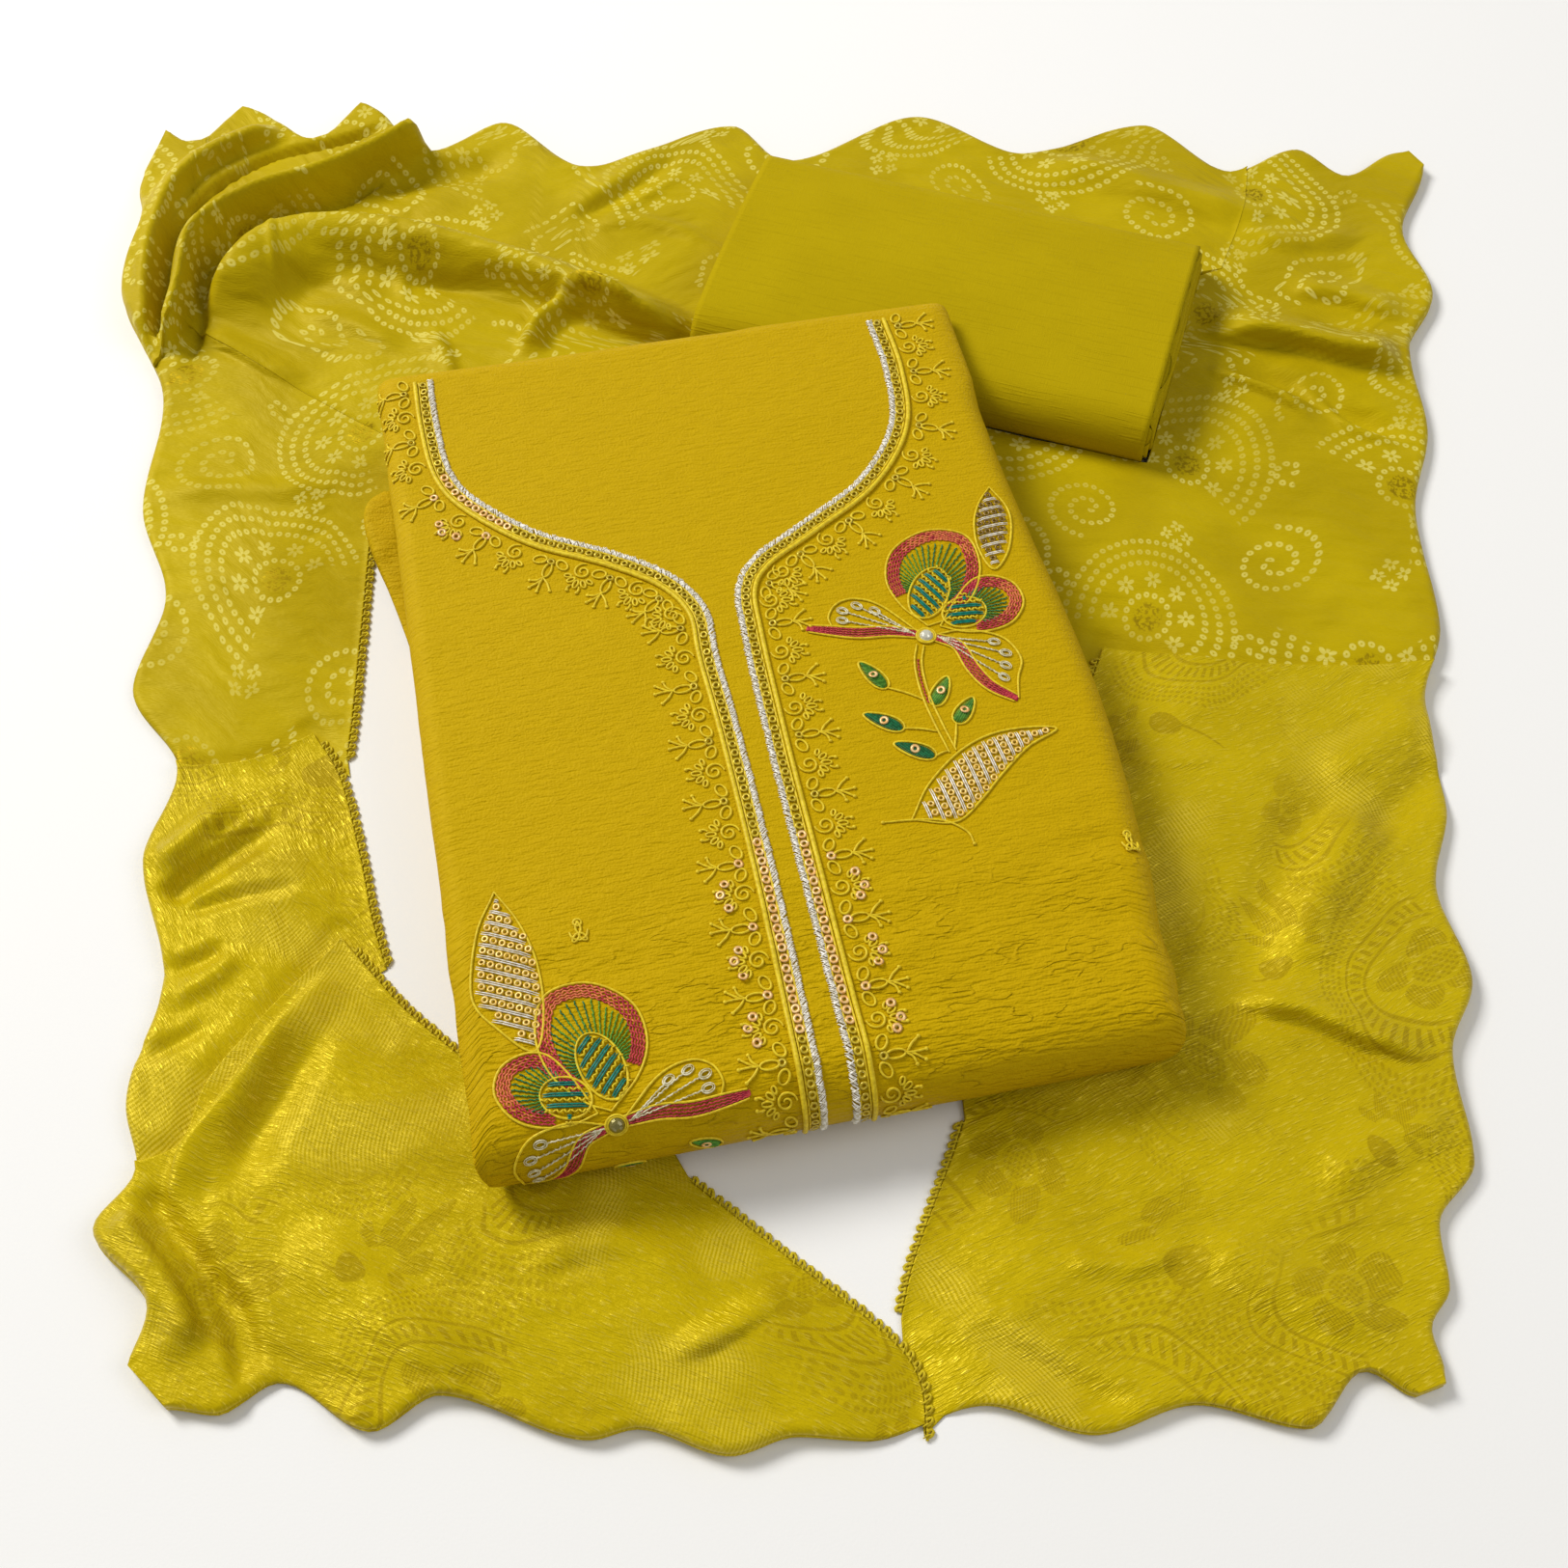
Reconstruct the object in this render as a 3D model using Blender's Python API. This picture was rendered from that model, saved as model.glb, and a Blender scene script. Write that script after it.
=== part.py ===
"""Salwar kameez suit laid out flat: folded kameez, rolled-up salwar cloth and a dupatta spread round them.

Metres, +Z up. Everything lies on the plane z = 0. The tables are in the layout's own frame, with x to the
right, y away from the near edge; the finished part is moved so that its footprint is centred on the origin.
"""
import bpy
import numpy as np
from math import ceil, cos, hypot, radians, sin
from mathutils import Vector
from mathutils.geometry import delaunay_2d_cdt

# ---------------------------------------------------------------- driving dimensions
GAP = 0.0003                    # clearance between pieces that meet
WALL = 0.0016                   # kameez front panel, two layers of crinkled silk pressed together

KAMEEZ_AT = (-0.018, 0.027)     # middle of the folded kameez
KAMEEZ_TURN = radians(11.3)
KAMEEZ_WIDTH = 0.270
KAMEEZ_LENGTH = 0.388
KAMEEZ_NEAR_HEIGHT = 0.043      # at the rounded front fold
KAMEEZ_FAR_LEFT_HEIGHT = 0.051
KAMEEZ_FAR_RIGHT_HEIGHT = 0.048
KAMEEZ_CROWN = 0.003
KAMEEZ_BULGE = 0.012            # how far the right side swells
KAMEEZ_BULGE_AT = -0.045        # where along the length
KAMEEZ_BULGE_REACH = 0.115
NEAR_ROUND = 0.020              # radius of the front fold
LEFT_ROUND = 0.009
RIGHT_ROUND = 0.012
FAR_ROUND = 0.009

SALWAR_AT = (0.084, 0.270)      # middle of the rolled salwar cloth
SALWAR_TURN = radians(-17.3)
SALWAR_LENGTH = 0.230
SALWAR_WIDTH = 0.136
SALWAR_HEIGHT = 0.036
SALWAR_CROWN = 0.003
SALWAR_WALL = 0.0020

EDGE_ROUND = 0.005              # how the dupatta rounds over at its outer edge
SEAM_ROUND = 0.0015             # and where two stretches meet
LIP = 0.0026                    # thickness at a trimmed edge
LIP_RISE = 0.045                # distance over which it grows to the stretch's own height
TRIM_WIDTH = 0.0034
TRIM_HEIGHT = 0.0022
TRIM_CLEAR = TRIM_WIDTH + 3 * GAP

BRAID_WIDTH = 0.0105
BRAID_THICK = 0.0012
BRAID_LIFT = 0.0006

CLOTH_STEP = 0.0155             # mesh size on the open cloth
EDGE_STEP = 0.0115              # and along its edges
TRIM_STEP = 0.009
KAMEEZ_STEP = 0.016             # along the kameez's sides
PANEL_STEP = 0.030              # on its flat top and base
BRAID_STEP = 0.0085
NARROWEST_FOLD = 0.0085         # sharper fold flanks than this are left to the finer surface

# ---------------------------------------------------------------- outer edge of the dupatta
CORNERS = {
    "far_left": (-0.335, 0.395), "far_right": (0.340, 0.395),
    "near_right": (0.245, -0.268), "near_left": (-0.245, -0.262),
}

# The edge is turned under in loose waves. Each row is one wave:
# (crest_at, crest_out, dip_at, dip_out), all metres along the side and outward from its chord.
EDGE_WAVES = {
    "far": [
        (0.005, 0.010, 0.020, 0.002), (0.045, 0.030, 0.086, 0.005), (0.108, 0.032, 0.148, -0.003),
        (0.184, 0.020, 0.229, -0.015), (0.308, 0.018, 0.335, -0.009), (0.407, 0.024, 0.462, -0.004),
        (0.528, 0.017, 0.570, -0.018), (0.608, 0.000, 0.632, -0.018), (0.662, -0.001, 0.668, -0.001),
    ],
    "right": [
        (0.012, 0.001, 0.062, -0.011), (0.107, 0.003, 0.149, -0.010), (0.201, -0.002, 0.249, -0.009),
        (0.319, 0.000, 0.359, -0.008), (0.415, 0.000, 0.452, -0.006), (0.496, 0.007, 0.528, -0.002),
        (0.573, 0.005, 0.600, -0.009), (0.624, -0.006, 0.640, -0.013), (0.655, -0.009, 0.660, -0.009),
    ],
    "near": [
        (0.018, -0.007, 0.035, -0.016), (0.058, 0.005, 0.097, -0.003), (0.135, 0.008, 0.173, -0.002),
        (0.216, 0.011, 0.240, 0.010), (0.264, 0.017, 0.297, 0.008), (0.314, 0.012, 0.369, -0.003),
        (0.392, 0.010, 0.427, -0.007), (0.448, 0.005, 0.466, 0.003),
    ],
    "left": [
        (0.010, -0.010, 0.029, -0.016), (0.063, 0.005, 0.086, -0.010), (0.113, -0.005, 0.167, -0.018),
        (0.222, -0.008, 0.266, -0.021), (0.312, 0.000, 0.362, -0.013), (0.416, -0.001, 0.480, -0.009),
        (0.558, 0.013, 0.607, 0.004), (0.630, 0.007, 0.644, 0.005),
    ],
}
SIDES = {
    "far": ("far_left", "far_right"), "right": ("far_right", "near_right"),
    "near": ("near_right", "near_left"), "left": ("near_left", "far_left"),
}

# ---------------------------------------------------------------- inner edges and seams of the dupatta
# Trimmed edges, each a row of (x, y) along the edge with the open floor on its right-hand side.
TRIM_LEFT_PRINT = [(-0.189, 0.010), (-0.189, 0.034), (-0.191, 0.098), (-0.192, 0.140), (-0.188, 0.151)]
TRIM_LEFT_PALLU = [(-0.161, -0.089), (-0.169, -0.067), (-0.178, -0.035), (-0.191, 0.003), (-0.205, 0.025)]
TRIM_FRONT_FAR = [(-0.124, -0.131), (-0.151, -0.108), (-0.166, -0.092), (-0.181, -0.075)]
TRIM_FRONT_NEAR = [(0.0505, -0.277), (0.049, -0.255), (0.037, -0.238), (-0.004, -0.205), (-0.040, -0.176)]
TRIM_RIGHT_NEAR = [(0.070, -0.154), (0.064, -0.171), (0.049, -0.209), (0.043, -0.232)]
TRIM_RIGHT_FAR = [(0.143, 0.071), (0.137, 0.055), (0.133, 0.040), (0.1315, 0.029)]
TRIM_RIGHT_PRINT = [(0.120, 0.078), (0.124, 0.066), (0.1285, 0.051)]

# One edging strip per trimmed edge: (edge, left off at its start, left off at its end).
TRIMS = {
    "trim_left_print": (TRIM_LEFT_PRINT, 0.0015, 0.001), "trim_left_pallu": (TRIM_LEFT_PALLU, 0.001, 0.013),
    "trim_front_far": (TRIM_FRONT_FAR, 0.004, 0.013), "trim_front_near": (TRIM_FRONT_NEAR, 0.001, 0.002),
    "trim_right_near": (TRIM_RIGHT_NEAR, 0.001, 0.002), "trim_right_far": (TRIM_RIGHT_FAR, 0.013, 0.006),
    "trim_right_print": (TRIM_RIGHT_PRINT, 0.002, 0.002),
}

# Where one stretch of the dupatta goes over the next: (side and distance where the seam starts, points).
SALWAR_FAR_AT = 0.332           # along the far side
RIGHT_FAR_AT = 0.580
BORDER_RIGHT_AT = 0.339         # along the right side
TRIM_FOOT_AT = 0.195            # along the near side, where the front trim ends
FOLD_LEFT_AT = 0.088            # along the left side
BORDER_LEFT_AT = 0.270
GATHERS_LEFT_AT = 0.503
SEAM_GATHERS = (("left", GATHERS_LEFT_AT), [(-0.298, 0.262), (-0.278, 0.252), (-0.252, 0.234), (-0.232, 0.219),
                                           (-0.196, 0.196)])
SEAM_LEFT_BORDER = (("left", BORDER_LEFT_AT), [(-0.253, 0.006), (-0.229, 0.010), (-0.205, 0.025)])
SEAM_FRONT_FOLD = (("left", FOLD_LEFT_AT), [(-0.231, -0.166), (-0.225, -0.142), (-0.210, -0.118),
                                            (-0.196, -0.097), (-0.181, -0.075)])
SEAM_RIGHT_BORDER = (("right", BORDER_RIGHT_AT), [(0.255, 0.057), (0.211, 0.058), (0.176, 0.064),
                                                  (0.143, 0.071)])
SEAM_BEHIND_SALWAR = (("far", SALWAR_FAR_AT), [(-0.004, 0.373)])
SEAM_FAR_RIGHT = (("far", RIGHT_FAR_AT), [(0.238, 0.345), (0.222, 0.303)])

# Which part of the kameez's outline each stretch meets: (side, from, to) along that side.
MEETS_KAMEEZ = {
    "far_gathers": [("far", -0.134, 0.047)], "right_print": [("right", 0.026, 0.146)],
    "left_print": [("left", 0.153, 0.191)],
    "front_pallu": [("near", -0.062, -0.1345), ("left", -0.1935, -0.135)],
    "right_pallu": [("right", -0.031, -0.191), ("near", 0.134, 0.052)],
}
# And of the salwar cloth's outline: counter-clockwise points, as shares of its half length and half width.
MEETS_SALWAR = {
    "far_gathers": [(-1, 1), (-1, -1), (-0.66, -1)], "behind_salwar": [(0.97, 1), (-0.95, 1)],
    "right_print": [(0.21, -1), (1, -1), (1, 1)],
}

# ---------------------------------------------------------------- folds
# One row per fold: (crest path, height, flank on the left of the path, flank on its right). A trough has
# a negative height. Heights and flanks are metres; a short flank is a fold that stands up steeply.
FOLDS = [
    # gathers at the far left: an outer roll, the rolled band inside it and the big arch in front
    ([(-0.309, 0.262), (-0.325, 0.300), (-0.326, 0.345), (-0.312, 0.385)], 0.009, 0.016, 0.010),
    ([(-0.306, 0.243), (-0.303, 0.277), (-0.303, 0.309), (-0.292, 0.328), (-0.268, 0.349), (-0.240, 0.362),
      (-0.207, 0.392)], 0.021, 0.011, 0.016),
    ([(-0.289, 0.268), (-0.276, 0.300), (-0.258, 0.319), (-0.228, 0.327), (-0.190, 0.322)],
     0.023, 0.010, 0.046),
    ([(-0.205, 0.322), (-0.160, 0.306), (-0.125, 0.294), (-0.085, 0.272), (-0.048, 0.246)],
     0.021, 0.024, 0.009),
    ([(-0.292, 0.264), (-0.262, 0.243), (-0.232, 0.223)], 0.007, 0.012, 0.008),
    ([(-0.140, 0.252), (-0.126, 0.268), (-0.108, 0.276), (-0.080, 0.268)], 0.010, 0.010, 0.014),
    ([(-0.120, 0.338), (-0.092, 0.362), (-0.066, 0.392)], 0.008, 0.020, 0.009),
    ([(-0.215, 0.352), (-0.180, 0.368), (-0.145, 0.384)], -0.006, 0.012, 0.014),
    # far right: one fold lies over the hollow beside the salwar cloth
    ([(0.208, 0.258), (0.245, 0.254), (0.272, 0.244), (0.300, 0.236)], 0.013, 0.026, 0.009),
    ([(0.214, 0.238), (0.246, 0.226), (0.274, 0.206), (0.302, 0.188)], -0.005, 0.010, 0.009),
    ([(0.250, 0.290), (0.282, 0.282), (0.312, 0.268)], 0.006, 0.020, 0.010),
    ([(0.120, 0.375), (0.165, 0.372), (0.215, 0.350), (0.262, 0.338)], 0.006, 0.020, 0.018),
    # left side
    ([(-0.300, 0.158), (-0.255, 0.160), (-0.206, 0.157)], 0.002, 0.012, 0.012),
    ([(-0.262, -0.062), (-0.244, -0.043), (-0.226, -0.024)], -0.005, 0.014, 0.014),
    ([(-0.262, -0.034), (-0.240, -0.018), (-0.214, -0.008)], 0.004, 0.014, 0.014),
    # front left: the folded edge and the turned corner
    ([(-0.186, -0.086), (-0.200, -0.108), (-0.215, -0.132), (-0.228, -0.160)], 0.007, 0.018, 0.009),
    ([(-0.180, -0.095), (-0.199, -0.122), (-0.210, -0.146)], 0.003, 0.009, 0.012),
    ([(-0.240, -0.186), (-0.230, -0.204), (-0.214, -0.228), (-0.200, -0.252)], 0.006, 0.016, 0.009),
    ([(-0.045, -0.250), (-0.018, -0.236), (0.008, -0.218)], 0.004, 0.012, 0.012),
    # right side
    ([(0.172, -0.105), (0.203, -0.110), (0.227, -0.123), (0.258, -0.132)], 0.005, 0.016, 0.011),
    ([(0.225, -0.004), (0.255, 0.014), (0.284, 0.038)], 0.005, 0.018, 0.018),
    ([(0.062, -0.246), (0.089, -0.262), (0.112, -0.272)], -0.003, 0.012, 0.012),
    ([(0.150, -0.200), (0.190, -0.225), (0.225, -0.236)], 0.004, 0.018, 0.018),
]

# Height of each stretch away from its trimmed edges: the hidden layers under the top one.
LEVELS = {
    "dupatta_far_gathers": 0.0100, "dupatta_behind_salwar": 0.0090, "dupatta_right_print": 0.0065,
    "dupatta_left_print": 0.0050, "dupatta_left_pallu": 0.0066, "dupatta_front_pallu": 0.0078,
    "dupatta_right_pallu": 0.0072,
}

# The neckline braid on each half, from the far edge down over the front fold. Rows are
# (across, along) on the panel from its middle, metres, at the braid's inner edge; along is measured on
# the cloth, so it runs on round the fold.
BRAID_LEFT = [(-0.1085, 0.183), (-0.1085, 0.157), (-0.1055, 0.128), (-0.095, 0.109), (-0.072, 0.087),
              (-0.041, 0.069), (-0.019, 0.052), (-0.008, 0.032), (-0.0075, 0.007), (-0.0055, -0.033),
              (-0.004, -0.088), (-0.0035, -0.139), (-0.0035, -0.178), (-0.0035, -0.214)]
BRAID_RIGHT = [(0.094, 0.183), (0.095, 0.151), (0.090, 0.119), (0.070, 0.091), (0.040, 0.071),
               (0.016, 0.056), (0.005, 0.040), (0.003, 0.015), (0.003, -0.039), (0.004, -0.093),
               (0.005, -0.140), (0.006, -0.176), (0.006, -0.214)]

COLOURS = {
    "kameez_silk": ((0.560, 0.400, 0.006), 0.55), "neck_braid": ((0.700, 0.660, 0.520), 0.35),
    "salwar_cotton": ((0.430, 0.360, 0.008), 0.85), "dupatta_print": ((0.600, 0.500, 0.010), 0.60),
    "dupatta_jacquard": ((0.560, 0.470, 0.012), 0.42), "dupatta_trim": ((0.300, 0.250, 0.008), 0.80),
}


# ---------------------------------------------------------------- curves
def smooth_path(points, step):
    """A smooth curve through the points, as evenly spaced points about step apart."""
    p = np.array(points, float)
    p = np.vstack([2 * p[0] - p[1], p, 2 * p[-1] - p[-2]])
    fine = []
    for i in range(1, len(p) - 2):
        for u in np.linspace(0, 1, 12, endpoint=False):
            fine.append(0.5 * (2 * p[i] + (p[i + 1] - p[i - 1]) * u
                               + (2 * p[i - 1] - 5 * p[i] + 4 * p[i + 1] - p[i + 2]) * u ** 2
                               + (3 * p[i] - p[i - 1] - 3 * p[i + 1] + p[i + 2]) * u ** 3))
    fine.append(p[-2])
    fine = np.array(fine)
    along = np.concatenate([[0], np.cumsum(np.linalg.norm(np.diff(fine, axis=0), axis=1))])
    stations = np.linspace(0, along[-1], max(2, ceil(along[-1] / step) + 1))
    return np.stack([np.interp(stations, along, fine[:, k]) for k in range(p.shape[1])], axis=1)


def left_normals(path, closed=False):
    """Unit normals to the left of a path, mitred so that an offset keeps its distance at corners."""
    ahead, behind = np.roll(path, -1, axis=0), np.roll(path, 1, axis=0)
    if not closed:
        ahead[-1], behind[0] = path[-1], path[0]
    into, out = path - behind, ahead - path
    if not closed:
        into[0], out[-1] = out[0], into[-1]
    into /= np.linalg.norm(into, axis=1)[:, None]
    out /= np.linalg.norm(out, axis=1)[:, None]
    middle = into + out
    middle /= np.maximum(np.linalg.norm(middle, axis=1), 1e-9)[:, None]
    stretch = 1 / np.clip((middle * into).sum(axis=1), 0.75, 1)
    return np.stack([-middle[:, 1], middle[:, 0]], axis=1) * stretch[:, None]


def ease(u):
    u = np.clip(u, 0, 1)
    return u * u * (3 - 2 * u)


def edge(side, start, end, step=EDGE_STEP):
    """Points of the wavy outer edge between two distances along one side."""
    a, b = (np.array(CORNERS[name]) for name in SIDES[side])
    length = np.linalg.norm(b - a)
    run = (b - a) / length
    out = np.array([-run[1], run[0]])
    knots = [(at, reach) for row in EDGE_WAVES[side] for at, reach in (row[:2], row[2:])]
    at = np.array([k[0] for k in knots])
    reach = np.array([k[1] for k in knots])
    stations = np.linspace(start, end, max(2, ceil(abs(end - start) / step) + 1))
    index = np.clip(np.searchsorted(at, stations) - 1, 0, len(at) - 2)
    u = ease((stations - at[index]) / (at[index + 1] - at[index]))
    offset = reach[index] * (1 - u) + reach[index + 1] * u
    return a + stations[:, None] * run + offset[:, None] * out


def ends(side):
    """Where a side's first and last waves are: the corners between two sides are left to a short chord."""
    return EDGE_WAVES[side][0][0], EDGE_WAVES[side][-1][2]


def nearest(points, path):
    """For each point: distance to the path, signed positive on its left, and how far along it lies."""
    a, b = path[:-1], path[1:]
    run = b - a
    size = (run ** 2).sum(axis=1)
    rel = points[:, None, :] - a[None]
    u = np.clip((rel * run).sum(axis=2) / size, 0, 1)
    foot = rel - u[..., None] * run
    dist = np.sqrt((foot ** 2).sum(axis=2))
    best = dist.argmin(axis=1)
    rows = np.arange(len(points))
    cross = run[best, 0] * foot[rows, best, 1] - run[best, 1] * foot[rows, best, 0]
    start = np.concatenate([[0], np.cumsum(np.sqrt(size))])
    along = start[best] + u[rows, best] * np.sqrt(size[best])
    return np.where(cross >= 0, 1, -1) * dist[rows, best], along, start[-1]


FOLD_PATHS = [(smooth_path(path, 0.006), height, left, right) for path, height, left, right in FOLDS]


def fold_height(points):
    """Sum of the folds: each rises to its crest, falls away on its flanks and fades at its ends."""
    total = np.zeros(len(points))
    for path, height, left, right in FOLD_PATHS:
        side, along, length = nearest(points, path)
        flank = np.maximum(np.where(side > 0, left, right), NARROWEST_FOLD)
        across = np.clip(1 - (side / flank) ** 2, 0, 1) ** 2
        fade = 0.25 * length
        total += height * across * ease(along / fade) * ease((length - along) / fade)
    return total


# ---------------------------------------------------------------- the two folded packs, in plan
def turned(at, turn, points):
    """Points given across and along a pack, in the layout frame."""
    points = np.atleast_2d(np.array(points, float))
    c, s = cos(turn), sin(turn)
    return np.stack([at[0] + c * points[:, 0] - s * points[:, 1],
                     at[1] + s * points[:, 0] + c * points[:, 1]], axis=1)


def kameez_plan(points):
    return turned(KAMEEZ_AT, KAMEEZ_TURN, points)


def salwar_plan(points):
    return turned(SALWAR_AT, SALWAR_TURN, points)


def bulge(along):
    return KAMEEZ_BULGE * np.exp(-((along - KAMEEZ_BULGE_AT) / KAMEEZ_BULGE_REACH) ** 2)


def kameez_side(side, start, end, out=2 * GAP):
    """Points just outside one side of the kameez at its widest."""
    stations = np.linspace(start, end, max(2, ceil(abs(end - start) / KAMEEZ_STEP) + 1))
    half_w, half_l = KAMEEZ_WIDTH / 2 + out, KAMEEZ_LENGTH / 2 + out
    if side == "left":
        rows = [(-half_w, t) for t in stations]
    elif side == "right":
        rows = [(half_w + bulge(t), t) for t in stations]
    else:
        rows = [(s, half_l if side == "far" else -half_l) for s in stations]
    return kameez_plan(rows)


def salwar_side(corners, out=2 * GAP):
    """Counter-clockwise points round the salwar cloth, as shares of its half length and half width."""
    half_l, half_w, cut = SALWAR_LENGTH / 2 + out, SALWAR_WIDTH / 2 + out, 0.004
    first_turn = {(1, -1): -90, (1, 1): 0, (-1, 1): 90, (-1, -1): 180}
    rows = []
    for along, across in corners:
        u, v = along * half_l, across * half_w
        if (along, across) not in first_turn:
            rows.append((u, v))
            continue
        for step in (0, 30, 60, 90):
            turn = radians(first_turn[along, across] + step)
            rows.append((u - along * cut + cut * cos(turn), v - across * cut + cut * sin(turn)))
    return salwar_plan(rows)


def kameez_height(points):
    """Height of the kameez's upper surface at points across and along it, before its sides round over."""
    s, t = points[:, 0], points[:, 1]
    far = (t + KAMEEZ_LENGTH / 2) / KAMEEZ_LENGTH
    right = (s + KAMEEZ_WIDTH / 2) / KAMEEZ_WIDTH
    far_height = KAMEEZ_FAR_LEFT_HEIGHT * (1 - right) + KAMEEZ_FAR_RIGHT_HEIGHT * right
    crown = (1 - (2 * s / KAMEEZ_WIDTH) ** 2) * (1 - (2 * t / KAMEEZ_LENGTH) ** 2)
    return KAMEEZ_NEAR_HEIGHT * (1 - far) + far_height * far + KAMEEZ_CROWN * np.clip(crown, 0, 1)


# ---------------------------------------------------------------- mesh building
def material(name):
    colour, roughness = COLOURS[name]
    made = bpy.data.materials.get(name)
    if made is None:
        made = bpy.data.materials.new(name)
        made.use_nodes = True
        shader = made.node_tree.nodes["Principled BSDF"]
        shader.inputs["Base Color"].default_value = (*colour, 1)
        shader.inputs["Roughness"].default_value = roughness
        made.diffuse_color = (*colour, 1)
    return made


def add_object(name, verts, faces, finish):
    mesh = bpy.data.meshes.new(name)
    mesh.from_pydata([tuple(v) for v in verts], [], faces)
    mesh.shade_smooth()
    mesh.set_sharp_from_angle(angle=radians(40))
    mesh.materials.append(material(finish))
    obj = bpy.data.objects.new(name, mesh)
    bpy.context.collection.objects.link(obj)
    return obj


def area(loop):
    x, y = loop[:, 0], loop[:, 1]
    return 0.5 * (x * np.roll(y, -1) - np.roll(x, -1) * y).sum()


def inside(points, loop):
    a, b = loop, np.roll(loop, -1, axis=0)
    y = points[:, 1][:, None]
    crosses = (a[:, 1] > y) != (b[:, 1] > y)
    at = a[:, 0] + (y - a[:, 1]) * (b[:, 0] - a[:, 0]) / np.where(b[:, 1] == a[:, 1], 1e-12, b[:, 1] - a[:, 1])
    return (crosses & (points[:, 0][:, None] < at)).sum(axis=1) % 2 == 1


def fill(loop, step):
    """Triangles over a counter-clockwise loop, with points on a staggered grid inside it."""
    extra = np.zeros((0, 2))
    if step:
        low, high = loop.min(axis=0), loop.max(axis=0)
        rows = np.arange(low[1] + step / 2, high[1], step * 0.866)
        grid = [(x, y) for k, y in enumerate(rows)
                for x in np.arange(low[0] + step * (0.25 + 0.5 * (k % 2)), high[0], step)]
        extra = np.array(grid)
        extra = extra[inside(extra, loop)]
        ring = np.vstack([loop, loop[:1]])
        extra = extra[np.abs(nearest(extra, ring)[0]) > 0.55 * step] if len(extra) else extra
    points = np.vstack([loop, extra]) if len(extra) else loop
    count = len(loop)
    edges = [(i, (i + 1) % count) for i in range(count)]
    verts, _, faces, *_ = delaunay_2d_cdt([Vector(p) for p in points], edges, [], 1, 1e-7)
    assert len(verts) == len(points)
    return np.array([tuple(v) for v in verts]), [tuple(face) for face in faces]


def ring_faces(first, second, count):
    """Triangles between two closed rings of vertices, the first above or inside the second."""
    faces = []
    for i in range(count):
        j = (i + 1) % count
        faces.append((first + i, second + i, second + j))
        faces.append((first + i, second + j, first + j))
    return faces


def cushion(name, finish, rows, top, step):
    """A closed body: a filled top, rings of (points, heights) down its side, and a flat base."""
    plan, faces = fill(rows[0][0], step)
    verts = [np.column_stack([plan, top(plan)])]
    count = len(rows[0][0])
    above = 0
    start = len(plan)
    for points, heights in rows[1:]:
        verts.append(np.column_stack([points, np.broadcast_to(heights, count)]))
        faces += ring_faces(above, start, count)
        above = start
        start += count
    _, base = fill(rows[-1][0], 0)
    faces += [tuple(above + i for i in reversed(face)) for face in base]
    return add_object(name, np.vstack(verts), faces, finish)


# ---------------------------------------------------------------- dupatta
# How a stretch's side goes from its top to the floor: (share of the rounding, share of the height).
# The dip halfway shows that it is folded double.
FREE_EDGE = [(1.0, 1.0), (0.12, 0.74), (0.26, 0.50), (0.0, 0.34), (0.20, 0.0)]
NEAR_TRIM = {
    "dupatta_left_print": [TRIM_LEFT_PRINT], "dupatta_left_pallu": [TRIM_LEFT_PALLU],
    "dupatta_front_pallu": [TRIM_FRONT_FAR, TRIM_FRONT_NEAR],
    "dupatta_right_pallu": [TRIM_RIGHT_NEAR, TRIM_RIGHT_FAR], "dupatta_right_print": [TRIM_RIGHT_PRINT],
}


def cleared(points, distance):
    """A seam or trimmed edge moved off to its right, to leave room for the trim beside it."""
    path = smooth_path(points, EDGE_STEP)
    return path - left_normals(path) * distance


def joined(*runs):
    """One closed loop, counter-clockwise, from runs of points, with repeated ends dropped."""
    loop = []
    for run in runs:
        for p in run:
            if not loop or hypot(p[0] - loop[-1][0], p[1] - loop[-1][1]) > 0.0022:
                loop.append(tuple(p))
    while hypot(loop[0][0] - loop[-1][0], loop[0][1] - loop[-1][1]) < 0.0022:
        loop.pop()
    loop = np.array(loop)
    return loop if area(loop) > 0 else loop[::-1]


def path(points):
    return smooth_path(points, EDGE_STEP)


def seam(start, points):
    """A seam from the outer edge inwards."""
    side, at = start
    return smooth_path([tuple(edge(side, at, at)[0])] + points, EDGE_STEP)


def beside_kameez(stretch):
    return np.vstack([kameez_side(*row) for row in MEETS_KAMEEZ[stretch]])


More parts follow.
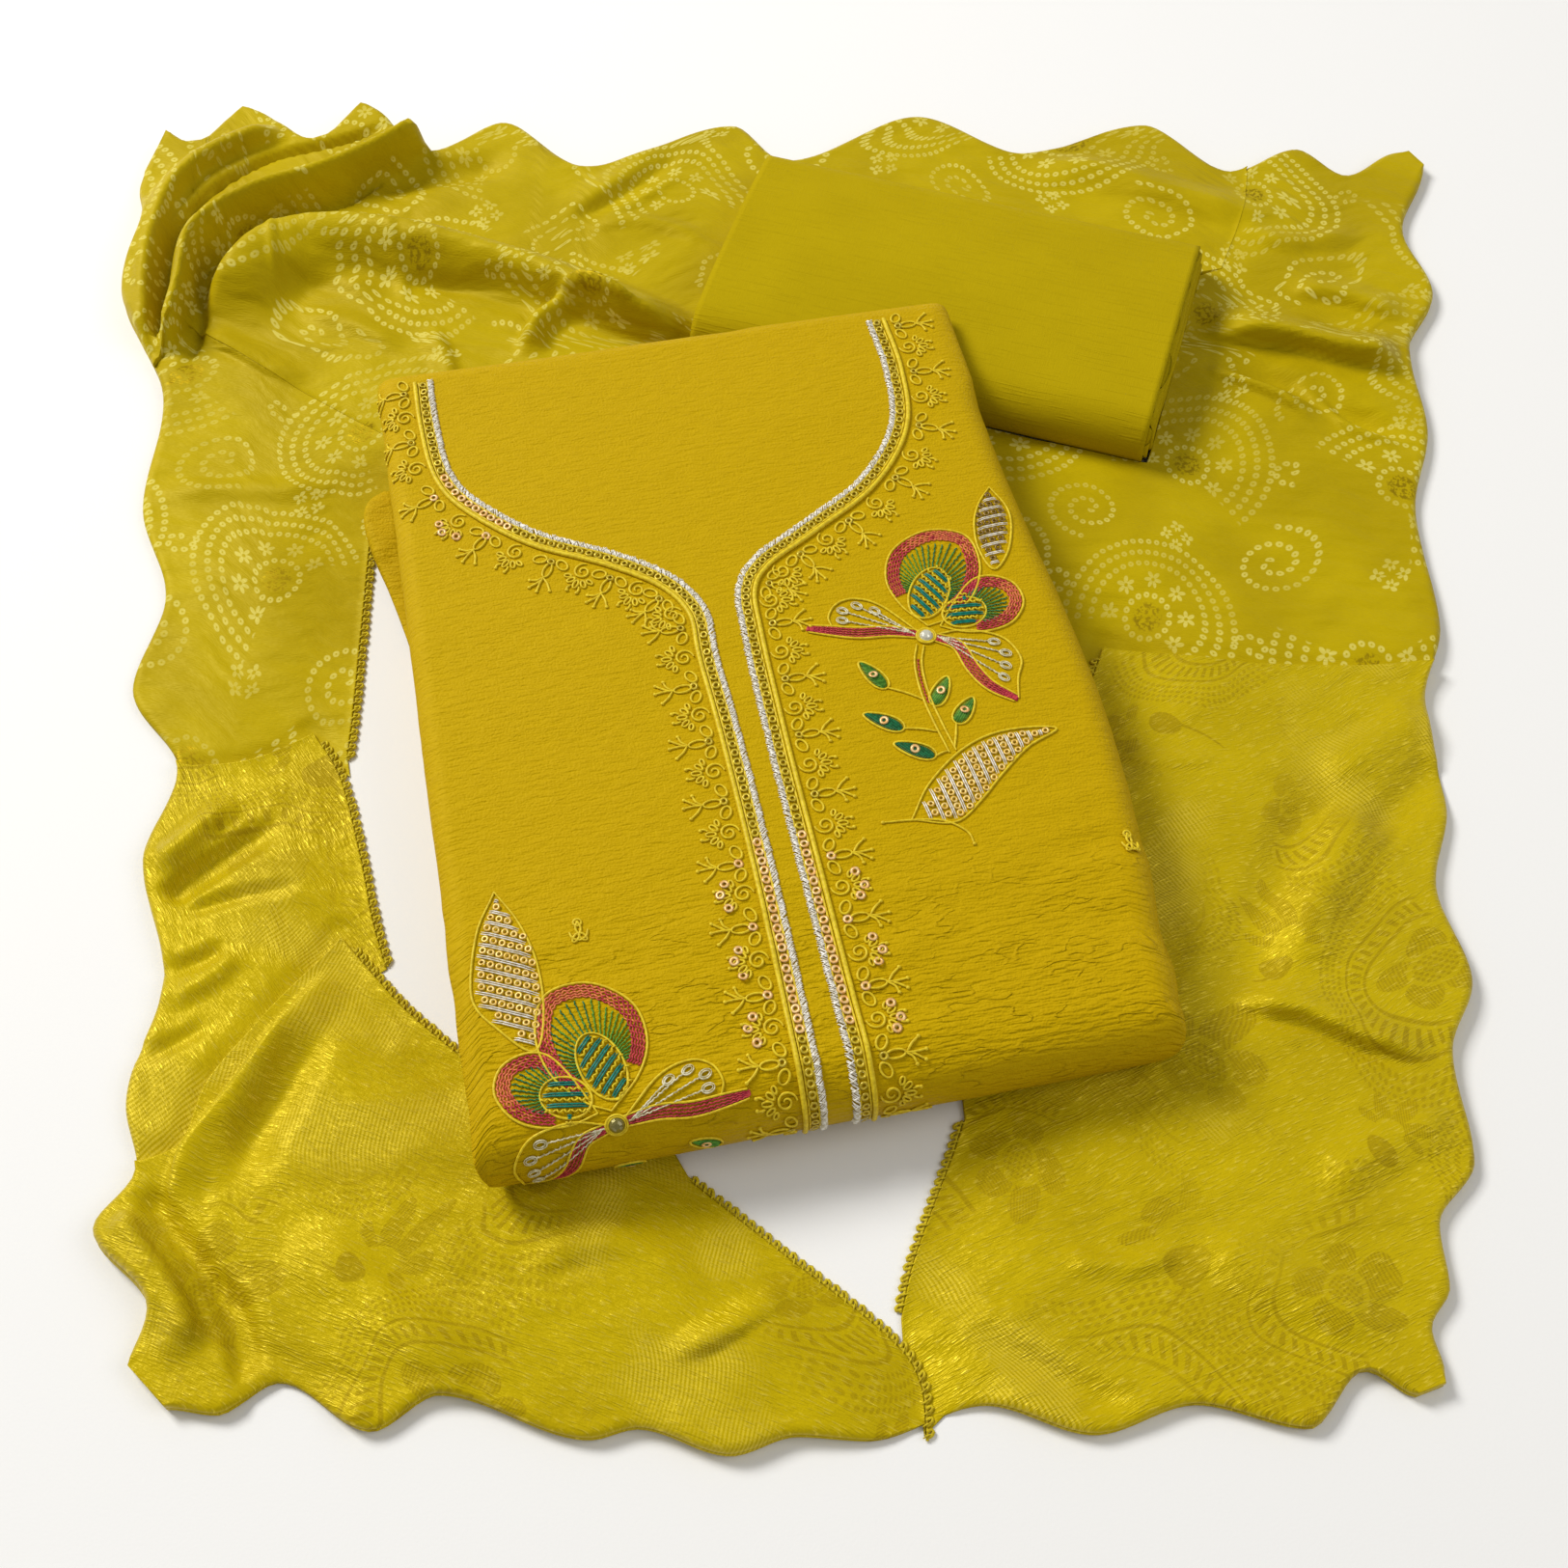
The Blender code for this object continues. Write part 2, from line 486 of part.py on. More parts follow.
def footprints():
    """The outline in plan of each stretch of the dupatta."""
    (far_0, far_1), (right_0, right_1), (near_0, near_1), (left_0, left_1) = (
        ends(side) for side in ("far", "right", "near", "left"))
    gathers, left_border, front_fold, right_border, behind_salwar, far_right = (
        seam(*row) for row in (SEAM_GATHERS, SEAM_LEFT_BORDER, SEAM_FRONT_FOLD, SEAM_RIGHT_BORDER,
                               SEAM_BEHIND_SALWAR, SEAM_FAR_RIGHT))
    return {
        "dupatta_far_gathers": joined(
            edge("far", SALWAR_FAR_AT, far_0), edge("left", left_1, GATHERS_LEFT_AT), gathers,
            beside_kameez("far_gathers"), salwar_side(MEETS_SALWAR["far_gathers"])[::-1],
            behind_salwar[::-1]),
        "dupatta_behind_salwar": joined(
            edge("far", SALWAR_FAR_AT, RIGHT_FAR_AT), far_right,
            salwar_side(MEETS_SALWAR["behind_salwar"]), behind_salwar[::-1]),
        "dupatta_right_print": joined(
            edge("far", RIGHT_FAR_AT, far_1), edge("right", right_0, BORDER_RIGHT_AT), right_border,
            cleared(TRIM_RIGHT_FAR, TRIM_CLEAR)[1:-2], path(TRIM_RIGHT_PRINT)[::-1],
            beside_kameez("right_print"), salwar_side(MEETS_SALWAR["right_print"]), far_right[::-1]),
        "dupatta_left_print": joined(
            edge("left", GATHERS_LEFT_AT, BORDER_LEFT_AT), left_border,
            cleared(TRIM_LEFT_PALLU[::-1], -TRIM_CLEAR)[1:2], path(TRIM_LEFT_PRINT),
            beside_kameez("left_print"), gathers[::-1]),
        "dupatta_left_pallu": joined(
            edge("left", BORDER_LEFT_AT, FOLD_LEFT_AT), front_fold,
            cleared(TRIM_FRONT_FAR[::-1], -TRIM_CLEAR)[1:3], path(TRIM_LEFT_PALLU),
            left_border[::-1]),
        "dupatta_front_pallu": joined(
            edge("left", FOLD_LEFT_AT, left_0), edge("near", near_1, TRIM_FOOT_AT),
            path(TRIM_FRONT_NEAR)[1:], beside_kameez("front_pallu"), path(TRIM_FRONT_FAR),
            front_fold[::-1]),
        "dupatta_right_pallu": joined(
            edge("near", TRIM_FOOT_AT - TRIM_CLEAR, near_0), edge("right", right_1, BORDER_RIGHT_AT),
            right_border, path(TRIM_RIGHT_FAR), beside_kameez("right_pallu"), path(TRIM_RIGHT_NEAR),
            cleared(TRIM_FRONT_NEAR, TRIM_CLEAR)[1:4][::-1]),
    }


def dupatta_top(name):
    """The height of one stretch: thin at its trimmed edges, then its own level and the folds."""
    trims = [smooth_path(trim, EDGE_STEP) for trim in NEAR_TRIM.get(name, [])]

    def height(points):
        grow = np.ones(len(points))
        for trim in trims:
            grow = np.minimum(grow, ease(np.abs(nearest(points, trim)[0]) / LIP_RISE))
        return np.maximum(LIP + (LEVELS[name] - LIP) * grow + fold_height(points) * grow, LIP)

    return height


def dupatta_stretch(name, loop, finish):
    loop = loop + left_normals(loop, closed=True) * GAP / 2
    inward = left_normals(loop, closed=True)
    outer = joined(*(edge(side, *ends(side)) for side in SIDES))
    from_edge = np.abs(nearest(loop, np.vstack([outer, outer[:1]]))[0])
    radius = np.where(from_edge < 0.002, EDGE_ROUND, SEAM_ROUND)
    radius = (radius + np.roll(radius, 1) + np.roll(radius, -1)) / 3
    height = dupatta_top(name)
    rim = height(loop + inward * radius[:, None])
    rows = [(loop + inward * (radius * share)[:, None], rim * rise) for share, rise in FREE_EDGE]
    return cushion(name, finish, rows, height, CLOTH_STEP)


def shortened(line, at_start, at_end, step):
    """A path with a length left off at each end."""
    along = np.concatenate([[0], np.cumsum(np.linalg.norm(np.diff(line, axis=0), axis=1))])
    length = along[-1] - at_start - at_end
    stations = at_start + np.linspace(0, length, max(2, ceil(length / step) + 1))
    return np.stack([np.interp(stations, along, line[:, k]) for k in (0, 1)], axis=1)


def trim_strip(name, points, at_start, at_end):
    """The crocheted edging: a narrow strip along the open side of a trimmed edge."""
    middle = shortened(smooth_path(points, 0.003), at_start, at_end, TRIM_STEP)
    side = -left_normals(middle)
    start, end = GAP * 1.5, GAP * 1.5 + TRIM_WIDTH
    section = [(start, 0.0005), (end, 0.0005), (end - 0.0006, TRIM_HEIGHT), (start + 0.0004, TRIM_HEIGHT)]
    verts = [(*(p + n * out), z) for p, n in zip(middle, side) for out, z in section]
    faces = [(0, 1, 2, 3)]
    for k in range(len(middle) - 1):
        for i in range(4):
            a, b = 4 * k + i, 4 * k + (i + 1) % 4
            faces.append((a, a + 4, b + 4, b))
    last = 4 * (len(middle) - 1)
    faces.append((last + 3, last + 2, last + 1, last))
    return add_object(name, verts, faces, "dupatta_trim")


# ---------------------------------------------------------------- kameez
# A side's profile from the flat top down: degrees round the edge, then shares of the drop to the lip.
ROUND_STEPS = [0, 30, 60, 90]
LIP_STEPS = [0.5, 1.0]
FOLD_STEPS = [116, 140]         # the same two rows where the panel goes on round the front fold
FOLD_CLEAR = 0.0015             # the front fold's underside above the floor
LIP_SHARE = 0.42                # of the side's height is left open below the panel's lip
LIP_TUCK = 0.0008
CORNER_CLEAR = 0.0027           # extra room inside the panel at the ends of its front fold
LAYERS_BACK = 0.0094            # the layers under the front fold stop this far behind its outermost line
SALWAR_MARGIN = 0.004
SALWAR_RAMP = 0.028


def under_kameez(points):
    """Height of what lies under the kameez: the floor, or the salwar cloth under its far right corner."""
    rel = np.array(points) - np.array(SALWAR_AT)
    c, s = cos(SALWAR_TURN), sin(SALWAR_TURN)
    beyond = np.abs(-s * rel[:, 0] + c * rel[:, 1]) - SALWAR_WIDTH / 2 - SALWAR_MARGIN
    top = SALWAR_HEIGHT + 2 * GAP
    return top * np.clip(1 - beyond / SALWAR_RAMP, 0, 1)


def kameez_rim():
    """The kameez at its widest: local points, outward normals, rounding radius and share of front fold."""
    w, t, cut = KAMEEZ_WIDTH / 2, KAMEEZ_LENGTH / 2, 0.003
    rows = []
    for s in np.linspace(-w + cut, w - cut, 13):
        rows.append((s, -t, NEAR_ROUND, 1.0))
    rows.append((w + bulge(-t) - 0.3 * cut, -t + 0.3 * cut, (NEAR_ROUND + RIGHT_ROUND) / 2, 0.5))
    for a in np.linspace(-t + cut, t - cut, 21):
        rows.append((w + bulge(a), a, RIGHT_ROUND, 0.0))
    rows.append((w + bulge(t) - 0.3 * cut, t - 0.3 * cut, FAR_ROUND, 0.0))
    for s in np.linspace(w - cut, -w + cut, 17):
        rows.append((s, t, FAR_ROUND, 0.0))
    rows.append((-w + 0.3 * cut, t - 0.3 * cut, LEFT_ROUND, 0.0))
    for a in np.linspace(t - cut, -t + cut, 13):
        rows.append((-w, a, LEFT_ROUND, 0.0))
    rows.append((-w + 0.3 * cut, -t + 0.3 * cut, (NEAR_ROUND + LEFT_ROUND) / 2, 0.5))
    rim = np.array(rows)
    for _ in range(2):
        rim[:, 2:] = (np.roll(rim[:, 2:], 1, axis=0) + 2 * rim[:, 2:] + np.roll(rim[:, 2:], -1, axis=0)) / 4
    return rim[:, :2], -left_normals(rim[:, :2], closed=True), rim[:, 2], rim[:, 3]


def flat_part(rim):
    """Where the sides begin to round over, for points on the kameez's widest outline."""
    s, t = rim[:, 0], rim[:, 1]
    half_l = KAMEEZ_LENGTH / 2
    half_w = KAMEEZ_WIDTH / 2 + np.where(s > 0, bulge(t), 0)
    across = s * (1 - np.where(s > 0, RIGHT_ROUND, LEFT_ROUND) / half_w)
    along = t * (1 - np.where(t > 0, FAR_ROUND, NEAR_ROUND) / half_l)
    return np.stack([across, along], axis=1)


def kameez_rows(inset, at_corners=0.0):
    """Rings down the side of the kameez, inset from its outer face: (plan points, heights) from the top."""
    rim, out, radius, fold = kameez_rim()
    inset = inset + at_corners * 2 * np.sqrt(fold * (1 - fold))
    start = flat_part(rim)
    top = kameez_height(start)
    below = np.maximum(under_kameez(kameez_plan(rim)), under_kameez(kameez_plan(start)))
    drop = np.minimum(radius, (1 - LIP_SHARE) * (top - below) * 0.8)
    drop = drop * (1 - fold) + (top - FOLD_CLEAR) / 2 * fold
    lip = below + LIP_SHARE * (top - below)
    rows = []
    for turn in ROUND_STEPS + FOLD_STEPS:
        turn = radians(turn)
        plan = start + (rim - start - out * inset[:, None]) * sin(turn)
        rows.append([plan, top - drop + (drop - inset * drop / radius) * cos(turn)])
    widest = rows[len(ROUND_STEPS) - 1]
    for k, share in enumerate(LIP_STEPS):
        row = rows[len(ROUND_STEPS) + k]
        straight = widest[0] - out * LIP_TUCK * share
        row[0] = straight * (1 - fold)[:, None] + row[0] * fold[:, None]
        row[1] = (widest[1] * (1 - share) + lip * share) * (1 - fold) + row[1] * fold
    return rows, below, fold


def kameez_shell(name, finish):
    """The front panel: one wall over the top, down the sides to its lip and right round the front fold."""
    outer, _, _ = kameez_rows(0.0)
    inner, _, _ = kameez_rows(WALL)
    count = len(outer[0][0])
    local, faces = fill(outer[0][0], PANEL_STEP)
    verts, starts = [], []
    for rows, depth in ((outer, 0.0), (inner, WALL)):
        base = sum(len(v) for v in verts)
        flat = local.copy()
        height = kameez_height(flat) - depth
        height[:count] = rows[0][1]
        verts.append(np.column_stack([kameez_plan(flat), height]))
        for plan, z in rows[1:]:
            verts.append(np.column_stack([kameez_plan(plan), z]))
        starts.append(base)
    shell = []
    for which, base in enumerate(starts):
        rings = [base] + [base + len(local) + k * count for k in range(len(outer) - 1)]
        part = [tuple(base + i for i in face) for face in faces]
        for above, under in zip(rings, rings[1:]):
            part += ring_faces(above, under, count)
        shell += part if which == 0 else [tuple(reversed(face)) for face in part]
    last = len(local) + (len(outer) - 2) * count
    shell += ring_faces(starts[0] + last, starts[1] + last, count)
    return add_object(name, np.vstack(verts), shell, finish)


def kameez_core(name, finish):
    """Everything folded inside the front panel, its layered edges showing below the panel's lip."""
    depth = WALL + GAP
    rows, below, fold = kameez_rows(depth, CORNER_CLEAR)
    outer, _, _ = kameez_rows(0.0)
    rim, out, _, _ = kameez_rim()
    lip_plan = rows[-1][0]
    ledge = outer[-1][1] - 2 * GAP
    tucked = np.clip(fold * 6, 0, 1)[:, None]
    # below the lip: (share of the drop, inset on the open sides, extra inset under the front fold)
    layers = [(0.0, 0.0004, 0.0010), (0.26, 0.0030, 0.0018), (0.36, 0.0004, 0.0022),
              (0.62, 0.0032, 0.0030), (0.72, 0.0006, 0.0034), (1.0, 0.0012, 0.0040)]
    for share, open_inset, fold_inset in layers:
        open_plan = outer[-1][0] - out * open_inset
        fold_plan = lip_plan - out * (fold_inset * fold ** 2)[:, None]
        plan = open_plan * (1 - tucked) + fold_plan * tucked
        plan[:, 1] = np.maximum(plan[:, 1], LAYERS_BACK - KAMEEZ_LENGTH / 2)
        rows.append((plan, ledge * (1 - share) + below * share))
    local, faces = fill(rows[0][0], PANEL_STEP)
    count = len(rim)
    height = kameez_height(local) - depth
    height[:count] = rows[0][1]
    verts = [np.column_stack([kameez_plan(local), height])]
    above, start = 0, len(local)
    for plan, z in rows[1:]:
        verts.append(np.column_stack([kameez_plan(plan), z]))
        faces += ring_faces(above, start, count)
        above, start = start, start + count
    base_plan, base_faces = fill(rows[-1][0], PANEL_STEP)
    extra = kameez_plan(base_plan[count:])
    verts.append(np.column_stack([extra, under_kameez(extra)]))
    index = [above + i if i < count else start + i - count for i in range(len(base_plan))]
    faces += [tuple(index[i] for i in reversed(face)) for face in base_faces]
    return add_object(name, np.vstack(verts), faces, finish)


# The lower layer that comes out at the far left: (along the kameez, how far it stands out).
LOWER_LAYER = [(0.1520, 0.0055), (0.1485, 0.0120), (0.142, 0.0160), (0.132, 0.0165), (0.118, 0.0140),
               (0.104, 0.0105), (0.090, 0.0075), (0.076, 0.0048), (0.070, 0.0038)]
LOWER_LAYER_BASE = 0.0046
LOWER_LAYER_TOP = (0.0080, 0.0190)      # at its near and far ends
LOWER_LAYER_STEP = 0.007
LOWER_LAYER_END = 0.001
LOWER_LAYER_ROUND = 0.0012


def kameez_lower_layer(name, finish):
    half = KAMEEZ_WIDTH / 2 - LIP_TUCK
    outer = smooth_path(LOWER_LAYER, LOWER_LAYER_STEP)
    near, far = LOWER_LAYER[-1][0], LOWER_LAYER[0][0]
    inner = np.linspace(near + LOWER_LAYER_END, far - LOWER_LAYER_END, len(outer) - 3)
    loop = joined(kameez_plan([(-half - out, along) for along, out in outer]),
                  kameez_plan([(-half, along) for along in inner]))
    inward = left_normals(loop, closed=True)

    def height(points):
        rel = np.array(points) - np.array(KAMEEZ_AT)
        along = -sin(KAMEEZ_TURN) * rel[:, 0] + cos(KAMEEZ_TURN) * rel[:, 1]
        low, high = LOWER_LAYER_TOP
        return low + (high - low) * ease((along - near) / (far - near))

    rim = height(loop)
    rows = []
    for share, rise in [(1.0, 1.0), (0.3, 0.8), (0.0, 0.5), (0.3, 0.15), (0.7, 0.0)]:
        rows.append((loop + inward * LOWER_LAYER_ROUND * share, LOWER_LAYER_BASE + (rim - LOWER_LAYER_BASE) * rise))
    return cushion(name, finish, rows, height, 2 * LOWER_LAYER_STEP)


def panel_point(across, along, lift):
    """A point on the kameez panel, lift above it, where along follows the cloth round its two ends."""
    half = KAMEEZ_LENGTH / 2
    near_flat, far_flat = -(half - NEAR_ROUND), half - FAR_ROUND
    flat = min(max(along, near_flat), far_flat)
    top = float(kameez_height(np.array([[across, flat]]))[0])
    if along < near_flat:
        drop = (top - FOLD_CLEAR) / 2
        turn = (near_flat - along) / NEAR_ROUND
        t = flat - (NEAR_ROUND + lift) * sin(turn)
        z = top - drop + (drop + lift) * cos(turn)
    elif along > far_flat:
        turn = (along - far_flat) / FAR_ROUND
        t = flat + (FAR_ROUND + lift) * sin(turn)
        z = top - FAR_ROUND + (FAR_ROUND + lift) * cos(turn)
    else:
        t, z = flat, top + lift
    x, y = kameez_plan([(across, t)])[0]
    return x, y, z


def neck_braid(name, inner_edge, outward):
    """A band on the panel along its neckline, BRAID_WIDTH wide to the outer side."""
    line = smooth_path(inner_edge, BRAID_STEP)
    normal = left_normals(line) * outward
    sections = []
    for p, n in zip(line, normal):
        section = []
        for share, lift in [(0.0, BRAID_LIFT), (0.0, BRAID_LIFT + BRAID_THICK),
                            (0.5, BRAID_LIFT + BRAID_THICK * 1.25), (1.0, BRAID_LIFT + BRAID_THICK),
                            (1.0, BRAID_LIFT)]:
            q = p + n * BRAID_WIDTH * share
            section.append(panel_point(q[0], q[1], lift))
        sections.append(section)
    return band(name, sections, "neck_braid", outward > 0)


def band(name, sections, finish, flip):
    """A closed strip through sections of the same number of points."""
    size = len(sections[0])
    faces = [tuple(range(size)), tuple(reversed(range(size * (len(sections) - 1), size * len(sections))))]
    for k in range(len(sections) - 1):
        for i in range(size):
            a, b = k * size + i, k * size + (i + 1) % size
            faces.append((a, a + size, b + size, b))
    if not flip:
        faces = [tuple(reversed(face)) for face in faces]
    return add_object(name, [p for section in sections for p in section], faces, finish)


# ---------------------------------------------------------------- salwar cloth
# The folded layers at the roll's right end: how far each stands out past the wrap, from the bottom up.
LAYER_REACH = [0.0052, 0.0014, 0.0046, 0.0008, 0.0034, 0.0002]
LAYER_STATIONS = 6
LAYERS_SHOW = 0.0055            # length of the roll's right end that the wrap leaves open


def salwar_section(inset):
    """One closed section across the rolled cloth: (across, height), flat below, counter-clockwise."""
    half = SALWAR_WIDTH / 2
    radius = (SALWAR_HEIGHT - SALWAR_CROWN) / 2
    points = [(v, inset) for v in np.linspace(-half + radius, half - radius, 7)]
    for turn in np.linspace(-60, 60, 5):
        turn = radians(turn)
        points.append((half - radius + (radius - inset) * cos(turn), radius + (radius - inset) * sin(turn)))
    for v in np.linspace(half - radius, -half + radius, 9):
        crown = SALWAR_CROWN * (1 - (v / (half - radius)) ** 2)
        points.append((v, 2 * radius - inset + crown))
    for turn in np.linspace(120, 240, 5):
        turn = radians(turn)
        points.append((-half + radius + (radius - inset) * cos(turn), radius + (radius - inset) * sin(turn)))
    return np.array(points)


def salwar_loft(stations, inset):
    """Sections along the roll: rows of (along, share of the full size)."""
    section = salwar_section(inset)
    verts = []
    for along, share in stations:
        plan = salwar_plan([(along, v * share) for v, _ in section])
        verts += [(x, y, inset + (z - inset) * share) for (x, y), z in zip(plan, section[:, 1])]
    return verts, len(section)


def salwar_wrap(name, finish):
    """The outer turn of the roll: a tube, open at both ends."""
    half = SALWAR_LENGTH / 2
    stations = [(u, 1.0) for u in np.linspace(-half, half - LAYERS_SHOW, 6)]
    outer, count = salwar_loft(stations, 0.0)
    inner, _ = salwar_loft(stations, SALWAR_WALL)
    shift = len(outer)
    faces = []
    for k in range(len(stations) - 1):
        for i in range(count):
            a, b = k * count + i, k * count + (i + 1) % count
            faces.append((a, b, b + count, a + count))
            faces.append((shift + a + count, shift + b + count, shift + b, shift + a))
    last = count * (len(stations) - 1)
    for i in range(count):
        j = (i + 1) % count
        faces.append((i, shift + i, shift + j, j))
        faces.append((last + j, shift + last + j, shift + last + i, last + i))
    return add_object(name, outer + inner, faces, finish)


def salwar_layers(name, finish):
    """The layers folded inside the wrap, their edges standing out unevenly at each end."""
    inset = SALWAR_WALL + GAP
    half = SALWAR_LENGTH / 2
    section = salwar_section(inset)
    low, high = section[:, 1].min(), section[:, 1].max()
    level = (section[:, 1] - low) / (high - low)
    reach = np.interp(level, np.linspace(0, 1, len(LAYER_REACH)), LAYER_REACH)
    verts = []
    count = len(section)
    for u in np.linspace(-half, half - LAYERS_SHOW, LAYER_STATIONS + 1):
        for (v, z), out in zip(section, reach):
            along = u + (out if u > half - 2 * LAYERS_SHOW else 0.0)
            (x, y), = salwar_plan([(along, v)])
            verts.append((x, y, z))
    faces = []
    for k in range(LAYER_STATIONS):
        for i in range(count):
            a, b = k * count + i, k * count + (i + 1) % count
            faces.append((a, b, b + count, a + count))
    _, end = fill(section, 0)
    faces += [tuple(reversed(face)) for face in end]
    faces += [tuple(LAYER_STATIONS * count + i for i in face) for face in end]
    return add_object(name, verts, faces, finish)


# ---------------------------------------------------------------- the whole suit
def centre_on_origin(objects):
    """Move every mesh so that the footprint's bounding box is centred on the origin."""
    points = np.array([v.co for obj in objects for v in obj.data.vertices])
    middle = (points.min(axis=0) + points.max(axis=0)) / 2
    for obj in objects:
        for v in obj.data.vertices:
            v.co.x -= middle[0]
            v.co.y -= middle[1]
    print("footprint centre was at", round(middle[0], 5), round(middle[1], 5))


def build():
    for obj in list(bpy.data.objects):
        bpy.data.objects.remove(obj)
    made = []
    for name, loop in footprints().items():
        finish = "dupatta_jacquard" if "pallu" in name else "dupatta_print"
        made.append(dupatta_stretch(name, loop, finish))
    for name, row in TRIMS.items():
        made.append(trim_strip(name, *row))
    made.append(kameez_shell("kameez_front", "kameez_silk"))
    made.append(kameez_core("kameez_folded_layers", "kameez_silk"))
    made.append(kameez_lower_layer("kameez_lower_layer", "kameez_silk"))
    made.append(neck_braid("neck_braid_left", BRAID_LEFT, -1))
    made.append(neck_braid("neck_braid_right", BRAID_RIGHT, 1))
    made.append(salwar_wrap("salwar_wrap", "salwar_cotton"))
    made.append(salwar_layers("salwar_folded_layers", "salwar_cotton"))
    centre_on_origin(made)
    print("triangles", sum(len(p.vertices) - 2 for obj in made for p in obj.data.polygons))


build()
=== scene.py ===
# %% [markdown]
# # Salwar kameez suit, laid out flat
# The suit is three lengths of cloth: a folded silk kameez with an embroidered neckline, a rolled length of
# plain salwar cotton, and a dupatta spread round them. The solids hold their places and sizes. Here every
# visible surface gets its cloth, folds, stitching and sequins. First the solids are loaded.

# %% Load the frame
import math

import bpy
import numpy as np
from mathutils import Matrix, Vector
from mathutils.geometry import delaunay_2d_cdt
from mathutils.kdtree import KDTree


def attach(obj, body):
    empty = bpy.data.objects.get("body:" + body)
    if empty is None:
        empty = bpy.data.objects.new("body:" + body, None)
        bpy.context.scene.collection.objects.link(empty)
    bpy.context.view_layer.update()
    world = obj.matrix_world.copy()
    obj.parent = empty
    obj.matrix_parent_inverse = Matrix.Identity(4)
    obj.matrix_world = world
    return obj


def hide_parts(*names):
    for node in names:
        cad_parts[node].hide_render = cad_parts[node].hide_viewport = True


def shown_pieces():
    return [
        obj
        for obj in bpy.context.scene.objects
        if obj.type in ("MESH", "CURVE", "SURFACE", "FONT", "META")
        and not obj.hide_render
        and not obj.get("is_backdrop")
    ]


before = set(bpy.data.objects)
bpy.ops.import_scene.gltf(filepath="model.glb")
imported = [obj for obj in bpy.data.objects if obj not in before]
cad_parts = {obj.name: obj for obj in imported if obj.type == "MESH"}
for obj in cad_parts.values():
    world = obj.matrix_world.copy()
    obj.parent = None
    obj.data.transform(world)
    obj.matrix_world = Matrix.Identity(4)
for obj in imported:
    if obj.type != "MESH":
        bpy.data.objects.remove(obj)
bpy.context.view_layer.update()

print("solids", len(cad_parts))

# %% [markdown]
# ## Camera, floor and light
# The suit is looked at from the near side, about 58 degrees above the surface. A pale floor, a large
# soft area light at the far left and a weaker one at the right give the even light of a light tent, and folds
# throw short soft shadows towards the near right.

# %% Camera
CAMERA_AT = (-0.0008, -0.5229, 0.7208)
CAMERA_TILT = math.radians(32)          # away from looking straight down
CAMERA_LENS = 45.4                      # mm, on a 36 mm sensor


def put(name, data):
    """A new object with this data, in the scene."""
    made = bpy.data.objects.new(name, data)
    bpy.context.scene.collection.objects.link(made)
    return made


camera_data = bpy.data.cameras.new("camera")
camera_data.lens = CAMERA_LENS
camera_data.sensor_width = 36
camera = put("camera", camera_data)
camera.location = CAMERA_AT
camera.rotation_euler = (CAMERA_TILT, 0, 0)
bpy.context.scene.camera = camera
bpy.context.scene.view_settings.view_transform = "Standard"     # keeps the strong yellows of the dyes
print("camera at", CAMERA_AT)

# %% Socket arithmetic
class Socket:
    """A node's output that can be used in Python expressions: each operator adds a Math node."""

    def __init__(self, output):
        self.output = output
        self.tree = output.id_data

    def math(self, operation, *others):
        return math_node(self.tree, operation, self, *others)

    def __add__(self, other):
        return self.math("ADD", other)

    def __sub__(self, other):
        return self.math("SUBTRACT", other)

    def __rsub__(self, other):
        return math_node(self.tree, "SUBTRACT", other, self)

    def __mul__(self, other):
        return self.math("MULTIPLY", other)

    def __truediv__(self, other):
        return self.math("DIVIDE", other)

    __radd__ = __add__
    __rmul__ = __mul__

    def ramp(self, low, high):
        """0 below low and 1 above high, with a smooth rise between them; low may be above high."""
        return add_node(self.tree, "ShaderNodeMapRange", {"interpolation_type": "SMOOTHSTEP"},
                        {"Value": self, "From Min": low, "From Max": high})


def add_node(tree, kind, settings=None, values=(), out=0):
    """Add a node: its settings first, then the values or links of its sockets; returns one output."""
    made = tree.nodes.new(kind)
    for key, value in (settings or {}).items():
        setattr(made, key, value)
    for place, value in (values.items() if isinstance(values, dict) else enumerate(values)):
        socket = made.inputs[place]
        if isinstance(value, Socket):
            tree.links.new(value.output, socket)
        else:
            socket.default_value = value
    return Socket(made.outputs[out])


def math_node(tree, operation, *values):
    return add_node(tree, "ShaderNodeMath", {"operation": operation}, values)


def mix_colours(share, *colours):
    first, second = (c if isinstance(c, Socket) else (*c, 1) for c in colours)
    sockets = {0: share, 6: first, 7: second}
    return add_node(share.tree, "ShaderNodeMix", {"data_type": "RGBA"}, sockets, out=2)


print("socket arithmetic ready")

# %% A plain material and a helper that links what varies
def new_material(name, colour, roughness, **constants):
    """A Principled material; constants are the sockets that stay the same all over."""
    made = bpy.data.materials.new(name)
    made.use_nodes = True
    shader = made.node_tree.nodes["Principled BSDF"]
    shader.inputs["Base Color"].default_value = (*colour, 1)
    shader.inputs["Roughness"].default_value = roughness
    for key, value in constants.items():
        shader.inputs[key.replace("_", " ")].default_value = value
    return made


def drive(material, **links):
    """Link sockets of the Principled shader to what varies over the surface."""
    shader = material.node_tree.nodes["Principled BSDF"]
    for key, value in links.items():
        material.node_tree.links.new(value.output, shader.inputs[key.replace("_", " ")])


def bump(height, distance, strength=1.0):
    return add_node(height.tree, "ShaderNodeBump", {},
                    {"Height": height, "Distance": distance, "Strength": strength})


print("plain materials ready")

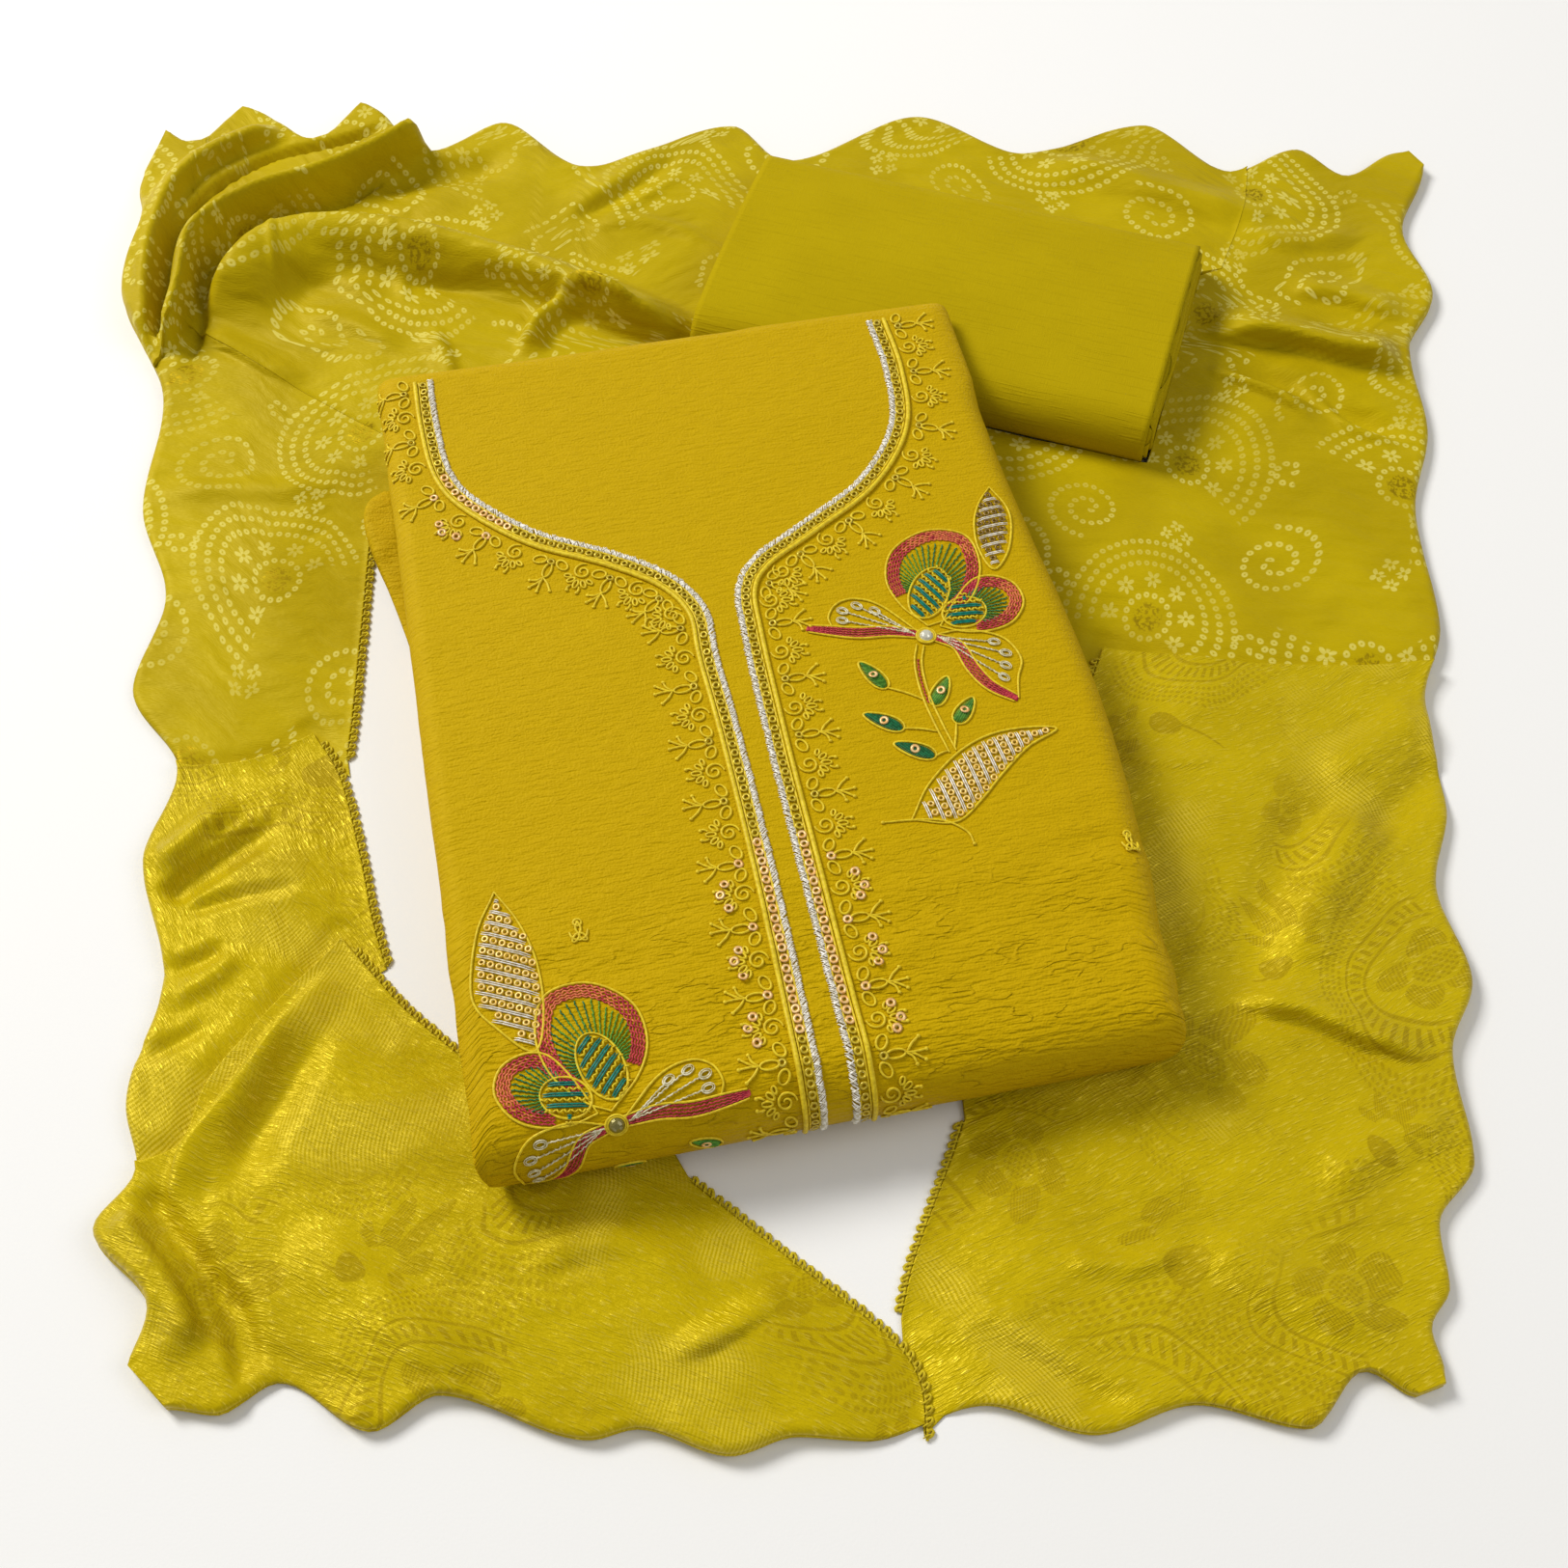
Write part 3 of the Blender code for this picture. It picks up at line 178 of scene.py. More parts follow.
# %% Floor and lights
FLOOR_COLOUR = (0.9, 0.9, 0.89)
FLOOR_HALF = 3.0
TENT_COLOUR, TENT_STRENGTH = (1.0, 0.99, 0.97, 1), 0.34
LIGHTS = [      # (name, place, size, watts, colour)
    ("key", (-2.0, 1.35, 2.35), 1.15, 102, (1.0, 0.98, 0.95)),
    ("fill", (1.5, -0.35, 1.5), 1.3, 9, (1.0, 0.98, 0.96)),
]


def add_floor():
    mesh = bpy.data.meshes.new("floor")
    corners = [(-1, -1), (1, -1), (1, 1), (-1, 1)]
    mesh.from_pydata([(FLOOR_HALF * x, FLOOR_HALF * y, 0) for x, y in corners], [], [(0, 1, 2, 3)])
    paper = new_material("floor_paper", FLOOR_COLOUR, 0.85)
    place = add_node(paper.node_tree, "ShaderNodeTexCoord", out=3)
    grain = add_node(place.tree, "ShaderNodeTexNoise", {}, {"Vector": place, "Scale": 900.0, "Detail": 2.0})
    drive(paper, Normal=bump(grain, 0.0002, 0.25))
    mesh.materials.append(paper)
    put("floor", mesh)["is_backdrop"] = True


def add_light(name, place, size, watts, colour):
    data = bpy.data.lights.new(name, "AREA")
    data.size, data.energy, data.color = size, watts, colour
    lamp = put(name, data)
    lamp.location = place
    lamp.rotation_euler = (-Vector(place)).to_track_quat("-Z", "Y").to_euler()


add_floor()
for row in LIGHTS:
    add_light(*row)
world = bpy.data.worlds.new("tent")
world.use_nodes = True
background = world.node_tree.nodes["Background"]
background.inputs["Color"].default_value = TENT_COLOUR
background.inputs["Strength"].default_value = TENT_STRENGTH
bpy.context.scene.world = world
print("lights", [row[0] for row in LIGHTS])

# %% [markdown]
# ## Curves and folds
# The cloth follows a few paths: its edges, the seams where one stretch lies over another, and the
# crests of its folds. A smooth curve through a path gives evenly spaced points, and the distance of a point
# from a path gives the height of a fold there. These are worked out in the layout's own coordinates, and
# every mesh is moved by LAYOUT_MIDDLE at the end, as the solids are.

# %% Smooth paths
LAYOUT_MIDDLE = np.array([0.00083, 0.07244])
GAP = 0.0003
CLEAR_OF_FLOOR = 0.0002


def metres(value):
    """Tables of numbers in tenths of a millimetre, as metres; names in them stay as they are."""
    if isinstance(value, dict):
        return {key: metres(row) for key, row in value.items()}
    if isinstance(value, (tuple, list)):
        return type(value)(map(metres, value))
    return value if isinstance(value, str) else value / 10000


def unit(rows):
    """Each row as a vector of length 1."""
    return rows / np.linalg.norm(rows, axis=1)[:, None]


def travelled(line):
    """How far along a line each of its points lies."""
    return np.concatenate([[0], np.cumsum(np.linalg.norm(np.diff(line, axis=0), axis=1))])


def stations(start, end, step):
    """Evenly spaced distances from start to end, about step apart."""
    return np.linspace(start, end, max(2, math.ceil(abs(end - start) / step) + 1))


def spaced(line, step):
    """The same line as evenly spaced points, about step apart."""
    along = travelled(line)
    at = stations(0, along[-1], step)
    return np.stack([np.interp(at, along, column) for column in line.T], axis=1)


def smooth_path(points, step):
    """A smooth curve through the points, as evenly spaced points about step apart."""
    p = np.array(points, float)
    p = np.vstack([2 * p[0] - p[1], p, 2 * p[-1] - p[-2]])
    fine = [0.5 * (2 * b + (c - a) * u + (2 * a - 5 * b + 4 * c - d) * u ** 2
                   + (3 * b - a - 3 * c + d) * u ** 3)
            for a, b, c, d in zip(p, p[1:], p[2:], p[3:]) for u in np.linspace(0, 1, 12, endpoint=False)]
    return spaced(np.array([*fine, p[-2]]), step)


def turned(at, turn, points):
    """Points turned about the origin, then moved to a place."""
    points = np.atleast_2d(np.array(points, float))
    c, s = math.cos(turn), math.sin(turn)
    return np.stack([at[0] + c * points[:, 0] - s * points[:, 1],
                     at[1] + s * points[:, 0] + c * points[:, 1]], axis=1)


def left_normals(path, closed=False):
    """Unit normals to the left of a path, mitred so that an offset keeps its distance at corners."""
    out = np.roll(path, -1, axis=0) - path
    if not closed:
        out[-1] = out[-2]
    out = unit(out)
    into = np.roll(out, 1, axis=0)
    if not closed:
        into[0] = out[0]
    middle = into + out
    middle /= np.maximum(np.linalg.norm(middle, axis=1), 1e-9)[:, None]
    stretch = 1 / np.clip((middle * into).sum(axis=1), 0.75, 1)
    return np.stack([-middle[:, 1], middle[:, 0]], axis=1) * stretch[:, None]


print("a smooth path of", len(smooth_path([(0, 0), (1, 1), (2, 0)], 0.1)), "points")

# %% Blends, distances and waves
def ease(u):
    u = np.clip(u, 0, 1)
    return u * u * (3 - 2 * u)


def mix(first, second, share):
    return first * (1 - share) + second * share


BLOCK = 4000        # points worked out at once


def nearest(points, path):
    """For each point: distance to the path, positive on its left, and how far along; then the length."""
    a, b = path[:-1], path[1:]
    run = b - a
    size = (run ** 2).sum(axis=1)
    side, along = np.empty(len(points)), np.empty(len(points))
    start = np.concatenate([[0], np.cumsum(np.sqrt(size))])
    for low in range(0, len(points), BLOCK):
        rel = points[low:low + BLOCK, None, :] - a[None]
        u = np.clip((rel * run).sum(axis=2) / size, 0, 1)
        foot = rel - u[..., None] * run
        dist = (foot ** 2).sum(axis=2)
        best = dist.argmin(axis=1)
        rows = np.arange(len(best))
        cross = run[best, 0] * foot[rows, best, 1] - run[best, 1] * foot[rows, best, 0]
        side[low:low + BLOCK] = np.where(cross >= 0, 1, -1) * np.sqrt(dist[rows, best])
        along[low:low + BLOCK] = start[best] + u[rows, best] * np.sqrt(size[best])
    return side, along, start[-1]


def ripple(points, size, seed):
    """Smooth random waves between -1 and 1, about size across; size may differ along the two axes."""
    p = points / np.array(size)
    cell = np.floor(p).astype(np.int64)
    u = ease(p - cell)

    def corner(dx, dy):
        mixed = (cell[:, 0] + dx) * 374761393 + (cell[:, 1] + dy) * 668265263 + seed * 1442695041
        mixed = (mixed ^ (mixed >> 13)) * 1274126177
        return ((mixed ^ (mixed >> 16)) & 0xFFFF) / 32767.5 - 1

    low, high = (mix(corner(0, k), corner(1, k), u[:, 0]) for k in (0, 1))
    return mix(low, high, u[:, 1])


print("waves", ripple(np.array([(0.0, 0.0), (0.5, 0.2)]), 0.3, 1).round(2).tolist())

# %% The dupatta's outer edge
CORNERS = metres({
    "far_left": (-3350, 3950), "far_right": (3400, 3950),
    "near_right": (2450, -2680), "near_left": (-2450, -2620),
})
# The edge is turned under in loose waves: (crest_at, crest_out, dip_at, dip_out), along the side and outward.
EDGE_WAVES = metres({
    "far": [
        (50, 100, 200, 20), (450, 300, 860, 50), (1080, 320, 1480, -30), (1840, 200, 2290, -150),
        (3080, 180, 3350, -90), (4070, 240, 4620, -40), (5280, 170, 5700, -180), (6080, 0, 6320, -180),
        (6620, -10, 6680, -10),
    ],
    "right": [
        (120, 10, 620, -110), (1070, 30, 1490, -100), (2010, -20, 2490, -90), (3190, 0, 3590, -80),
        (4150, 0, 4520, -60), (4960, 70, 5280, -20), (5730, 50, 6000, -90), (6240, -60, 6400, -130),
        (6550, -90, 6600, -90),
    ],
    "near": [
        (180, -70, 350, -160), (580, 50, 970, -30), (1350, 80, 1730, -20), (2160, 110, 2400, 100),
        (2640, 170, 2970, 80), (3140, 120, 3690, -30), (3920, 100, 4270, -70), (4480, 50, 4660, 30),
    ],
    "left": [
        (100, -100, 290, -160), (630, 50, 860, -100), (1130, -50, 1670, -180), (2220, -80, 2660, -210),
        (3120, 0, 3620, -130), (4160, -10, 4800, -90), (5580, 130, 6070, 40), (6300, 70, 6440, 50),
    ],
})
SIDES = {
    "far": ("far_left", "far_right"), "right": ("far_right", "near_right"),
    "near": ("near_right", "near_left"), "left": ("near_left", "far_left"),
}
EDGE_STEP = 0.0032


def edge(side, start, end):
    """Points of the wavy outer edge between two distances along one side."""
    a, b = (np.array(CORNERS[name]) for name in SIDES[side])
    run = (b - a) / np.linalg.norm(b - a)
    out = np.array([-run[1], run[0]])
    at, reach = np.array(EDGE_WAVES[side]).reshape(-1, 2).T
    along = stations(start, end, EDGE_STEP)
    index = np.clip(np.searchsorted(at, along) - 1, 0, len(at) - 2)
    u = ease((along - at[index]) / (at[index + 1] - at[index]))
    return a + along[:, None] * run + mix(reach[index], reach[index + 1], u)[:, None] * out


def ends(side):
    return EDGE_WAVES[side][0][0], EDGE_WAVES[side][-1][2]


print("outer edge", round(sum(len(edge(side, *ends(side))) for side in SIDES) * EDGE_STEP, 2), "m")

# %% [markdown]
# ## The seven stretches of the dupatta
# The dupatta is one soft cloth, so close to its edges it looks thin, and where it is gathered it stands up in
# round rolls. Each stretch that shows is one closed mesh: a fine top that carries the folds, sides that roll
# over to the surface, and a flat base. A stretch that passes under its neighbour is carried on a few
# millimetres below it, and two stretches that run on into each other meet at one height.

# %% Seams, trimmed edges and what they meet
TRIM_WIDTH = 0.0034
TRIM_CLEAR = TRIM_WIDTH + 3 * GAP
TRIMS = metres({        # (points with the open floor on the right-hand side, left off at start and end)
    "left_print": ([(-1890, 100), (-1890, 340), (-1910, 980), (-1920, 1400), (-1880, 1510)], 15, 10),
    "left_pallu": ([(-1610, -890), (-1690, -670), (-1780, -350), (-1910, 30), (-2050, 250)], 10, 60),
    "front_far": ([(-1240, -1310), (-1510, -1080), (-1660, -920), (-1810, -750)], 40, 60),
    "front_near": ([(505, -2770), (490, -2550), (370, -2380), (-40, -2050), (-400, -1760)], 10, 20),
    "right_near": ([(700, -1540), (640, -1710), (490, -2090), (430, -2320)], 10, 20),
    "right_far": ([(1430, 710), (1370, 550), (1330, 400), (1315, 290)], 60, 40),
    "right_print": ([(1200, 780), (1240, 660), (1285, 510)], 20, 20),
})
SEAMS = metres({        # ((side of the outer edge, distance along it), points)
    "gathers": (("left", 5030), [(-2980, 2620), (-2780, 2520), (-2520, 2340), (-2320, 2190), (-1960, 1960)]),
    "left_border": (("left", 2700), [(-2530, 60), (-2290, 100), (-2050, 250)]),
    "front_fold": (("left", 880), [(-2310, -1660), (-2250, -1420), (-2100, -1180), (-1960, -970),
                                   (-1810, -750)]),
    "right_border": (("right", 3390), [(2550, 570), (2110, 580), (1760, 640), (1430, 710)]),
    "behind_salwar": (("far", 3320), [(-40, 3730)]),
    "far_right": (("far", 5800), [(2380, 3450), (2220, 3030)]),
})
TRIM_FOOT_AT = 0.195            # along the near side, where the front trim ends

KAMEEZ_AT, KAMEEZ_TURN = (-0.018, 0.027), math.radians(11.3)
KAMEEZ_WIDTH, KAMEEZ_LENGTH = 0.27, 0.388
KAMEEZ_BULGE, KAMEEZ_BULGE_AT, KAMEEZ_BULGE_REACH = 0.012, -0.045, 0.115
SALWAR_AT, SALWAR_TURN = (0.084, 0.27), math.radians(-17.3)
SALWAR_LENGTH, SALWAR_WIDTH = 0.23, 0.136

UNDER_KAMEEZ = {"far": 0.002, "left": 0.002, "right": 0.002, "near": 0.008}    # cloth carried on below it
UNDER_SALWAR = 0.003


print("seams", list(SEAMS), "trims", list(TRIMS))

# %% Places beside the folded cloths and along the seams
def kameez_plan(points):
    return turned(KAMEEZ_AT, KAMEEZ_TURN, points)


def salwar_plan(points):
    return turned(SALWAR_AT, SALWAR_TURN, points)


def bulge(along):
    return KAMEEZ_BULGE * np.exp(-((along - KAMEEZ_BULGE_AT) / KAMEEZ_BULGE_REACH) ** 2)


def kameez_side(side, start, end):
    """Points a little under one side of the kameez."""
    half_w, half_l = KAMEEZ_WIDTH / 2 - UNDER_KAMEEZ[side], KAMEEZ_LENGTH / 2 - UNDER_KAMEEZ[side]
    place = {"left": lambda t: (-half_w, t), "right": lambda t: (half_w + bulge(t), t),
             "far": lambda s: (s, half_l), "near": lambda s: (s, -half_l)}[side]
    return kameez_plan([place(at) for at in stations(start, end, EDGE_STEP)])


def salwar_side(corners):
    """Points a little under the sides of the salwar cloth, between shares of its half length and width."""
    half = np.array([SALWAR_LENGTH / 2 - UNDER_SALWAR, SALWAR_WIDTH / 2 - UNDER_SALWAR])
    return salwar_plan(spaced(np.array(corners) * half, EDGE_STEP))


def seam(name):
    (side, at), points = SEAMS[name]
    return smooth_path([tuple(edge(side, at, at)[0])] + points, EDGE_STEP)


def trim_edge(name):
    return smooth_path(TRIMS[name][0], EDGE_STEP)


def cleared(name, reach=None):
    """A trimmed edge moved off to its right, to leave room for its trim; reach keeps that much of it."""
    line = trim_edge(name)
    line = line - left_normals(line) * TRIM_CLEAR
    return line if reach is None else line[:max(2, int(reach / EDGE_STEP))]


def area(loop):
    x, y = loop[:, 0], loop[:, 1]
    return 0.5 * (x * np.roll(y, -1) - np.roll(x, -1) * y).sum()


def joined(*runs):
    """One closed counter-clockwise loop from runs of points, with repeated ends dropped."""
    loop = []
    for p in np.vstack(runs):
        if not loop or math.dist(p, loop[-1]) > EDGE_STEP / 3:
            loop.append(p)
    while math.dist(loop[0], loop[-1]) < EDGE_STEP / 3:
        loop.pop()
    loop = np.array(loop)
    return loop if area(loop) > 0 else loop[::-1]


print("trimmed edges", {name: round(travelled(trim_edge(name))[-1], 3) for name in TRIMS})

# %% Outlines
def outlines():
    """The outline in plan of each stretch."""
    far, right, near, left = (ends(side) for side in ("far", "right", "near", "left"))
    at = {name: row[0][1] for name, row in SEAMS.items()}
    return {name: joined(*runs) for name, runs in {
        "far_gathers": [
            edge("far", at["behind_salwar"], far[0]), edge("left", left[1], at["gathers"]),
            seam("gathers"), kameez_side("far", -0.134, 0.047),
            salwar_side([(-0.66, -1), (-1, -1), (-1, 1)]), seam("behind_salwar")[::-1]],
        "behind_salwar": [
            edge("far", at["behind_salwar"], at["far_right"]), seam("far_right"),
            salwar_side([(0.97, 1), (-0.95, 1)]), seam("behind_salwar")[::-1]],
        "right_print": [
            edge("far", at["far_right"], far[1]), edge("right", right[0], at["right_border"]),
            seam("right_border"), cleared("right_far")[2:-6], trim_edge("right_print")[::-1],
            kameez_side("right", 0.026, 0.146), salwar_side([(0.21, -1), (1, -1), (1, 1)]),
            seam("far_right")[::-1]],
        "left_print": [
            edge("left", at["gathers"], at["left_border"]), seam("left_border"),
            cleared("left_pallu")[::-1][3:6], trim_edge("left_print"),
            kameez_side("left", 0.153, 0.191), seam("gathers")[::-1]],
        "left_pallu": [
            edge("left", at["left_border"], at["front_fold"]), seam("front_fold"),
            cleared("front_far")[::-1][2:8], trim_edge("left_pallu"), seam("left_border")[::-1]],
        "front_pallu": [
            edge("left", at["front_fold"], left[0]), edge("near", near[1], TRIM_FOOT_AT),
            trim_edge("front_near")[1:-2], kameez_side("near", -0.062, -0.127),
            kameez_side("left", -0.186, -0.135), trim_edge("front_far"), seam("front_fold")[::-1]],
        "right_pallu": [
            edge("near", TRIM_FOOT_AT - TRIM_CLEAR, near[0]), edge("right", right[1], at["right_border"]),
            seam("right_border"), trim_edge("right_far"), kameez_side("right", -0.031, -0.186),
            kameez_side("near", 0.127, 0.052), trim_edge("right_near"),
            cleared("front_near", 0.036)[4:][::-1]],
    }.items()}


print("outlines", {name: len(loop) for name, loop in outlines().items()})

# %% [markdown]
# ## Folds
# Folds could be left to a cloth simulation, but it would choose where they fall. Here each is a crest path
# with a height and two flanks, as they could be chalked on the cloth, and fine creases are smooth waves.

# %% Folds
# Each row is one fold, in tenths of a millimetre: (crest path, height, flank on the left of the path, flank
# on its right, lean), and where it doesn't fade out at its ends as most do, over how far it does. A flank may
# change along the fold from its first number to its second. A trough has a negative height. Lean moves the
# crest towards its right flank, so that it hangs over it.
FOLDS = metres([
    # gathers at the far left: an outer roll, the rolled band inside it and the long arch in front
    ([(-3138, 2438), (-3206, 2855), (-3222, 3291), (-3152, 3624), (-2953, 3862), (-2632, 4041)], 110, 140,
     70, 10, (200, 200)),
    ([(-3087, 2389), (-3115, 2832), (-3121, 3268), (-3001, 3570), (-2720, 3834), (-2341, 3977),
     (-2056, 4138)], -70, 40, 40, 0, (150, 300)),
    ([(-3060, 2430), (-3030, 2770), (-3030, 3090), (-2920, 3280), (-2680, 3490), (-2400, 3620),
     (-2070, 3850), (-1800, 4120)], 210, 85, (95, 130), 40, (120, 300)),
    ([(-2975, 2588), (-2951, 3012), (-2784, 3202), (-2661, 3359), (-2443, 3450), (-2264, 3532),
     (-2135, 3701), (-1978, 3826)], -70, 40, 40, 0, (200, 200)),
    ([(-2860, 2620), (-2783, 2934), (-2574, 3165), (-2214, 3235), (-1921, 3180), (-1649, 3090),
     (-1295, 2945), (-884, 2730), (-419, 2420)], 220, (90, 240), (440, 90), 50, (300, 300)),
    ([(-1960, 2945), (-1655, 2904), (-1388, 2861), (-1139, 2761), (-892, 2663), (-647, 2539), (-425, 2416)],
     -50, 35, 80, 0, (300, 100)),
    ([(-2920, 2640), (-2620, 2430), (-2320, 2230)], 40, 100, 60, 20),
    ([(-1280, 2380), (-1226, 2600), (-1083, 2719), (-891, 2701), (-624, 2507)], 100, 60, 120, 10,
     (150, 200)),
    ([(-1200, 3380), (-920, 3620), (-600, 3980)], 35, 140, 70, 10, (300, 300)),
    ([(-1130, 3330), (-860, 3560), (-520, 3920)], -25, 30, 80, 0),
    ([(-980, 3340), (-740, 3520), (-500, 3760)], 18, 40, 50, 0),
    ([(-2221, 3615), (-1912, 3708), (-1596, 3771), (-1389, 3865)], -60, 140, 160, 0),
    ([(-2940, 2310), (-2900, 2620), (-2920, 2940), (-2810, 3120), (-2660, 3260)], -50, 40, 50, 0),
    ([(-2620, 3000), (-2320, 2960), (-2000, 2800)], 30, 120, 80, 0),
    ([(-2604, 3269), (-2580, 3050), (-2541, 2806)], 16, 35, 35, 0),
    ([(-1974, 3269), (-1930, 3000), (-1880, 2749)], 18, 35, 60, 0),
    ([(-2400, 2680), (-2140, 2620), (-1860, 2440)], 30, 100, 60, 0),
    ([(-1760, 2620), (-1650, 2380), (-1600, 2140)], 35, 60, 100, 0),
    ([(-1040, 3300), (-720, 3340), (-360, 3200)], 30, 100, 60, 0),
    # far right: one fold lies over the hollow beside the salwar cloth
    ([(2040, 2580), (2450, 2540), (2720, 2440), (3060, 2360)], 140, 240, 60, 40, (300, 200)),
    ([(2140, 2380), (2460, 2260), (2740, 2060), (3020, 1880)], -50, 100, 90, 0),
    ([(2500, 2900), (2820, 2820), (3120, 2680)], 60, 180, 60, 10),
    ([(1200, 3750), (1650, 3720), (2150, 3500), (2620, 3380)], 60, 180, 140, 0),
    ([(2060, 2360), (2360, 2200), (2560, 2020)], 50, 60, 50, 20),
    ([(2470, 2320), (2620, 2140), (2720, 1980), (2980, 1840)], 40, 50, 50, 10),
    ([(2300, 3300), (2620, 3220), (3000, 3300)], 40, 120, 80, 0),
    # left side
    ([(-3000, 1580), (-2550, 1600), (-2060, 1570)], 30, 100, 100, 0),
    ([(-2570, -617), (-2421, -463), (-2267, -328), (-2073, -168)], -80, 70, 120, 0, (100, 300)),
    ([(-2615, -463), (-2485, -305), (-2303, -75)], 60, 100, 90, 10, (100, 200)),
    ([(-2521, -682), (-2231, -573), (-1970, -507)], -34, 35, 70, 0),
    ([(-2497, -937), (-2357, -874), (-2253, -810)], -38, 50, 70, 0),
    ([(-2476, -1061), (-2306, -958), (-2193, -832)], 32, 60, 80, 10),
    ([(-2542, -1324), (-2376, -1224), (-2278, -1143)], -30, 50, 60, 0),
    # front left: the folded edge, the hollow inside it and the turned corner
    ([(-1790, -874), (-1929, -1143), (-2090, -1442), (-2261, -1729), (-2293, -1968)], 70, 130, 60, 30,
     (120, 300)),
    ([(-1843, -1123), (-1943, -1403), (-2037, -1634), (-2086, -1895)], -45, 160, 90, 0),
    ([(-2435, -1840), (-2322, -1986), (-2175, -2147), (-2028, -2321), (-1964, -2525), (-1928, -2657)], -55,
     100, 40, 0, (100, 200)),
    ([(-2520, -1918), (-2381, -2102), (-2233, -2276), (-2131, -2485)], 75, 75, 140, -20, (120, 120)),
    ([(-2175, -2147), (-1964, -2407), (-1691, -2558), (-1479, -2657)], -35, 140, 100, 0),
    ([(-1866, -2004), (-1601, -2182), (-1338, -2407), (-1058, -2525)], 40, 160, 180, 0),
    ([(-1557, -1304), (-1463, -1143), (-1391, -1123)], 18, 40, 60, 0),
    ([(-450, -2500), (-180, -2360), (80, -2180)], 40, 90, 60, 20),
    ([(-1500, -2620), (-1520, -2700), (-1560, -2800)], 20, 50, 60, 0),
    ([(-1000, -2150), (-600, -2050), (-280, -2240)], 30, 120, 90, 0),
    # right side
    ([(1576, -1304), (1841, -917), (2207, -216), (2448, 146)], -45, 180, 200, 0),
    ([(1968, -967), (2204, -561), (2508, -78)], 60, 200, 200, 0),
    ([(2423, -324), (2617, -134), (2815, 61)], -45, 120, 140, 0, (200, 50)),
    ([(1720, -1050), (2030, -1100), (2270, -1210), (2580, -1320)], 60, 140, 60, 20),
    ([(1760, -1130), (2050, -1170), (2270, -1270), (2500, -1370)], -20, 35, 60, 0),
    ([(1375, 146), (1583, 75), (1890, 61)], 22, 90, 35, 0),
    ([(1977, -1849), (2433, -1627), (2619, -1536)], 40, 180, 120, 0),
    ([(2250, -40), (2550, 140), (2840, 380)], 50, 160, 160, 0),
    ([(658, -2354), (985, -2554), (1291, -2671)], -35, 80, 100, 0),
    ([(1500, -2000), (1900, -2250), (2250, -2360)], 40, 160, 160, 0),
    ([(1000, -2100), (1280, -2140), (1500, -2060)], 30, 60, 80, 0),
])
print("folds", len(FOLDS))

# %% The shape of the folds
NARROWEST = 0.0035
FOLD_FADE = 0.28        # share of a fold's length over which each end fades out
fold_paths = [(smooth_path(row[0], 0.004), *row[1:5], row[5] if len(row) > 5 else None) for row in FOLDS]


def fold_shape(points):
    """The height that all folds add, and how far they lean."""
    height, lean = np.zeros(len(points)), np.zeros((len(points), 2))
    for line, crest, left, right, over, fades in fold_paths:
        left, right = (flank if isinstance(flank, tuple) else (flank, flank) for flank in (left, right))
        reach = max(*left, *right)
        near = ((points > line.min(axis=0) - reach) & (points < line.max(axis=0) + reach)).all(axis=1)
        if not near.any():
            continue
        side, along, length = nearest(points[near], line)
        share = along / length
        left, right = (first + (last - first) * share for first, last in (left, right))
        flank = np.where(side > 0, left, right)
        across = np.clip(1 - (side / np.maximum(flank, NARROWEST)) ** 2, 0, 1) ** 2
        first, last = fades or (FOLD_FADE * length, FOLD_FADE * length)
        share = across * ease(along / first) * ease((length - along) / last)
        height[near] += crest * share
        at = np.linspace(0, length, len(line))
        for k, towards in enumerate(-left_normals(line).T):
            lean[near, k] += over * share * np.interp(along, at, towards)
    return height, lean


print("height of one crest", fold_shape(fold_paths[0][0][20:21])[0].round(4).tolist())

# %% Levels and overlaps
LIP, LIP_RISE = 0.0018, 0.045
LEVELS = {      # thickness of the layers hidden under the top one
    "far_gathers": 0.01, "behind_salwar": 0.009, "right_print": 0.0065, "left_print": 0.005,
    "left_pallu": 0.0066, "front_pallu": 0.0078, "right_pallu": 0.0072,
}
STRETCH_TRIMS = {
    "left_print": ["left_print"], "left_pallu": ["left_pallu"], "front_pallu": ["front_far", "front_near"],
    "right_pallu": ["right_near", "right_far"], "right_print": ["right_print"],
}
OVER = {        # seam: (the stretch on top, the one that goes under it)
    "gathers": ("far_gathers", "left_print"), "left_border": ("left_pallu", "left_print"),
    "front_fold": ("front_pallu", "left_pallu"), "right_border": ("right_pallu", "right_print"),
}
RUNS_ON = {     # seam: the two stretches that run on into each other there
    "behind_salwar": ("far_gathers", "behind_salwar"), "far_right": ("behind_salwar", "right_print"),
}
UNDER_BY, UNDER_DROP, OVER_LIFT = 0.004, 0.0018, 0.0006
TUCKED = {      # a stretch, and the neighbour's trim that its edge goes under
    "left_print": "left_pallu", "left_pallu": "front_far",
    "right_print": "right_far", "right_pallu": "front_near",
}
TUCK_BY, TUCK_TOP = TRIM_CLEAR + 0.0012, 0.0005
CLOSES = {"gathers": 0.07}     # how far along a seam its step closes, where the cloth is one there
CLOSED_DROP = 0.0004
RUN_ON_BY, RUN_ON_DROP = 0.0015, 0.00022
LEVEL_REACH = 0.06             # how far from a seam the levels on its two sides start to meet
LIFT_REACH, DROP_REACH, RUN_ON_REACH = 0.01, 0.009, 0.006
TUCK_FROM, TUCK_REACH = 0.0035, 0.007
CREASES = [     # (wave size across and along, height, seed)
    ((0.075, 0.06), 0.0016, 3), ((0.03, 0.022), 0.0007, 5), ((0.012, 0.01), 0.0002, 8),
]


print("levels", LEVELS)

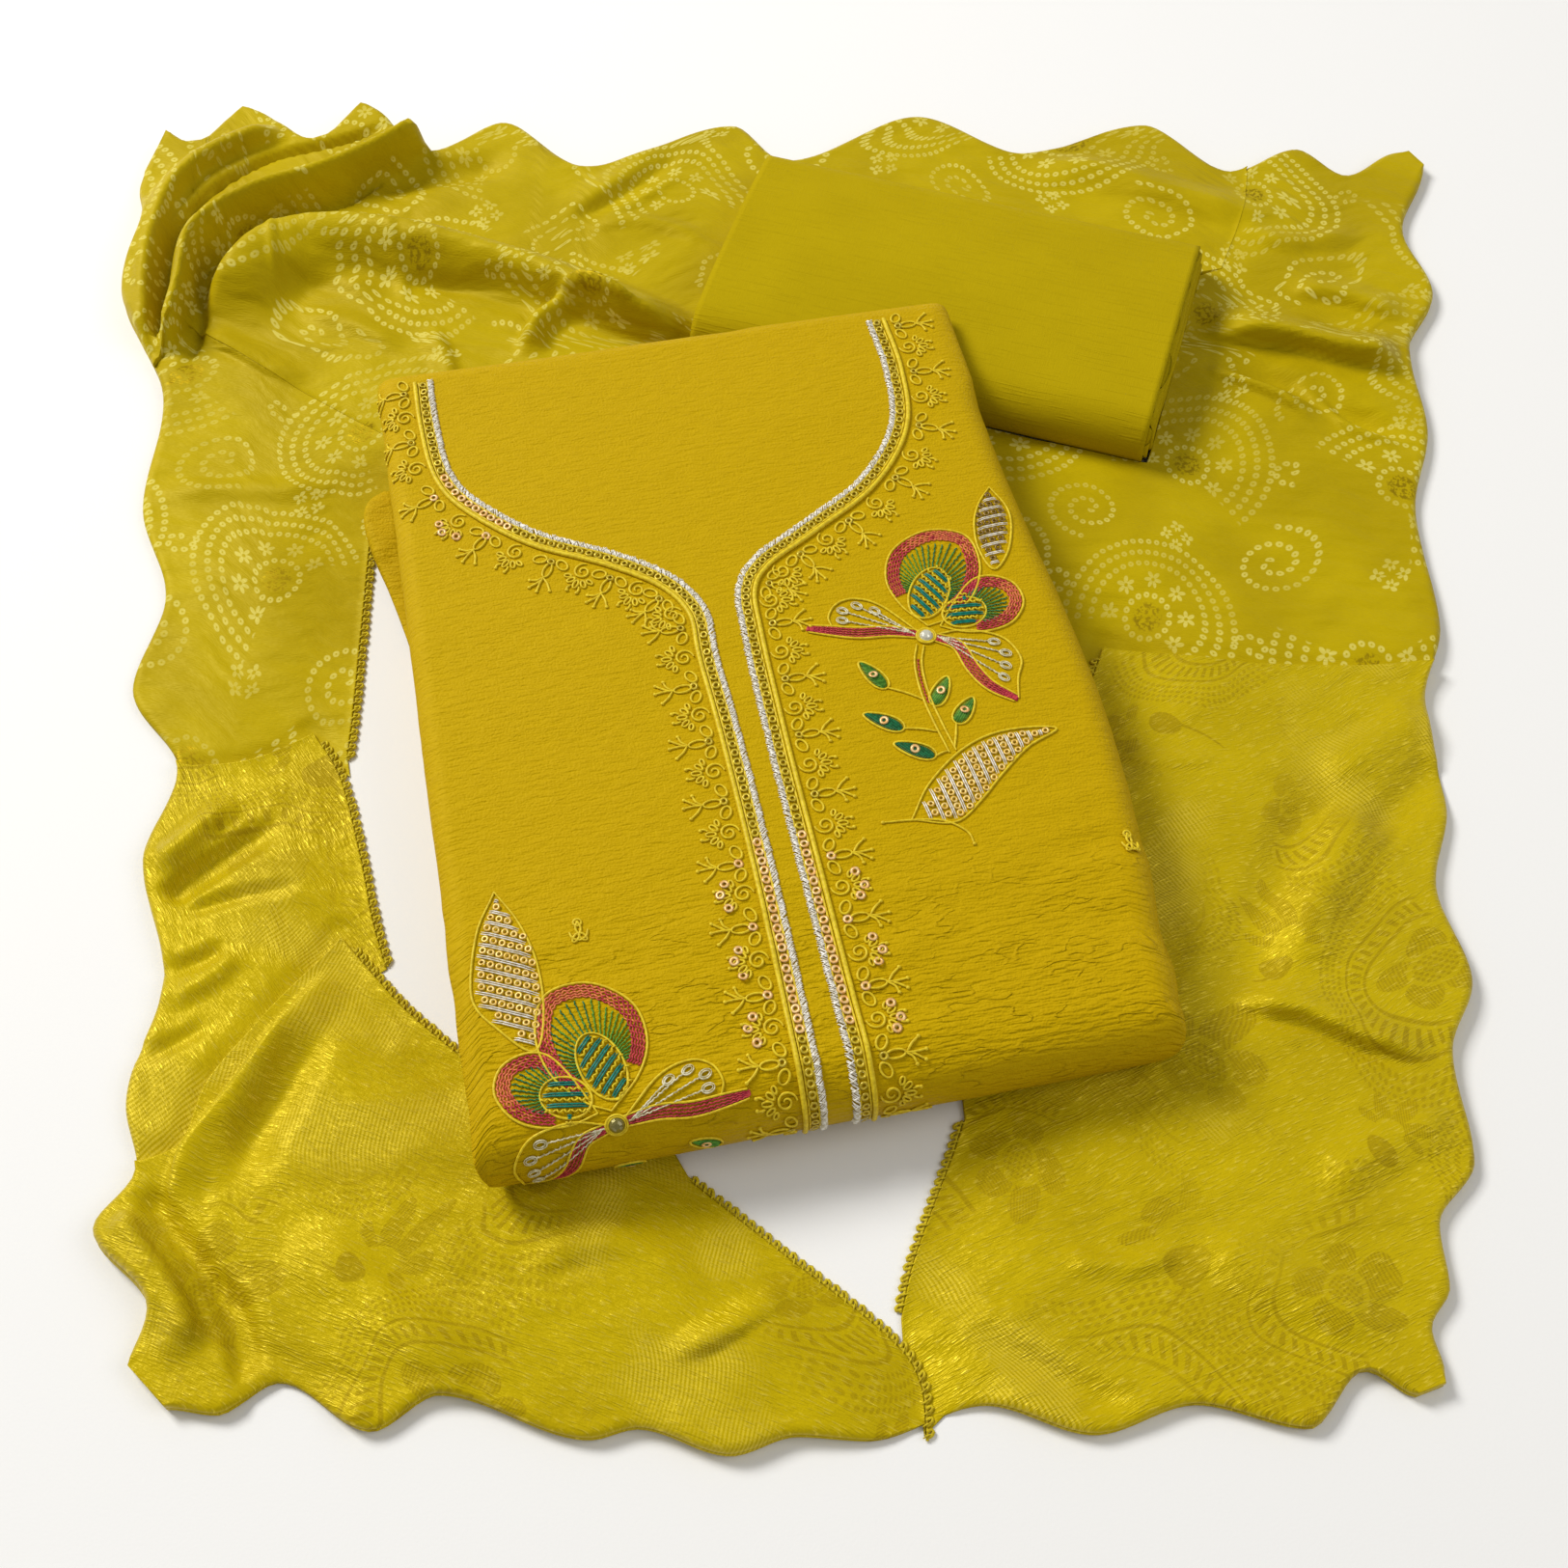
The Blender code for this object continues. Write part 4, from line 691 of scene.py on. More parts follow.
# %% The height of each stretch
def distance_to(points, path):
    return np.abs(nearest(points, path)[0])


def stretch_level(name, points):
    level = np.full(len(points), LEVELS[name])
    for join, pair in {**RUNS_ON, **{join: OVER[join] for join in CLOSES}}.items():
        if name in pair:
            other = LEVELS[pair[1 - pair.index(name)]]
            level += (other - level) * (0.5 - 0.5 * ease(distance_to(points, seam(join)) / LEVEL_REACH))
    return level


def cloth_top(name, points):
    """Height of a stretch's top surface and its lean, at points in plan."""
    grow = np.ones(len(points))
    over_it = [trim for under, trim in TUCKED.items() if under == name]
    for trim in STRETCH_TRIMS.get(name, []) + over_it:
        grow = np.minimum(grow, ease(distance_to(points, trim_edge(trim)) / LIP_RISE))
    folds, lean = fold_shape(points)
    for size, height, seed in CREASES:
        folds = folds + height * ripple(points, size, seed)
    z = LIP + (stretch_level(name, points) - LIP) * grow + folds * grow
    for join, pair in OVER.items():
        if name in pair:
            away, along, _ = nearest(points, seam(join))
            shut = ease(along / CLOSES[join]) if join in CLOSES else 0.0
            lift, drop = OVER_LIFT * (1 - shut), UNDER_DROP + (CLOSED_DROP - UNDER_DROP) * shut
            if name == pair[0]:
                z = z + lift * ease(1 - np.abs(away) / LIFT_REACH)
            else:
                z = z - drop * ease(1 - np.abs(away) / DROP_REACH)
    for join, (_, under) in RUNS_ON.items():
        if name == under:
            z = z - RUN_ON_DROP * ease(1 - distance_to(points, seam(join)) / RUN_ON_REACH)
    low = np.full(len(points), LIP * 0.6)
    for trim in over_it:
        sunk = ease(1 - (distance_to(points, trim_edge(trim)) - TUCK_FROM) / TUCK_REACH)
        z, low = z + (TUCK_TOP - z) * sunk, low + (TUCK_TOP - low) * sunk
    return np.maximum(z, low), lean * grow[:, None]


def carried_under(name, loop):
    """Move a stretch's outline out below its neighbours along the lines where it goes under them."""
    tucked = name in TUCKED
    moves = [(seam(join), UNDER_BY, 0.01, 0 if tucked else 0.01) for join in OVER if name == OVER[join][1]]
    moves += [(seam(join), RUN_ON_BY, 0.004, 0.004) for join in RUNS_ON if name == RUNS_ON[join][1]]
    moves += [(cleared(TUCKED[name]), TUCK_BY, 0, 0)] if tucked else []
    out = np.zeros(len(loop))
    for line, by, first, last in moves:
        away, along, length = nearest(loop, line)
        taper = (ease(along / first) if first else 1) * (ease((length - along) / last) if last else 1)
        out = np.maximum(out, np.where(np.abs(away) < 0.001, by * taper, 0))
    return loop - left_normals(loop, closed=True) * out[:, None]


print("height where the gathers end", cloth_top("far_gathers", seam("gathers")[-1:])[0].round(4).tolist())

# %% Meshes with their own cloth coordinates
def add_piece(name, verts, faces, material, cloth_uv=None):
    """A mesh piece with its place in its mesh; cloth_uv is a flat position in metres for each vertex."""
    mesh = bpy.data.meshes.new(name)
    verts = np.array(verts, float)
    verts[:, :2] -= LAYOUT_MIDDLE
    mesh.from_pydata(verts.tolist(), [], faces)
    if cloth_uv is not None:
        layer = mesh.uv_layers.new(name="cloth")
        corners = np.empty(len(mesh.loops), dtype=np.int32)
        mesh.loops.foreach_get("vertex_index", corners)
        layer.data.foreach_set("uv", np.asarray(cloth_uv, dtype=np.float32)[corners].ravel())
    mesh.shade_smooth()
    mesh.materials.append(material)
    piece = put(name, mesh)
    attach(piece, "root")
    return piece


print("pieces move by", (-LAYOUT_MIDDLE).tolist())

# %% Outlines filled with triangles
def inside(points, loop):
    a, b = loop, np.roll(loop, -1, axis=0)
    found = np.zeros(len(points), dtype=bool)
    for low in range(0, len(points), BLOCK):
        x, y = points[low:low + BLOCK].T[..., None]
        rise = np.where(b[:, 1] == a[:, 1], 1e-12, b[:, 1] - a[:, 1])
        before = x < a[:, 0] + (y - a[:, 1]) * (b[:, 0] - a[:, 0]) / rise
        found[low:low + BLOCK] = (before & ((a[:, 1] > y) != (b[:, 1] > y))).sum(axis=1) % 2
    return found


ROW_STEP, CROWDED = 0.866, 0.7      # shares of a step: from row to row, and the closest to the outline


def fill(loop, step=0):
    """Triangles over a counter-clockwise loop, with points on a staggered grid inside it."""
    points, count = loop, len(loop)
    if step:
        low, high = loop.min(axis=0), loop.max(axis=0)
        rows = np.arange(low[1] + step / 2, high[1], step * ROW_STEP)
        grid = np.array([(x, y) for k, y in enumerate(rows)
                         for x in np.arange(low[0] + step * (0.25 + 0.5 * (k % 2)), high[0], step)])
        grid = grid[inside(grid, loop)]
        tree = KDTree(count * 2)
        for i, p in enumerate(np.vstack([loop, (loop + np.roll(loop, -1, axis=0)) / 2])):
            tree.insert((*p, 0), i)
        tree.balance()
        points = np.vstack([loop, grid[[tree.find((*p, 0))[2] > CROWDED * step for p in grid]]])
    edges = [(i, (i + 1) % count) for i in range(count)]
    verts, _, faces, *_ = delaunay_2d_cdt([Vector(p) for p in points], edges, [], 1, 1e-7)
    assert len(verts) == len(points), f"{len(verts)} of {len(points)} points"
    return np.array([tuple(v) for v in verts]), [tuple(face) for face in faces]


def ring_faces(first, second, count):
    """Faces between two closed rings of vertices, the first above or inside the second."""
    return [(first + i, second + i, second + (i + 1) % count, first + (i + 1) % count) for i in range(count)]


def flipped(faces, shift=0):
    return [tuple(shift + i for i in reversed(face)) for face in faces]


def closed_piece(name, material, rings, count, faces, base, within=None):
    """A filled top with its faces, the rings down its side, and a base; rings are rows of (points, flat).

    within holds the base's own points, when it has any inside its ring.
    """
    above, below = 0, len(rings[0][0])
    for _ in rings[1:]:
        faces += ring_faces(above, below, count)
        above, below = below, below + count
    verts, flat = (np.vstack(part) for part in zip(*rings, *([within] if within else [])))
    return add_piece(name, verts, faces + flipped(base, above), material, flat)


print("a filled square", len(fill(np.array([(0, 0), (1, 0), (1, 1), (0, 1)]), 0.3)[1]), "triangles")

# %% [markdown]
# ## Cloth
# Each cloth is a shader worked out from flat positions on it, in metres: crinkled silk for the kameez, a
# plain cotton weave for the salwar cloth, tie-dyed rings on satin for the printed stretches of the dupatta
# and a figured satin for its ends. Nothing is painted from a picture.

# %% Repeating cells in shaders
def noise(x, y, size, detail=1.0, roughness=0.5, place=0.0):
    """Noise from 0 to 1 whose waves are about size long; size may differ along the two axes."""
    wide, long = size if isinstance(size, tuple) else (size, size)
    at = add_node(x.tree, "ShaderNodeCombineXYZ", {}, [x / wide + place, y / long + 1.7 * place])
    return add_node(x.tree, "ShaderNodeTexNoise", {"noise_dimensions": "2D"}, {
        "Vector": at, "Scale": 1.0, "Detail": detail, "Roughness": roughness})


def absolute(value):
    return value.math("ABSOLUTE")


def cosine(angle):
    return angle.math("COSINE")


def length(x, y):
    return (x * x + y * y).math("SQRT")


def either(first, *others):
    """Where any of these shows."""
    for other in others:
        first = first.math("MAXIMUM", other)
    return first


def from_nearest(value, step):
    """Distance from the middle of the step that a value is in."""
    return ((value / step).math("FRACT") - 0.5) * step


def cell_random(cell_x, cell_y, seed):
    """A number from 0 to 1 that belongs to a cell."""
    return ((cell_x * 12.9898 + cell_y * 78.233 + seed).math("SINE") * 4375.85).math("FRACT")


def cell_polar(x, y, size, shift, seed):
    """Distance from the middle of each cell of a lattice, angle turned at random, and two random numbers."""
    u, v = x / size + shift, y / size + shift
    cell_x, cell_y = u.math("FLOOR"), v.math("FLOOR")
    first, second = cell_random(cell_x, cell_y, seed), cell_random(cell_x, cell_y, seed + 37.0)
    u, v = (u - cell_x - 0.5) * size, (v - cell_y - 0.5) * size
    angle = v.math("ARCTAN2", u) + first * (2 * math.pi)
    return length(u, v), angle, first, second


def line(distance, width):
    """1 on a line of this width and 0 off it, with a soft edge."""
    return absolute(distance).ramp(width * 0.75, width * 0.3)


def turned_rows(distance, angle, inner, pitch, step, count):
    """Rings in circular rows round a cell's middle: along the nearest row in ring steps, and across it."""
    row = ((distance - inner) / pitch).math("FLOOR")
    radius = inner + (row + 0.5) * pitch
    around = (radius * (2 * math.pi / step)).math("ROUND")
    along = (angle * (0.5 / math.pi) * around + row * 0.5) * step
    within = row.math("GREATER_THAN", -0.5) * row.math("LESS_THAN", count - 0.5)
    return along, distance - radius, within


def flowers_round(distance, angle, radius, count, size, petals):
    """Small petalled flowers in a circle round a cell's middle."""
    turn = ((angle * (count * 0.5 / math.pi)).math("FRACT") - 0.5) * (2 * math.pi / count)
    u, v = turn * radius, distance - radius
    own = length(u, v)
    reach = size * (0.3 + 0.7 * absolute(cosine(v.math("ARCTAN2", u) * (petals / 2))))
    return own.ramp(reach, reach - 0.0006) * own.ramp(0.0007, 0.0012)
print("patterns ready")

# %% Printed satin
DYE_GLOSS = (1.0, 0.8, 0.08, 1.0)      # the gloss of dyed silk takes on its colour
OLIVE = (0.57, 0.43, 0.002)
OLIVE_DEEP = (0.43, 0.312, 0.002)
DOT_WHITE = (0.74, 0.66, 0.15)
PRINT_SHARE = 0.9      # how light the printed cloth's ground is beside the figured one
FOIL = (0.3, 0.2, 0.006)
PRINT_CELL = 0.097
DOT_PITCH, DOT_RADIUS, DOT_LINE = 0.0044, 0.00095, 0.00105


def cloth_material(name, colour, roughness, specular):
    """A cloth's material, and the two flat positions on the cloth in metres."""
    made = new_material(name, colour, roughness, Specular_IOR_Level=specular, Specular_Tint=DYE_GLOSS)
    uv = add_node(made.node_tree, "ShaderNodeUVMap", {"uv_map": "cloth"})
    parts = add_node(uv.tree, "ShaderNodeSeparateXYZ", {}, [uv])
    return made, parts, Socket(parts.output.node.outputs[1])


def ring_dots(along, across):
    """A row of small rings, at places along the row and across from its middle."""
    return line(length(from_nearest(along, DOT_PITCH), across) - DOT_RADIUS, DOT_LINE)


def dot_rows(distance, angle, inner, pitch, count):
    along, across, within = turned_rows(distance, angle, inner, pitch, DOT_PITCH, count)
    return ring_dots(along, across) * within


def spiral_dots(distance, angle, pitch, reach):
    """Rings along a spiral: the pitch of its arms, and how far out it reaches."""
    arm = distance / pitch - angle * (0.5 / math.pi)
    across = (arm.math("FRACT") - 0.5) * pitch
    on_arm = distance - across
    along = on_arm * on_arm * (math.pi / pitch)
    return ring_dots(along, across) * on_arm.ramp(reach, reach - 0.0002)


def printed_rings(x, y):
    """The off-white print, and the gold foil spots among it."""
    x = x + noise(x, y, 0.105, detail=0.0, place=4.0) * 0.024
    y = y + noise(x, y, 0.105, detail=0.0, place=9.0) * 0.024
    half = PRINT_CELL / 2
    *middle, _, own = cell_polar(x, y, PRINT_CELL, 0.0, 1.0)
    large, small, sprig = (cell_polar(u, v, PRINT_CELL, shift, seed)[:2] for u, v, shift, seed in (
        (x, y, 0.5, 5.0), (x + half, y, 0.0, 8.0), (x, y + half, 0.0, 3.0)))
    open_side = cosine(middle[1]).ramp(-0.52, -0.48)
    print_mask = either(
        dot_rows(*middle, 0.0247, 0.0064, 3) * open_side, dot_rows(*middle, 0.0088, DOT_PITCH, 1),
        flowers_round(*middle, 0.019, 8, 0.0049, 6) * open_side, spiral_dots(*large, 0.0092, 0.02),
        spiral_dots(*small, 0.0064, 0.0078), flowers_round(*sprig, 0.0056, 4, 0.004, 5))
    foil = either(middle[0].ramp(0.008, 0.006) * noise(x, y, 0.0022).ramp(0.46, 0.62),
                  flowers_round(*middle, 0.005, 7, 0.0019, 5))
    return print_mask, foil * own.math("GREATER_THAN", 0.35)


def printed_satin():
    made, x, y = cloth_material("dupatta_print", OLIVE, 0.5, 0.3)
    rings, foil = printed_rings(x, y)
    shade = noise(x, y, 0.05, place=7.0).ramp(0.3, 0.7)
    threads = noise(x, y, (0.0032, 0.0006), place=1.0)
    crease = noise(x, y, (0.024, 0.009), place=3.0)
    light, deep = ([PRINT_SHARE * c for c in tone] for tone in (OLIVE, OLIVE_DEEP))
    ground = mix_colours(foil * 0.7, mix_colours(shade * 0.5 + threads * 0.4, light, deep), FOIL)
    faded = noise(x, y, (0.06, 0.035), detail=0.0, place=6.0).ramp(0.3, 0.62)
    colour = mix_colours(rings * (0.28 + 0.62 * threads) * (0.5 + 0.6 * faded), ground, DOT_WHITE)
    drive(made, Base_Color=colour, Roughness=0.4 + 0.18 * threads + rings * 0.1, Metallic=foil * 0.55,
          Normal=bump(crease * 0.0016 + threads * 0.00016, 1.0))
    return made


print_satin = printed_satin()
print("printed satin", len(print_satin.node_tree.nodes), "nodes")

# %% Figured satin
SATIN_DEEP = (0.33, 0.222, 0.002)
SATIN_LIGHT = (0.83, 0.648, 0.062)
FIGURE_CELL = 0.098
FIGURE_DOT = 0.003


def hatched(x, y, lean, pitch):
    """Fine woven lines, from 0 to 1; lean sets their direction."""
    return ((x + y * lean) * (2 * math.pi / pitch)).math("SINE").ramp(-0.5, 0.5)


def figures(x, y):
    """Woven figures: round flowers in hatched arcs, fans of leaves and drops with a curled tail."""
    x = x + noise(x, y, 0.075, place=14.0) * 0.045
    y = y + noise(x, y, 0.075, place=19.0) * 0.045
    distance, angle, first, _ = cell_polar(x, y, FIGURE_CELL, 0.25, 11.0)
    lobes = absolute(cosine(angle * 2.5))
    outer = 0.0085 + 0.0125 * lobes.math("POWER", 0.6)
    petals = distance.ramp(outer, outer - 0.0006) * distance.ramp(0.0088, 0.0096) * lobes.ramp(0.1, 0.22)
    petals = petals * (0.45 + 0.55 * hatched(x, y, first * 2.0 - 1.0, 0.0013))
    lattice = ((x * 2100.0).math("SINE") * (y * 2100.0).math("SINE")).ramp(0.0, 0.35)
    middle = distance.ramp(0.0074, 0.007) * (0.25 + 0.75 * lattice)
    side = cosine(angle).ramp(-0.15, 0.0)
    band = distance.ramp(0.0285, 0.0289) * distance.ramp(0.0345, 0.0341)
    band = band * (angle * 44.0).math("SINE").ramp(0.0, 0.4)
    arcs = either(line(distance - 0.0265, 0.0016), line(distance - 0.0365, 0.0012), band) * side
    along, across, within = turned_rows(distance, angle, 0.039, FIGURE_DOT, FIGURE_DOT, 4)
    dotted = length(from_nearest(along, FIGURE_DOT), across).ramp(0.0012, 0.0007) * within * side * 0.8
    distance, angle, _, _ = cell_polar(x, y, FIGURE_CELL, 0.75, 23.0)
    ahead = cosine(angle)
    reach = 0.0075 + 0.0175 * absolute(cosine(angle * 4.0)).math("POWER", 0.7) * (0.6 + 0.4 * ahead)
    fan = distance.ramp(reach, reach - 0.0006) * distance.ramp(0.007, 0.0078)
    fan = fan * ahead.ramp(-0.25, -0.15) * (0.35 + 0.65 * hatched(x, y, -0.6, 0.0014))
    u, v = distance * ahead + 0.015, distance * angle.math("SINE")
    drop = length(u, v * (1.0 - u * 30.0)).ramp(0.0072, 0.0066)
    tail = line(v - u * u * 26.0, 0.0016) * u.ramp(-0.015, -0.014) * u.ramp(-0.004, -0.006)
    return either(petals, middle, arcs, dotted, fan, drop, tail)


def figured_satin():
    made, x, y = cloth_material("dupatta_jacquard", OLIVE, 0.4, 0.55)
    shade = noise(x, y, 0.045, place=27.0)
    glint = noise(x, y, (0.006, 0.00075), roughness=0.65, place=31.0)
    grain = noise(x, y, 0.0011, roughness=0.7, place=35.0)
    crease = noise(x, y, (0.028, 0.01), place=37.0)
    seen = noise(x, y, 0.11, detail=0.0, place=39.0)
    woven = figures(x, y) * seen.ramp(0.36, 0.58)
    lurex = seen.ramp(0.5, 0.38) * hatched(x, y, 0.25, 0.0016) * shade.ramp(0.45, 0.62)
    colour = mix_colours(shade.ramp(0.3, 0.72) * 0.4 + grain * 0.35, OLIVE, OLIVE_DEEP)
    colour = mix_colours(woven * (0.35 + 0.55 * grain), colour, SATIN_DEEP)
    # lurex streaks and patches are lighter threads of the weave; along the glint streaks their lighter colour is
    # also a painted highlight
    colour = mix_colours(either(glint.ramp(0.58, 0.78), lurex * 0.8) * 0.6, colour, SATIN_LIGHT)
    drive(made, Base_Color=colour, Roughness=0.46 - 0.14 * glint + 0.06 * woven,
          Metallic=glint.ramp(0.58, 0.8) * 0.35 + 0.05,
          Normal=bump(crease * 0.0016 + glint * 0.0005 + grain * 0.0001, 1.0))
    return made


figured = figured_satin()
print("figured satin", len(figured.node_tree.nodes), "nodes")

# %% Crinkled silk and plain cotton
SILK, SILK_DEEP = (0.59, 0.392, 0.001), (0.455, 0.288, 0.001)
COTTON, COTTON_DEEP = (0.485, 0.36, 0.003), (0.4, 0.29, 0.002)


def crinkled_silk():
    made, x, y = cloth_material("kameez_silk", SILK, 0.6, 0.3)
    crepe = noise(x, y, (0.0011, 0.0009), roughness=0.6, place=41.0)
    crinkle = noise(x, y, (0.009, 0.0017), roughness=0.6, place=43.0)
    crease = noise(x, y + crinkle * 0.002, (0.018, 0.006), place=45.0)
    front = y.ramp(-0.07, -0.165)
    short = noise(x, y, (0.022, 0.012), detail=0.0, place=49.0).ramp(0.45, 0.6)
    # deep marks the sharp creases: it raises them in the bump, and in the colour below it darkens them a little,
    # which is painted shade in the creases
    deep = absolute(crease - 0.5).ramp(0.05, 0.0) * short * (0.1 + 0.9 * front)
    colour = mix_colours(crepe * 0.55 + crinkle * 0.45 + deep * 0.2, SILK, SILK_DEEP)
    height = crinkle * (0.0005 + 0.0006 * front) + crepe * 0.0003 + deep * 0.0005
    drive(made, Base_Color=colour, Roughness=0.52 + 0.16 * crepe, Normal=bump(height, 1.0))
    return made


def plain_cotton():
    made, x, y = cloth_material("salwar_cotton", COTTON, 0.85, 0.15)
    weft = noise(x, y, (0.006, 0.00042), roughness=0.6, place=51.0)
    warp = noise(x, y, (0.00042, 0.006), roughness=0.6, place=53.0)
    slub = noise(x, y, (0.03, 0.0011), detail=0.0, place=55.0).ramp(0.62, 0.78)
    shade = noise(x, y, 0.05, place=57.0).ramp(0.3, 0.7)
    colour = mix_colours(weft * 0.45 + warp * 0.25 + shade * 0.25, COTTON, COTTON_DEEP)
    drive(made, Base_Color=colour, Roughness=0.8 + 0.12 * weft,
          Normal=bump((weft + warp + slub) * 0.00012, 1.0))
    return made


silk, cotton = crinkled_silk(), plain_cotton()
print("silk and cotton", [len(made.node_tree.nodes) for made in (silk, cotton)], "nodes")

# %% [markdown]
# ## Building the dupatta
# A print laid straight down on a folded cloth would stretch over each rise, so the flat positions follow the
# way up and down the folds. The sides round over to the surface with the dip of a doubled edge, and round
# less where a stretch meets its neighbour, so that the joins stay tight.

# %% Flat positions on the dupatta
PRINT_GRAIN = (0.3, 0.0, 0.0)      # how a stretch's weave and print are turned and moved
GRAIN = {"left_pallu": (0.9, 0.0, 0.0), "front_pallu": (0.42, 0.2, 0.1), "right_pallu": (-0.42, 0.0, 0.0)}
LET_OUT_STEP, LET_OUT_REACH = 0.002, 20


def levelled(grid):
    """The slow change of a grid of numbers, without what is narrower than about LET_OUT_REACH cells."""
    for axis in (0, 1, 0, 1):
        count = grid.shape[axis]
        low = np.clip(np.arange(count) - LET_OUT_REACH, 0, count - 1)
        high = np.clip(np.arange(count) + LET_OUT_REACH, 0, count - 1)
        total = np.cumsum(grid, axis=axis)
        grid = total.take(high, axis=axis) - total.take(low, axis=axis)
        grid = grid / np.expand_dims(high - low, 1 - axis)
    return grid


def let_out():
    """How far the folds push the cloth's flat positions on, across and along, over a grid of the layout."""
    across = np.arange(-0.37, 0.37, LET_OUT_STEP)
    along = np.arange(-0.31, 0.45, LET_OUT_STEP)
    grid = np.stack(np.meshgrid(across, along, indexing="ij"), axis=-1)
    height = fold_shape(grid.reshape(-1, 2))[0].reshape(grid.shape[:2])
    pushed = []
    for axis in (0, 1):
        rise = np.gradient(height, LET_OUT_STEP, axis=axis)
        push = np.cumsum(np.sqrt(1 + rise ** 2) - 1, axis=axis) * LET_OUT_STEP
        pushed.append(0.75 * (push - levelled(push)))
    return across, along, pushed


ACROSS, ALONG, PUSHED = let_out()


def cloth_coordinates(name, plan):
    """Flat positions on the cloth: the plan, with the way up and down the folds let out."""
    turn, *moved = GRAIN.get(name, PRINT_GRAIN)
    i = np.clip((plan[:, 0] - ACROSS[0]) / LET_OUT_STEP, 0, len(ACROSS) - 1.001)
    j = np.clip((plan[:, 1] - ALONG[0]) / LET_OUT_STEP, 0, len(ALONG) - 1.001)
    a, b = i.astype(int), j.astype(int)
    u, v = i - a, j - b
    flat = [at + mix(mix(push[a, b], push[a + 1, b], u), mix(push[a, b + 1], push[a + 1, b + 1], u), v)
            for at, push in zip(plan.T, PUSHED)]
    return turned(moved, turn, np.stack(flat, axis=1))


print("let out by up to", round(max(push.max() for push in PUSHED), 4), "m")

# %% Rounded edges
SHARP_TURN = 0.5


def from_corner(loop):
    """Distance along a loop from each point to the nearest sharp corner."""
    run = np.roll(loop, -1, axis=0) - loop
    into = np.roll(run, 1, axis=0)
    turn = np.arctan2(into[:, 0] * run[:, 1] - into[:, 1] * run[:, 0], (into * run).sum(axis=1))
    at = travelled(np.vstack([loop, loop[:1]]))
    corners = at[:-1][np.abs(turn) > SHARP_TURN]
    if not len(corners):
        return np.full(len(loop), at[-1])
    gap = np.abs(at[:-1, None] - corners[None])
    return np.minimum(gap, at[-1] - gap).min(axis=1)


def crossings(loop):
    """Pairs of segments of a closed loop that cross each other."""
    run = np.roll(loop, -1, axis=0) - loop
    between = loop[None] - loop[:, None]
    scale = run[:, None, 0] * run[None, :, 1] - run[:, None, 1] * run[None, :, 0]
    level = np.abs(scale) < 1e-9
    scale[level] = 1
    t = (between[..., 0] * run[None, :, 1] - between[..., 1] * run[None, :, 0]) / scale
    u = (between[..., 0] * run[:, None, 1] - between[..., 1] * run[:, None, 0]) / scale
    i, j = np.nonzero((t > 0) & (t < 1) & (u > 0) & (u < 1) & ~level)
    gap = (j - i) % len(loop)
    return i[(gap > 1) & (gap < len(loop) - 1)]


def rounded_by(loop, inward, radius):
    """The rounding at each point, made smaller where the inner ring would cross itself."""
    for _ in range(16):
        crossed = crossings(loop + inward * radius[:, None])
        if not len(crossed):
            break
        for k in range(-3, 5):
            radius[np.unique((crossed + k) % len(loop))] *= 0.7
    return radius


def smoothed(rows, times, middle=1):
    """The values round a closed loop, each drawn towards its neighbours; middle is its own weight."""
    for _ in range(times):
        rows = (np.roll(rows, 1, axis=0) + middle * rows + np.roll(rows, -1, axis=0)) / (middle + 2)
    return rows


print("to the corners of a square", from_corner(np.array([(0, 0), (1, 0), (1, 1), (0, 1)])).tolist())

# %% Build the stretches
CLOTH_STEP = 0.0024
EDGE_ROUND, SEAM_ROUND, RUN_ON_ROUND = 0.005, 0.001, 0.0002
# A free edge from its top to the surface: (share of the rounding, share of the height). The dip halfway
# shows that it is folded double.
FREE_EDGE = [(1.0, 1.0), (0.66, 0.985), (0.36, 0.93), (0.13, 0.82), (0.02, 0.68), (0.06, 0.55), (0.3, 0.47),
             (0.34, 0.42), (0.1, 0.36), (0.0, 0.24), (0.08, 0.1), (0.3, 0.0)]


def add_stretch(name, loop):
    loop = carried_under(name, loop)
    inward = left_normals(loop, closed=True)
    outer = joined(*(edge(side, *ends(side)) for side in SIDES))
    from_edge = distance_to(loop, np.vstack([outer, outer[:1]]))
    radius = smoothed(np.where(from_edge < 0.002, EDGE_ROUND, SEAM_ROUND), 4)
    for join in [*RUNS_ON, *CLOSES]:
        if name in (RUNS_ON.get(join) or OVER[join]):
            away, along, _ = nearest(loop, seam(join))
            close = (np.abs(away) < UNDER_BY + 0.001) & (from_edge > 0.003)
            radius[close & (along > CLOSES.get(join, 0) / 2)] = RUN_ON_ROUND
    radius = rounded_by(loop, inward, np.minimum(radius, 0.0006 + 0.55 * from_corner(loop)))
    plan, faces = fill(loop + inward * radius[:, None], CLOTH_STEP)
    z, lean = cloth_top(name, plan)
    count = len(loop)
    rings = [(np.column_stack([plan + lean, z]), cloth_coordinates(name, plan))]
    for share, rise in FREE_EDGE[1:]:
        ring = loop + inward * (radius * share)[:, None]
        rings.append((np.column_stack([ring + lean[:count] * rise, z[:count] * rise + CLEAR_OF_FLOOR]),
                      cloth_coordinates(name, ring) + (1 - rise) * 0.004))
    material = figured if "pallu" in name else print_satin
    return closed_piece(f"dupatta_{name}_cloth", material, rings, count, faces, fill(ring)[1])


stretches = {name: add_stretch(name, loop) for name, loop in outlines().items()}
for name, piece in stretches.items():
    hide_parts(f"dupatta_{name}")
print("stretches", {name: len(piece.data.polygons) for name, piece in stretches.items()})

# %% [markdown]
# ## The folded kameez
# The kameez is a front panel, one wall that rolls over the top and round the front fold, with its other
# layers folded inside and showing as stacked edges below the panel's lip. Folding a flat sheet in a cloth
# simulation would crumple it at the corners, so rings of points are laid down the sides instead.

